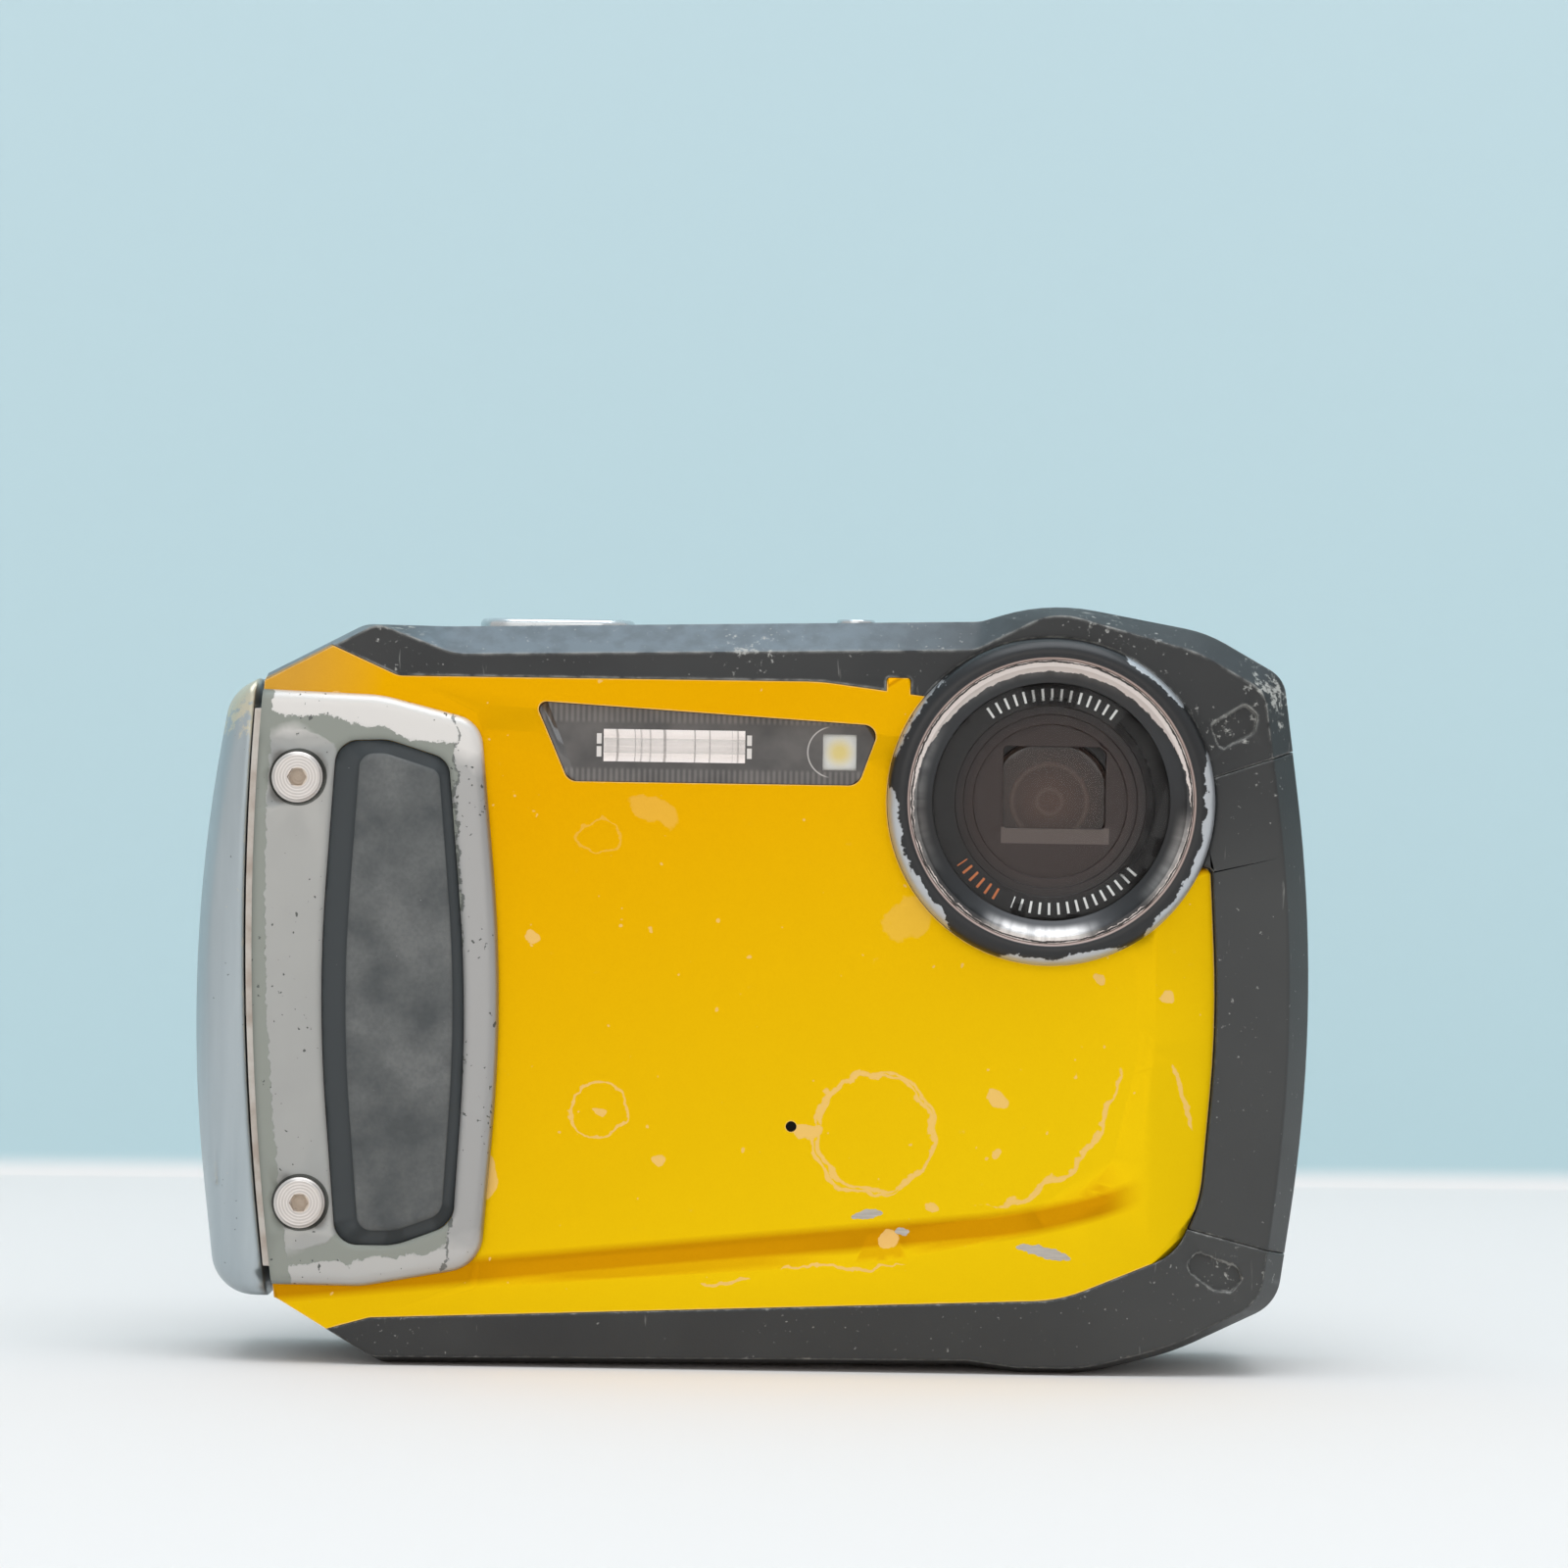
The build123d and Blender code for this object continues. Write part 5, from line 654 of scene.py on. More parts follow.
# Painted shade: a dark ring in the gap round each screw head, in the pits' colour.
screw_gap_shade = add_node(tree, "Math", {0: screw_radius(tree, place), 1: HEAD + 0.08, 2: 0.16},
                  operation="COMPARE").outputs[0]
pits = largest(tree, [pits, screw_gap_shade])
colour = add_node(tree, "Mix", {0: pits, 6: colour, 7: linear(PIT_AND_GAP_SHADE)}, data_type="RGBA").outputs[2]
sheen = largest(tree, [bare, painted_highlight])
sheen = add_node(tree, "MapRange", {0: sheen, 3: 0.85, 4: 0.3}).outputs[0]
rough = add_node(tree, "MapRange", {0: bare, 3: 0.36, 4: 0.5}).outputs[0]
step = add_node(tree, "Math", {0: bare, 1: pits}, operation="ADD").outputs[0]
rounded = add_node(tree, "Bevel", {"Radius": SOFT_RIM * MM}, samples=8).outputs[0]
bump = add_node(tree, "Bump", {"Strength": 0.5, "Distance": PAINT_STEP * MM, "Height": step,
                               "Normal": rounded}, invert=True).outputs[0]
skin = add_node(tree, "BsdfPrincipled", {"Base Color": colour, "Metallic": sheen,
                                         "Roughness": rough, "Normal": bump})
add_node(tree, "OutputMaterial", {"Surface": skin.outputs[0]})
softened("grip_plate", plate_material, 0.0)

# ------------------------------ grip pad
# One moulding of dark rubber let into the plate: a sloping border round a raised pillow, which
# is drawn a lighter, mottled grey than the border.
PAD_COLOUR = "3A3E40"
PAD_PILLOW_GREY = "6B6C6B"
PAD_SPECK = "A5A7A6"
PILLOW_Y = corners("grip_pad")[0][1]
PILLOW_DROP = (0.26, 0.08)    # how far below the pillow's crown the lighter grey begins, and is full

rubber_material, tree, place = new_material("moulded_rubber")
parts = add_node(tree, "SeparateXYZ", {0: place}).outputs
raised = add_node(tree, "MapRange", {0: parts[1], 1: PILLOW_Y + PILLOW_DROP[0],
                                     2: PILLOW_Y + PILLOW_DROP[1]}).outputs[0]
cloud = add_node(tree, "TexNoise", {"Vector": place, "Scale": 1 / 6.0, "Detail": 4.0}).outputs[0]
cloud = add_node(tree, "MapRange", {0: cloud, 1: 0.35, 2: 0.65, 3: 0.25}).outputs[0]
fuzz = add_node(tree, "TexNoise", {"Vector": place, "Scale": 1 / 0.35, "Detail": 3.0}).outputs[0]
fuzz = add_node(tree, "MapRange", {0: fuzz, 1: 0.3, 2: 0.7, 3: 0.8, 4: 1.1}).outputs[0]
# The raised pillow is drawn a lighter grey than its border, mottled by noise.
dust = add_node(tree, "Math", {0: raised, 1: cloud}, operation="MULTIPLY").outputs[0]
dust = add_node(tree, "Math", {0: dust, 1: fuzz}, operation="MULTIPLY", use_clamp=True).outputs[0]
specks = add_node(tree, "TexNoise", {"Vector": place, "Scale": 1 / 0.4, "Detail": 1.0}).outputs[0]
specks = add_node(tree, "MapRange", {0: specks, 1: 0.80, 2: 0.83, 4: 0.6}).outputs[0]
colour = add_node(tree, "Mix", {0: dust, 6: linear(PAD_COLOUR), 7: linear(PAD_PILLOW_GREY)},
                  data_type="RGBA").outputs[2]
colour = add_node(tree, "Mix", {0: specks, 6: colour, 7: linear(PAD_SPECK)},
                  data_type="RGBA").outputs[2]
rounded = add_node(tree, "Bevel", {"Radius": 0.7 * MM}, samples=8).outputs[0]
bump = add_node(tree, "Bump", {"Strength": 0.2, "Distance": 0.03 * MM, "Height": fuzz,
                               "Normal": rounded}).outputs[0]
skin = add_node(tree, "BsdfPrincipled", {"Base Color": colour, "Roughness": 0.62,
                                         "Specular IOR Level": 0.4, "Normal": bump})
add_node(tree, "OutputMaterial", {"Surface": skin.outputs[0]})
softened("grip_pad", rubber_material, 0.0)

# ------------------------------ grip screws
# Two stainless steel button-head screws, turned, so that fine rings run round the head, with a
# hexagon socket that has taken a tan film of dirt.
TURNING = 0.28        # spacing of the turned rings
SOCKET = 0.85         # half width of the socket
STEEL = "D6D3D0"
TURNED_DARK = "C4BDB8"
TURNED_PALE = "DDD6D1"
SOCKET_DIRT = "C9B9A8"

steel_material, tree, place = new_material("stainless_steel")
rough = add_node(tree, "TexNoise", {"Vector": place, "Scale": 1 / 1.5, "Detail": 4.0}).outputs[0]
rough = add_node(tree, "MapRange", {0: rough, 1: 0.3, 2: 0.7, 3: 0.24, 4: 0.38}).outputs[0]
skin = add_node(tree, "BsdfPrincipled", {"Base Color": linear(STEEL), "Metallic": 1.0,
                                         "Roughness": rough})
add_node(tree, "OutputMaterial", {"Surface": skin.outputs[0]})

screw_material, tree, place = new_material("turned_stainless_steel")
radius = screw_radius(tree, place)
rings = add_node(tree, "Math", {0: radius, 1: 2 * math.pi / TURNING},
                 operation="MULTIPLY").outputs[0]
rings = add_node(tree, "Math", {0: rings}, operation="SINE").outputs[0]
dirt = add_node(tree, "MapRange", {0: radius, 1: SOCKET + 0.12, 2: SOCKET - 0.05}).outputs[0]
colour = add_node(tree, "MapRange", {0: rings, 1: -1.0}).outputs[0]
colour = add_node(tree, "Mix", {0: colour, 6: linear(TURNED_DARK), 7: linear(TURNED_PALE)},
                  data_type="RGBA").outputs[2]
colour = add_node(tree, "Mix", {0: dirt, 6: colour, 7: linear(SOCKET_DIRT)},
                  data_type="RGBA").outputs[2]
metal = add_node(tree, "MapRange", {0: dirt, 3: 0.6, 4: 0.1}).outputs[0]
bump = add_node(tree, "Bump", {"Strength": 0.35, "Distance": 0.03 * MM, "Height": rings}).outputs[0]
skin = add_node(tree, "BsdfPrincipled", {"Base Color": colour, "Metallic": metal, "Roughness": 0.4,
                                         "Normal": bump})
add_node(tree, "OutputMaterial", {"Surface": skin.outputs[0]})
softened("grip_screws", screw_material, 0.12)

# ------------------------------ lens ring and bezel
# A turned aluminium ring painted black stands round the window. Knocks have worn its outer
# edge to bare metal in a few arcs. The sloping bezel inside it is turned and dark, with painted
# glints in fans across the turning, and a pinkish primer lip.
ring_low, ring_high = corners("lens_ring")
LENS = ((ring_low[0] + ring_high[0]) / 2, (ring_low[2] + ring_high[2]) / 2)
RING_RADIUS = (ring_high[0] - ring_low[0]) / 2
LIP_RADIUS = 13.0
LIP_RUB, LIP_RISE = 0.35, 0.75        # how far the lip's edge strays, and grows on top
BEZEL_RISE = (11.3, 12.3)     # radii over which the painted glints fade in
BRUSHING = 9.0        # turning marks in a radian
RING_PAINT = "19191B"
RING_METAL = "BFC2C6"
PRIMER_LIP = "B49E96"
BEZEL_DARK = "424243"
BEZEL_PAINTED_GLINT = "DCD8D5"
BEZEL_LIP = "D6CAC4"
SEAM = "2A2523"
KNOCKED_ARCS = [      # middle angle and half span in degrees, and how deep the wear goes
    (203.0, 34.0, 0.70),
    (275.0, 27.0, 0.62),
    (325.0, 22.0, 0.66),
    (355.0, 26.0, 0.72),
    (50.0, 16.0, 0.58),
    (148.0, 22.0, 0.44),
]
GLINT_FANS = [              # middle angle and half span of each fan of painted glint, and its strength
    (266.0, 28.0, 1.0),
    (335.0, 24.0, 0.40),
    (178.0, 40.0, 0.22),
    (95.0, 50.0, 0.15),
]


def polar(tree, place):
    """Radius and angle about the lens axis: the length and the arctangent of (x, z) from it."""
    flat = flattened(tree, place, LENS)
    parts = add_node(tree, "SeparateXYZ", {0: flat}).outputs
    angle = add_node(tree, "Math", {0: parts[2], 1: parts[0]}, operation="ARCTAN2").outputs[0]
    return add_node(tree, "VectorMath", {0: flat}, operation="LENGTH").outputs["Value"], angle


def arc_mask(tree, angle, middle, span):
    """1 at the middle angle, 0 beyond the span: from the cosine of the angle between them."""
    off = add_node(tree, "Math", {0: angle, 1: math.radians(middle)},
                   operation="SUBTRACT").outputs[0]
    near = add_node(tree, "Math", {0: off}, operation="COSINE").outputs[0]
    return add_node(tree, "MapRange", {0: near, 1: math.cos(math.radians(span))}).outputs[0]


ring_material, tree, place = new_material("black_paint_on_aluminium")
radius, angle = polar(tree, place)
ragged = add_node(tree, "TexNoise", {"Vector": place, "Scale": 1 / 1.3, "Detail": 6.0,
                                     "Roughness": 0.62}).outputs[0]
arcs = []
for middle, span, depth in KNOCKED_ARCS:
    arc = arc_mask(tree, angle, middle, span)
    arcs.append(add_node(tree, "MapRange", {0: arc, 2: 0.6, 4: depth}).outputs[0])
outward = add_node(tree, "MapRange", {0: radius, 1: RING_RADIUS - 1.5,
                                      2: RING_RADIUS - 0.2}).outputs[0]
level = add_node(tree, "Math", {0: outward, 1: 0.7, 2: largest(tree, arcs)},
                 operation="MULTIPLY_ADD").outputs[0]
level = add_node(tree, "Math", {0: ragged, 1: 1.1, 2: level}, operation="MULTIPLY_ADD").outputs[0]
wear = add_node(tree, "MapRange", {0: level, 1: 1.56, 2: 1.60}).outputs[0]
lip = add_node(tree, "MapRange", {0: radius, 1: LIP_RADIUS + 0.32, 2: LIP_RADIUS + 0.22}).outputs[0]
colour = add_node(tree, "Mix", {0: wear, 6: linear(RING_PAINT), 7: linear(RING_METAL)},
                  data_type="RGBA").outputs[2]
colour = add_node(tree, "Mix", {0: lip, 6: colour, 7: linear(PRIMER_LIP)},
                  data_type="RGBA").outputs[2]
metal = add_node(tree, "MapRange", {0: wear, 4: 0.6}).outputs[0]
rounded = add_node(tree, "Bevel", {"Radius": 0.5 * MM}, samples=8).outputs[0]
bump = add_node(tree, "Bump", {"Strength": 0.4, "Distance": 0.03 * MM, "Height": wear,
                               "Normal": rounded}, invert=True).outputs[0]
skin = add_node(tree, "BsdfPrincipled", {"Base Color": colour, "Metallic": metal,
                                         "Roughness": 0.33, "Normal": bump})
add_node(tree, "OutputMaterial", {"Surface": skin.outputs[0]})
softened("lens_ring", ring_material, 0.12)

bezel_material, tree, place = new_material("black_anodised_aluminium")
radius, angle = polar(tree, place)
ragged = add_node(tree, "TexNoise", {"Vector": place, "Scale": 1 / 0.8, "Detail": 5.0,
                                     "Roughness": 0.6}).outputs[0]
drift = add_node(tree, "MapRange", {0: ragged, 3: -LIP_RUB, 4: LIP_RUB}).outputs[0]
upper = add_node(tree, "Math", {0: angle}, operation="SINE").outputs[0]
upper = add_node(tree, "MapRange", {0: upper, 2: 0.7, 4: LIP_RISE}).outputs[0]
rubbed = add_node(tree, "Math", {0: radius, 1: drift}, operation="ADD").outputs[0]
rubbed = add_node(tree, "Math", {0: rubbed, 1: upper}, operation="ADD").outputs[0]
lip = add_node(tree, "MapRange", {0: rubbed, 1: LIP_RADIUS - 0.26, 2: LIP_RADIUS - 0.20}).outputs[0]
thin = add_node(tree, "TexNoise", {"Vector": place, "Scale": 1 / 2.2, "Detail": 3.0}).outputs[0]
seam = add_node(tree, "Math", {0: drift, 1: 0.5, 2: radius}, operation="MULTIPLY_ADD").outputs[0]
seam = add_node(tree, "Math", {0: seam, 1: LIP_RADIUS - 0.10}, operation="SUBTRACT").outputs[0]
seam = add_node(tree, "Math", {0: seam}, operation="ABSOLUTE").outputs[0]
seam = add_node(tree, "Math", {0: thin, 1: -0.14, 2: seam}, operation="MULTIPLY_ADD").outputs[0]
seam = add_node(tree, "MapRange", {0: seam, 1: 0.03, 2: -0.01}).outputs[0]
# Painted highlight: glints in fans across the turned bezel, at fixed angles.
painted_glints = []
for middle, span, strength in GLINT_FANS:
    fan = arc_mask(tree, angle, middle, span)
    painted_glints.append(add_node(tree, "MapRange", {0: fan, 4: strength},
                         interpolation_type="SMOOTHSTEP").outputs[0])
painted_glints = largest(tree, painted_glints)
brushed = add_node(tree, "TexNoise", {"W": angle, "Scale": BRUSHING, "Detail": 4.0},
                   noise_dimensions="1D").outputs[0]
brushed = add_node(tree, "MapRange", {0: brushed, 1: 0.3, 2: 0.6, 3: 0.5}).outputs[0]
rise = add_node(tree, "MapRange", {0: radius, 1: BEZEL_RISE[0], 2: BEZEL_RISE[1]},
                interpolation_type="SMOOTHSTEP").outputs[0]
painted_glints = add_node(tree, "Math", {0: painted_glints, 1: brushed}, operation="MULTIPLY").outputs[0]
painted_glints = add_node(tree, "Math", {0: painted_glints, 1: rise}, operation="MULTIPLY").outputs[0]
colour = add_node(tree, "Mix", {0: painted_glints, 6: linear(BEZEL_DARK), 7: linear(BEZEL_PAINTED_GLINT)},
                  data_type="RGBA").outputs[2]
colour = add_node(tree, "Mix", {0: lip, 6: colour, 7: linear(BEZEL_LIP)},
                  data_type="RGBA").outputs[2]
colour = add_node(tree, "Mix", {0: seam, 6: colour, 7: linear(SEAM)}, data_type="RGBA").outputs[2]
metal = add_node(tree, "MapRange", {0: lip, 3: 0.85, 4: 0.1}).outputs[0]
skin = add_node(tree, "BsdfPrincipled", {"Base Color": colour, "Metallic": metal, "Roughness": 0.3})
add_node(tree, "OutputMaterial", {"Surface": skin.outputs[0]})
softened("lens_bezel", bezel_material, 0.05)

# ------------------------------ lens window, baffle and lens
# A flat coated glass window, printed black round its rim with a scale of short strokes, covers
# a stepped black baffle with a rectangular mouth and the brown, coated front element.
PRINT_IN, PRINT_OUT = 9.35, 10.45     # radii of the printed scale
BROWN_IN, BROWN_OUT = 7.3, 9.3        # radii over which the baffle's brown turns black
LEDGE_DROP, LEDGE_HALF = (0.5, -3.15), (5.0, 0.75)    # pale band under the lens, painted light for the lit top of a ledge
COATING = 1.15        # spacing of the rings of colour in the coating
LENS_DEEP = (0.4, 5.6)        # radii over which the lens darkens
WINDOW_DUST = "6B6361"
GLASS_GRAZING_GREY = "D8DCDA"
BAFFLE_BROWN = "2E201C"
BAFFLE_BLACK = "0B0A0A"
LIT_LEDGE_GREY = "5C504B"
LENS_MIDDLE = "442D23"
LENS_EDGE = "241813"
LENS_RING = "57443B"
STROKES = 72          # strokes in a full turn
ARCS = [              # first and last angle in degrees, and colour, of each run of strokes
    (52.0, 128.0, "E9E9E6"),
    (-145.0, -116.0, "C8703A"),
    (-110.0, -36.0, "E9E9E6"),
]

window_material, tree, place = new_material("coated_window_glass")
dust = add_node(tree, "TexNoise", {"Vector": place, "Scale": 1 / 0.3, "Detail": 2.0}).outputs[0]
dust = add_node(tree, "MapRange", {0: dust, 1: 0.77, 2: 0.80, 3: 0.03, 4: 0.5}).outputs[0]
skin = add_node(tree, "BsdfPrincipled", {"Base Color": linear(WINDOW_DUST), "Roughness": 0.04,
                                         "Specular IOR Level": 0.08, "Alpha": dust})
add_node(tree, "OutputMaterial", {"Surface": skin.outputs[0]})
softened("lens_window", window_material, 0.0)
glass_material, tree = new_material("clear_glass")[:2]
# Painted reflection: the clear glass turns an opaque pale grey towards grazing angles.
tint = add_node(tree, "LayerWeight", {"Blend": 0.3}).outputs[1]
tint = add_node(tree, "MapRange", {0: tint, 3: 0.08, 4: 0.5}).outputs[0]
skin = add_node(tree, "BsdfPrincipled", {"Base Color": linear(GLASS_GRAZING_GREY), "Roughness": 0.05,
                                         "Alpha": tint})
add_node(tree, "OutputMaterial", {"Surface": skin.outputs[0]})
for node in ("prism", "flash_tube"):
    softened(node, glass_material, 0.0)


def block_mask(tree, place, centre, half):
    """1 inside a rectangle seen along Y: both |x - centre| and |z - centre| are in its halves."""
    parts = add_node(tree, "SeparateXYZ", {0: place}).outputs
    wide = add_node(tree, "Math", {0: parts[0], 1: centre[0], 2: half[0]},
                    operation="COMPARE").outputs[0]
    high = add_node(tree, "Math", {0: parts[2], 1: centre[1], 2: half[1]},
                    operation="COMPARE").outputs[0]
    return add_node(tree, "Math", {0: wide, 1: high}, operation="MULTIPLY").outputs[0]


baffle_material, tree, place = new_material("black_moulded_polycarbonate")
radius, angle = polar(tree, place)
turned = add_node(tree, "Math", {0: angle, 1: STROKES / (2 * math.pi)},
                  operation="MULTIPLY").outputs[0]
stroke = add_node(tree, "Math", {0: turned, 1: 0.5}, operation="PINGPONG").outputs[0]
stroke = add_node(tree, "Math", {0: stroke, 1: 0.13}, operation="LESS_THAN").outputs[0]
inside = add_node(tree, "Math", {0: radius, 1: PRINT_OUT}, operation="LESS_THAN").outputs[0]
outside = add_node(tree, "Math", {0: radius, 1: PRINT_IN}, operation="GREATER_THAN").outputs[0]
stroke = add_node(tree, "Math", {0: stroke, 1: inside}, operation="MULTIPLY").outputs[0]
stroke = add_node(tree, "Math", {0: stroke, 1: outside}, operation="MULTIPLY").outputs[0]
floor = add_node(tree, "MapRange", {0: radius, 1: BROWN_IN, 2: BROWN_OUT}).outputs[0]
colour = add_node(tree, "Mix", {0: floor, 6: linear(BAFFLE_BROWN), 7: linear(BAFFLE_BLACK)},
                  data_type="RGBA").outputs[2]
# Painted light: a pale band stands in for the lit top of a ledge under the lens.
lit_ledge = (LENS[0] + LEDGE_DROP[0], LENS[1] + LEDGE_DROP[1])
lit_ledge = block_mask(tree, place, lit_ledge, LEDGE_HALF)
colour = add_node(tree, "Mix", {0: lit_ledge, 6: colour, 7: linear(LIT_LEDGE_GREY)}, data_type="RGBA").outputs[2]
for first, last, ink in ARCS:
    middle, half = math.radians((first + last) / 2), math.radians((last - first) / 2)
    within = add_node(tree, "Math", {0: angle, 1: middle, 2: half}, operation="COMPARE").outputs[0]
    within = add_node(tree, "Math", {0: within, 1: stroke}, operation="MULTIPLY").outputs[0]
    colour = add_node(tree, "Mix", {0: within, 6: colour, 7: linear(ink)},
                      data_type="RGBA").outputs[2]
skin = add_node(tree, "BsdfPrincipled", {"Base Color": colour, "Roughness": 0.42})
add_node(tree, "OutputMaterial", {"Surface": skin.outputs[0]})
for node in ("lens_baffle", "window_seal"):
    softened(node, baffle_material, 0.08)

element_material, tree, place = new_material("brown_coated_lens")
radius = polar(tree, place)[0]
rings = add_node(tree, "Math", {0: radius, 1: COATING}, operation="PINGPONG").outputs[0]
rings = add_node(tree, "MapRange", {0: rings, 1: 0.85, 2: 1.1, 4: 0.5}).outputs[0]
depth = add_node(tree, "MapRange", {0: radius, 1: LENS_DEEP[0], 2: LENS_DEEP[1]}).outputs[0]
colour = add_node(tree, "Mix", {0: depth, 6: linear(LENS_MIDDLE), 7: linear(LENS_EDGE)},
                  data_type="RGBA").outputs[2]
colour = add_node(tree, "Mix", {0: rings, 6: colour, 7: linear(LENS_RING)},
                  data_type="RGBA").outputs[2]
skin = add_node(tree, "BsdfPrincipled", {"Base Color": colour, "Roughness": 0.12,
                                         "Coat Weight": 0.5, "Coat Roughness": 0.05})
add_node(tree, "OutputMaterial", {"Surface": skin.outputs[0]})
softened("front_element", element_material, 0.0)

# ------------------------------ flash and focus lamp
# A smoked acrylic window with fine moulded ribs round its border, clear in front of the flash
# tube's bright reflector and of the white lamp with its yellow phosphor. Both are given a faint
# glow, painted light that stands in for the light they gather and throw back to the front.
tube_low, tube_high = corners("flash_reflector")
lamp_low, lamp_high = corners("focus_lamp")
TUBE_X, TUBE_Z = (tube_low[0] + tube_high[0]) / 2, (tube_low[2] + tube_high[2]) / 2
LAMP_X, LAMP_Z = (lamp_low[0] + lamp_high[0]) / 2, (lamp_low[2] + lamp_high[2]) / 2
TUBE_HALF = (6.55, 1.5)
LAMP_HALF = (1.55, 1.65)
KNOB_SHIFT, KNOB_HALF = (6.95, 0.6), (0.22, 0.48)     # four bright stops round the tube
RIB = 0.26            # spacing of the moulded ribs
RIBBED = (2.0, 2.3)   # distance from the tube's level at which the ribs begin
RIM_SHIFT, RIM_HALF, RIM_LINE = -0.6, (2.35, 2.35), 0.09      # bright arc left of the lamp
DRAWN = 0.45          # grain of the drawn reflector
GLOW = (1.7, 0.3)     # distances from the lamp's middle over which the yellow fades in
SMOKE = "484645"
SMOKE_RIB = "736E6B"
SMOKE_BRIGHT = "DED7D2"
MIRROR = "F7F1EE"
MIRROR_LINE = "6A6462"
LAMP_WHITE = "FBF9F2"
LAMP_YELLOW = "F6DF8C"

smoke_material, tree, place = new_material("smoked_acrylic")
parts = add_node(tree, "SeparateXYZ", {0: place}).outputs
clear = block_mask(tree, place, (TUBE_X, TUBE_Z), TUBE_HALF)
lamp = block_mask(tree, place, (LAMP_X, LAMP_Z), LAMP_HALF)
clear = add_node(tree, "Math", {0: clear, 1: lamp}, operation="MAXIMUM").outputs[0]
knobs = [(TUBE_X + side * KNOB_SHIFT[0], TUBE_Z + up * KNOB_SHIFT[1])
         for side in (-1, 1) for up in (-1, 1)]
knobs = largest(tree, [block_mask(tree, place, knob, KNOB_HALF) for knob in knobs])
ribs = add_node(tree, "Math", {0: parts[0], 1: RIB}, operation="PINGPONG").outputs[0]
ribs = add_node(tree, "MapRange", {0: ribs, 1: 0.06, 2: 0.2}).outputs[0]
away = add_node(tree, "Math", {0: parts[2], 1: TUBE_Z}, operation="SUBTRACT").outputs[0]
away = add_node(tree, "Math", {0: away}, operation="ABSOLUTE").outputs[0]
border = add_node(tree, "MapRange", {0: away, 1: RIBBED[0], 2: RIBBED[1]}).outputs[0]
cloud = add_node(tree, "TexNoise", {"Vector": place, "Scale": 1 / 3.0, "Detail": 3.0}).outputs[0]
cloud = add_node(tree, "MapRange", {0: cloud, 1: 0.3, 2: 0.7, 4: 0.5}).outputs[0]
ribs = add_node(tree, "Math", {0: ribs, 1: border}, operation="MULTIPLY").outputs[0]
ribs = add_node(tree, "Math", {0: ribs, 1: 0.6, 2: cloud}, operation="MULTIPLY_ADD").outputs[0]
colour = add_node(tree, "Mix", {0: ribs, 6: linear(SMOKE), 7: linear(SMOKE_RIB)},
                  data_type="RGBA").outputs[2]
rim = mark(tree, place, (LAMP_X + RIM_SHIFT, LAMP_Z), RIM_HALF, 0.0, RIM_LINE)
left = add_node(tree, "MapRange", {0: parts[0], 1: LAMP_X - 0.9, 2: LAMP_X - 1.6,
                                   4: 0.8}).outputs[0]
rim = add_node(tree, "Math", {0: rim, 1: left}, operation="MULTIPLY").outputs[0]
bright = largest(tree, [knobs, rim])
colour = add_node(tree, "Mix", {0: bright, 6: colour, 7: linear(SMOKE_BRIGHT)},
                  data_type="RGBA").outputs[2]
cover = add_node(tree, "MapRange", {0: clear, 3: 1.0, 4: 0.1}).outputs[0]
skin = add_node(tree, "BsdfPrincipled", {"Base Color": colour, "Roughness": 0.12, "Alpha": cover})
add_node(tree, "OutputMaterial", {"Surface": skin.outputs[0]})
softened("flash_window", smoke_material, 0.0)

mirror_material, tree, place = new_material("rolled_aluminium_painted_glow")
parts = add_node(tree, "SeparateXYZ", {0: place}).outputs
lines = add_node(tree, "TexNoise", {"W": parts[0], "Scale": 1 / DRAWN, "Detail": 3.0},
                 noise_dimensions="1D").outputs[0]
lines = add_node(tree, "MapRange", {0: lines, 1: 0.60, 2: 0.66, 4: 0.6}).outputs[0]
colour = add_node(tree, "Mix", {0: lines, 6: linear(MIRROR), 7: linear(MIRROR_LINE)},
                  data_type="RGBA").outputs[2]
# Painted light: the reflector glows faintly, though it is no lamp.
skin = add_node(tree, "BsdfPrincipled", {"Base Color": colour, "Roughness": 0.35,
                                         "Emission Color": colour, "Emission Strength": 0.38})
add_node(tree, "OutputMaterial", {"Surface": skin.outputs[0]})
softened("flash_reflector", mirror_material, 0.0)

lamp_material, tree, place = new_material("phosphor_lamp_painted_glow")
away = add_node(tree, "VectorMath", {0: place, 1: (LAMP_X, lamp_low[1], LAMP_Z)},
                operation="DISTANCE").outputs["Value"]
glow = add_node(tree, "MapRange", {0: away, 1: GLOW[0], 2: GLOW[1]},
                interpolation_type="SMOOTHSTEP").outputs[0]
colour = add_node(tree, "Mix", {0: glow, 6: linear(LAMP_WHITE), 7: linear(LAMP_YELLOW)},
                  data_type="RGBA").outputs[2]
# Painted light: the lamp is not lit, yet glows faintly.
skin = add_node(tree, "BsdfPrincipled", {"Base Color": colour, "Roughness": 0.3,
                                         "Emission Color": colour, "Emission Strength": 0.2})
add_node(tree, "OutputMaterial", {"Surface": skin.outputs[0]})
softened("focus_lamp", lamp_material, 0.05)

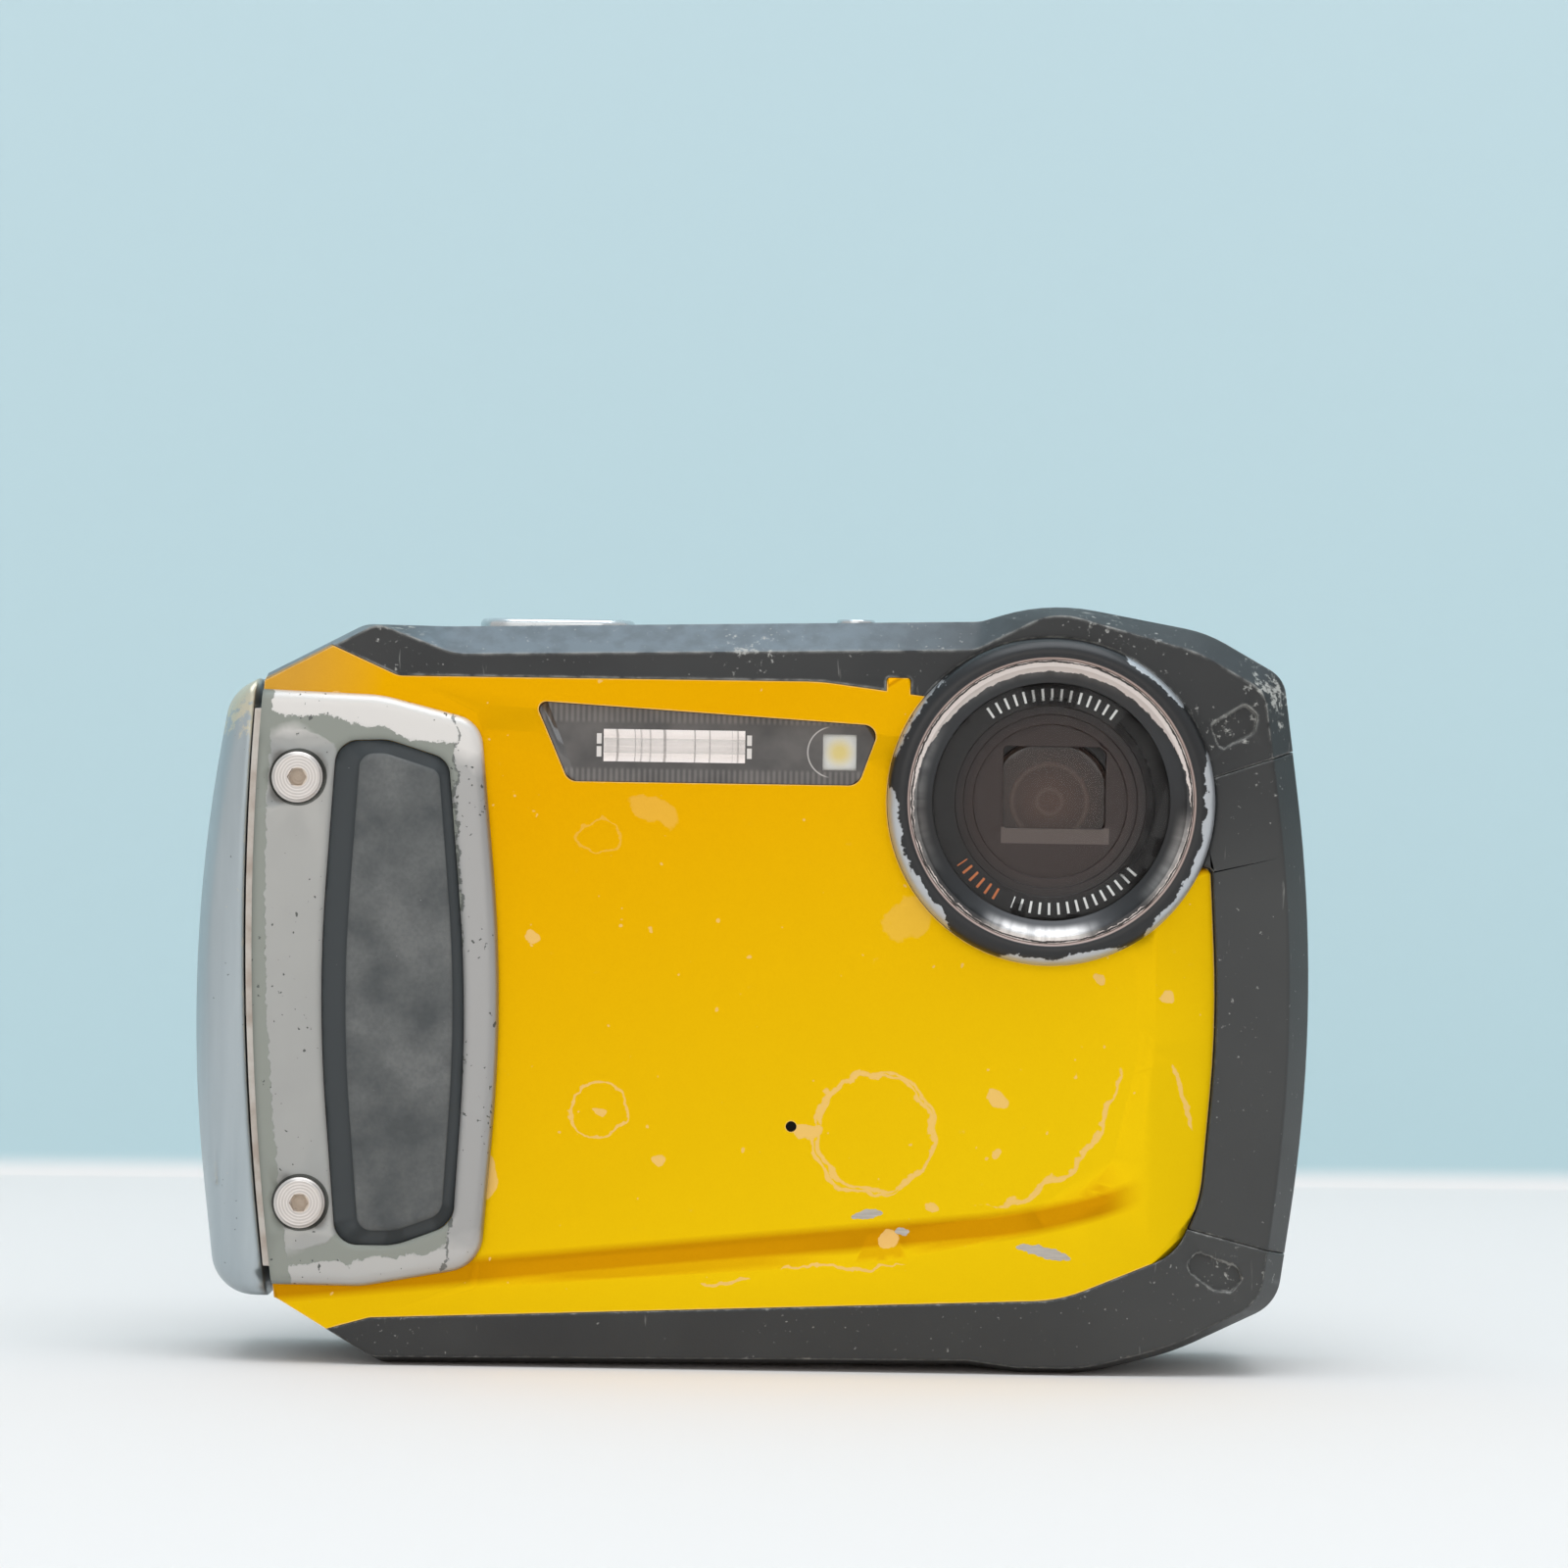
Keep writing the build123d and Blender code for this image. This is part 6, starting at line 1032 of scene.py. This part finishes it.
# ------------------------------ side door
# The lockable door over the battery and sockets: silver paint on a hard plastic moulding, gone
# creamy at its top corner, in a thin pressed steel frame, with a black turn lock. Its blue cast
# and its long vertical streaks are painted reflection.
DOOR_SILVER_BLUE_CAST = "B4BDC1"
DOOR_RUB = "CFC9B4"
DOOR_REFLECTION_STREAK = "A3ADB2"
DOOR_SPECK = "6F7577"
PRESSED_STEEL = "C6C0B9"
STEEL_STAIN = "AFA298"
RUBBED_CORNER, RUBBED = (LEFT + 4.0, -9.0, 63.5), (8.0, 0.0)   # creamy corner, and its reach
SOFT_EDGE = 0.8       # radius that the moulding's edges are shaded with

door_material, tree, place = new_material("silver_paint_on_plastic")
lean = edge_lean(tree, 0.5)[0]
corner = add_node(tree, "VectorMath", {0: place, 1: RUBBED_CORNER},
                  operation="DISTANCE").outputs["Value"]
corner = add_node(tree, "MapRange", {0: corner, 1: RUBBED[0], 2: RUBBED[1], 4: 0.5}).outputs[0]
rub = add_node(tree, "Math", {0: lean, 1: 0.8, 2: corner}, operation="MULTIPLY_ADD").outputs[0]
rub = worn(tree, place, rub, 1.2, 1.0, 0.68, 0.78)
# Painted reflection: long vertical streaks of darker silver, as on a curved polished face, over a
# blue cast from the wall.
reflection_streaks = add_node(tree, "Mapping", {0: place, 3: (1.0, 0.6, 0.08)}).outputs[0]
reflection_streaks = add_node(tree, "TexNoise", {"Vector": reflection_streaks, "Scale": 1.0, "Detail": 4.0}).outputs[0]
paint = add_node(tree, "Mix", {0: reflection_streaks, 6: linear(DOOR_SILVER_BLUE_CAST), 7: linear(DOOR_REFLECTION_STREAK)},
                 data_type="RGBA").outputs[2]
specks = add_node(tree, "TexNoise", {"Vector": place, "Scale": 1 / 0.5, "Detail": 1.0}).outputs[0]
specks = add_node(tree, "MapRange", {0: specks, 1: 0.78, 2: 0.81, 4: 0.7}).outputs[0]
colour = add_node(tree, "Mix", {0: rub, 6: paint, 7: linear(DOOR_RUB)}, data_type="RGBA").outputs[2]
colour = add_node(tree, "Mix", {0: specks, 6: colour, 7: linear(DOOR_SPECK)},
                  data_type="RGBA").outputs[2]
rounded = add_node(tree, "Bevel", {"Radius": SOFT_EDGE * MM}, samples=8).outputs[0]
skin = add_node(tree, "BsdfPrincipled", {"Base Color": colour, "Metallic": 0.55, "Roughness": 0.3,
                                         "Normal": rounded})
add_node(tree, "OutputMaterial", {"Surface": skin.outputs[0]})
softened("side_door", door_material, 0.0)

frame_material, tree, place = new_material("pressed_steel")
stain = add_node(tree, "TexNoise", {"Vector": place, "Scale": 1 / 2.5, "Detail": 5.0}).outputs[0]
stain = add_node(tree, "MapRange", {0: stain, 1: 0.4, 2: 0.65}).outputs[0]
colour = add_node(tree, "Mix", {0: stain, 6: linear(PRESSED_STEEL), 7: linear(STEEL_STAIN)},
                  data_type="RGBA").outputs[2]
skin = add_node(tree, "BsdfPrincipled", {"Base Color": colour, "Metallic": 0.7, "Roughness": 0.36})
add_node(tree, "OutputMaterial", {"Surface": skin.outputs[0]})
softened("door_frame", frame_material, 0.06)
softened("lock_dial", cover_material, 0.0)
for node in ("hinge_pin", "lock_bolt", "case_screws"):
    softened(node, steel_material, 0.05)

# ------------------------------ strap bar
# A plain steel pin across the strap slot, with its ends in the cover. The upper end stands a
# little proud where the case slopes in, and is finished in the cover's own nylon.
BAR_END = 2.0         # how much of each end is in the cover

bar = softened("strap_bar", steel_material, 0.0)
bar.data.materials.append(cover_material)
slot_top = (corners("strap_bar")[1][2] - BAR_END) * MM
form = bmesh.new()
form.from_mesh(bar.data)
bmesh.ops.bisect_plane(form, geom=form.verts[:] + form.edges[:] + form.faces[:],
                       plane_co=(0.0, 0.0, slot_top), plane_no=(0.0, 0.0, 1.0))
for face in form.faces:
    face.material_index = int(face.calc_center_median().z > slot_top)
form.to_mesh(bar.data)
form.free()

# ------------------------------ seals
# Black silicone rubber: the door's seal, the one between the covers, and the mat under the keys.
SEAL_BLACK = "1B1C1D"
SEAL_BLOOM = "2E2F30"

seal_material, tree, place = new_material("silicone_rubber")
bloom = add_node(tree, "TexNoise", {"Vector": place, "Scale": 1 / 2.0, "Detail": 3.0}).outputs[0]
colour = add_node(tree, "Mix", {0: bloom, 6: linear(SEAL_BLACK), 7: linear(SEAL_BLOOM)},
                  data_type="RGBA").outputs[2]
skin = add_node(tree, "BsdfPrincipled", {"Base Color": colour, "Roughness": 0.62})
add_node(tree, "OutputMaterial", {"Surface": skin.outputs[0]})
for node in ("door_seal", "body_seal", "key_mat"):
    frame["nodes"][node].data.materials[0] = seal_material

# ------------------------------ top buttons
# A long chromed shutter button and a small round power button, both in plated plastic, which
# stand a little above the top; the power button carries the usual ring and stroke.
ICON_LIFT = 0.02      # printed marks stand this far off the key
CORE = 0.02           # share of a filled mark that its inner loop keeps
RING_OUT, RING_IN = 0.85, 0.7         # radii of the ring on the power button
STROKE = (-0.08, 0.35), (0.08, 1.05)  # near left and far right corners, from the middle
CHROME = "CDD3D6"
WHITE_INK = "DADBDA"
WHITE_WORN = "B9BBBB"
RED_INK = "C23A30"
RED_WORN = "A4322A"

chrome_material, tree, place = new_material("satin_chromed_plastic")
rough = add_node(tree, "TexNoise", {"Vector": place, "Scale": 1 / 2.0, "Detail": 4.0}).outputs[0]
rough = add_node(tree, "MapRange", {0: rough, 1: 0.3, 2: 0.7, 3: 0.18, 4: 0.32}).outputs[0]
skin = add_node(tree, "BsdfPrincipled", {"Base Color": linear(CHROME), "Metallic": 0.9,
                                         "Roughness": rough})
add_node(tree, "OutputMaterial", {"Surface": skin.outputs[0]})
for node in ("shutter_button", "power_button"):
    softened(node, chrome_material, 0.12)

white_ink, tree, place = new_material("white_pad_print")
fade = add_node(tree, "TexNoise", {"Vector": place, "Scale": 1 / 0.3, "Detail": 2.0}).outputs[0]
colour = add_node(tree, "Mix", {0: fade, 6: linear(WHITE_INK), 7: linear(WHITE_WORN)},
                  data_type="RGBA").outputs[2]
skin = add_node(tree, "BsdfPrincipled", {"Base Color": colour, "Roughness": 0.5})
add_node(tree, "OutputMaterial", {"Surface": skin.outputs[0]})
red_ink, tree, place = new_material("red_pad_print")
fade = add_node(tree, "TexNoise", {"Vector": place, "Scale": 1 / 0.3, "Detail": 2.0}).outputs[0]
colour = add_node(tree, "Mix", {0: fade, 6: linear(RED_INK), 7: linear(RED_WORN)},
                  data_type="RGBA").outputs[2]
skin = add_node(tree, "BsdfPrincipled", {"Base Color": colour, "Roughness": 0.5})
add_node(tree, "OutputMaterial", {"Surface": skin.outputs[0]})


def printed(name, node, outer, axis, level, ink, inner=None):
    """Flat printed band between two loops, or a filled mark, that rides with its key.

    The loops are points across the axis (2 for a top key, 1 for a back key), lifted to the
    level along it. A filled mark is a band that almost closes on its own middle.
    """
    if inner is None:
        inner = outer * CORE + outer.mean(axis=0) * (1 - CORE)
    points = np.insert(np.vstack([outer, inner]), axis, level, axis=1)
    piece = mesh_piece(name, points, grid_faces(2, len(outer), closed=True), ink)
    form = bmesh.new()
    form.from_mesh(piece.data)
    normal = sum((face.normal * face.calc_area() for face in form.faces), Vector())
    if normal[axis] < 0:
        bmesh.ops.reverse_faces(form, faces=form.faces)
    form.to_mesh(piece.data)
    form.free()
    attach(piece, frame["nodes"][node]["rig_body"])


def loop(centre, radius, count, start=0.0):
    """Points at equal angles on a circle: centre + radius * (cos, sin)."""
    turn = start + np.arange(count) * (2 * math.pi) / count
    return np.column_stack([centre[0] + radius * np.cos(turn), centre[1] + radius * np.sin(turn)])


low, high = corners("power_button")
middle = (low + high) / 2
printed("power_ring", "power_button", loop(middle, RING_OUT, 32), 2, high[2] + ICON_LIFT, white_ink,
        loop(middle, RING_IN, 32))
(left, front), (right, back) = STROKE
stroke = np.array([[left, front], [right, front], [right, back], [left, back]]) + middle[:2]
printed("power_stroke", "power_button", stroke, 2, high[2] + 1.5 * ICON_LIFT, white_ink)

# ------------------------------ monitor and rear keys
# A black-bordered acrylic window over the monitor, and moulded keys beside it: a zoom rocker,
# movie, play and back keys, and a tilting ring round the centre key, with plain printed marks.
SCREEN_BORDER = 3.0
BORDER_BLACK = "0B0B0C"
SCREEN_GREY = "1D2124"
HAIRLINE = "7C8084"
KEY_GREY = "45484A"
KEY_WORN = "8B8E8F"
low, high = corners("monitor_window")
middle, half = (low + high) / 2, (high - low) / 2

monitor_material, tree, place = new_material("coated_acrylic")
glassy = block_mask(tree, place, middle[::2], half[::2] - SCREEN_BORDER)
colour = add_node(tree, "Mix", {0: glassy, 6: linear(BORDER_BLACK), 7: linear(SCREEN_GREY)},
                  data_type="RGBA").outputs[2]
hair = add_node(tree, "Mapping", {0: place, 2: (0.0, 0.7, 0.0), 3: (2.5, 1.0, 0.08)}).outputs[0]
hair = add_node(tree, "TexNoise", {"Vector": hair, "Scale": 1.0, "Detail": 2.0}).outputs[0]
hair = add_node(tree, "MapRange", {0: hair, 1: 0.74, 2: 0.78, 4: 0.25}).outputs[0]
colour = add_node(tree, "Mix", {0: hair, 6: colour, 7: linear(HAIRLINE)},
                  data_type="RGBA").outputs[2]
rough = add_node(tree, "MapRange", {0: hair, 2: 0.25, 3: 0.06, 4: 0.3}).outputs[0]
skin = add_node(tree, "BsdfPrincipled", {"Base Color": colour, "Roughness": rough})
add_node(tree, "OutputMaterial", {"Surface": skin.outputs[0]})
softened("monitor_window", monitor_material, 0.12)

key_material, tree, place = new_material("dark_moulded_polycarbonate")
lean = edge_lean(tree, 0.3)[0]
wear = worn(tree, place, lean, 0.7, 0.8, 0.80, 0.9)
colour = add_node(tree, "Mix", {0: wear, 6: linear(KEY_GREY), 7: linear(KEY_WORN)},
                  data_type="RGBA").outputs[2]
grain = add_node(tree, "TexNoise", {"Vector": place, "Scale": 1 / 0.15, "Detail": 2.0}).outputs[0]
bump = add_node(tree, "Bump", {"Strength": 0.2, "Distance": 0.02 * MM, "Height": grain}).outputs[0]
skin = add_node(tree, "BsdfPrincipled", {"Base Color": colour, "Roughness": 0.4, "Normal": bump})
add_node(tree, "OutputMaterial", {"Surface": skin.outputs[0]})
for node in ("zoom_rocker", "movie_button", "play_button", "back_button", "nav_ring", "ok_button",
             "battery_latch"):
    softened(node, key_material, 0.1)

triangle = loop((0.0, 0.0), 0.9, 3)
square = loop((0.0, 0.0), 0.8, 4, math.pi / 4)
dot = loop((0.0, 0.0), 0.8, 24)
MARKS = [             # name, key, outline, turn in degrees, shift (x, z) from its middle, ink
    ("movie_dot", "movie_button", dot, 0, (0.0, 0.0), red_ink),
    ("play_mark", "play_button", triangle, 180, (0.0, 0.0), white_ink),
    ("back_mark", "back_button", square, 0, (0.0, 0.0), white_ink),
    ("nav_up", "nav_ring", triangle * 0.7, 90, (0.0, 6.0), white_ink),
    ("nav_down", "nav_ring", triangle * 0.7, -90, (0.0, -6.0), white_ink),
    ("nav_left", "nav_ring", triangle * 0.7, 180, (-6.0, 0.0), white_ink),
    ("nav_right", "nav_ring", triangle * 0.7, 0, (6.0, 0.0), white_ink),
    ("zoom_in", "zoom_rocker", square * (1.3, 0.25), 0, (-4.0, 0.0), white_ink),
    ("zoom_in_cross", "zoom_rocker", square * (0.25, 1.3), 0, (-4.0, 0.0), white_ink),
    ("zoom_out", "zoom_rocker", square * (1.3, 0.25), 0, (4.0, 0.0), white_ink),
]
for name, node, shape, turn, shift, ink in MARKS:
    low, high = corners(node)
    middle = (low + high) / 2
    c, s = math.cos(math.radians(turn)), math.sin(math.radians(turn))
    shape = shape @ np.array([[c, s], [-s, c]]) + (middle[0] + shift[0], middle[2] + shift[1])
    printed(name, node, shape, 1, high[1] + ICON_LIFT, ink)

# ------------------------------ tripod bush
# A turned brass bush in the base, nickel plated, with worn thread crests.
NICKEL = "C4BFB4"
BRASS = "C9A86A"

brass_material, tree, place = new_material("nickel_plated_brass")
lean = edge_lean(tree, 0.3)[0]
wear = worn(tree, place, lean, 0.6, 0.8, 0.7, 0.8)
colour = add_node(tree, "Mix", {0: wear, 6: linear(NICKEL), 7: linear(BRASS)},
                  data_type="RGBA").outputs[2]
skin = add_node(tree, "BsdfPrincipled", {"Base Color": colour, "Metallic": 1.0, "Roughness": 0.32})
add_node(tree, "OutputMaterial", {"Surface": skin.outputs[0]})
softened("tripod_bush", brass_material, 0.1)

# ------------------------------ inside: boards and sheets
# Printed circuit boards with a green mask over copper, and the pressed sheets, cans and motors
# round them, as they come from their makers.
TRACK = 0.9           # width of the copper tracks that show through the mask
STRIPE_Z, STRIPE_HALF = 12.0, 1.2     # level of the stripe round the battery, and half its width
MASK_GREEN = "1E5A3C"
TRACK_GREEN = "3C8058"
SHEET_STEEL = "B4B6B8"
FILM_BLUE = "2C3440"
FILM_STRIPE = "C9CCD0"
NYLON_BLACK = "1E1F20"
NYLON_GREY = "2B2C2D"
CERAMIC = "D8D3C4"
CERAMIC_DARK = "C2BBA8"

board_material, tree, place = new_material("fibreglass_circuit_board")
tracks = add_node(tree, "TexBrick", {0: place, "Scale": 1 / (4 * TRACK), "Mortar Size": 0.06},
                  offset=0.3).outputs[1]
colour = add_node(tree, "Mix", {0: tracks, 6: linear(MASK_GREEN), 7: linear(TRACK_GREEN)},
                  data_type="RGBA").outputs[2]
skin = add_node(tree, "BsdfPrincipled", {"Base Color": colour, "Roughness": 0.4})
add_node(tree, "OutputMaterial", {"Surface": skin.outputs[0]})
sheet_material, tree, place = new_material("rolled_steel_sheet")
rolled = add_node(tree, "Mapping", {0: place, 3: (4.0, 4.0, 0.15)}).outputs[0]
rough = add_node(tree, "TexNoise", {"Vector": rolled, "Scale": 1.0, "Detail": 3.0}).outputs[0]
rough = add_node(tree, "MapRange", {0: rough, 1: 0.3, 2: 0.7, 3: 0.3, 4: 0.48}).outputs[0]
skin = add_node(tree, "BsdfPrincipled", {"Base Color": linear(SHEET_STEEL), "Metallic": 1.0,
                                         "Roughness": rough})
add_node(tree, "OutputMaterial", {"Surface": skin.outputs[0]})
wrap_material, tree, place = new_material("printed_battery_film")
height = add_node(tree, "SeparateXYZ", {0: place}).outputs[2]
stripe = add_node(tree, "Math", {0: height, 1: STRIPE_Z, 2: STRIPE_HALF},
                  operation="COMPARE").outputs[0]
colour = add_node(tree, "Mix", {0: stripe, 6: linear(FILM_BLUE), 7: linear(FILM_STRIPE)},
                  data_type="RGBA").outputs[2]
skin = add_node(tree, "BsdfPrincipled", {"Base Color": colour, "Roughness": 0.45})
add_node(tree, "OutputMaterial", {"Surface": skin.outputs[0]})
dark_material, tree, place = new_material("black_nylon_moulding")
grain = add_node(tree, "TexNoise", {"Vector": place, "Scale": 1 / 0.3, "Detail": 2.0}).outputs[0]
colour = add_node(tree, "Mix", {0: grain, 6: linear(NYLON_BLACK), 7: linear(NYLON_GREY)},
                  data_type="RGBA").outputs[2]
skin = add_node(tree, "BsdfPrincipled", {"Base Color": colour, "Roughness": 0.5})
add_node(tree, "OutputMaterial", {"Surface": skin.outputs[0]})
ceramic_material, tree, place = new_material("glazed_ceramic")
grain = add_node(tree, "TexNoise", {"Vector": place, "Scale": 1 / 0.6, "Detail": 2.0}).outputs[0]
colour = add_node(tree, "Mix", {0: grain, 6: linear(CERAMIC), 7: linear(CERAMIC_DARK)},
                  data_type="RGBA").outputs[2]
skin = add_node(tree, "BsdfPrincipled", {"Base Color": colour, "Roughness": 0.35})
add_node(tree, "OutputMaterial", {"Surface": skin.outputs[0]})
FINISHES = {
    board_material: ("main_board", "key_board", "top_board"),
    sheet_material: ("chassis", "card_slot", "lcd_module", "flash_capacitor", "port_block",
                     "zoom_motor"),
    wrap_material: ("battery",),
    dark_material: ("microphone", "battery_case", "memory_card", "nav_plunger", "lens_barrel",
                    "zoom_carriage", "focus_carriage"),
    ceramic_material: ("gps_antenna", "image_sensor"),
    steel_material: ("guide_rods", "lead_screw"),
}
for finish, nodes in FINISHES.items():
    for node in nodes:
        frame["nodes"][node].data.materials[0] = finish
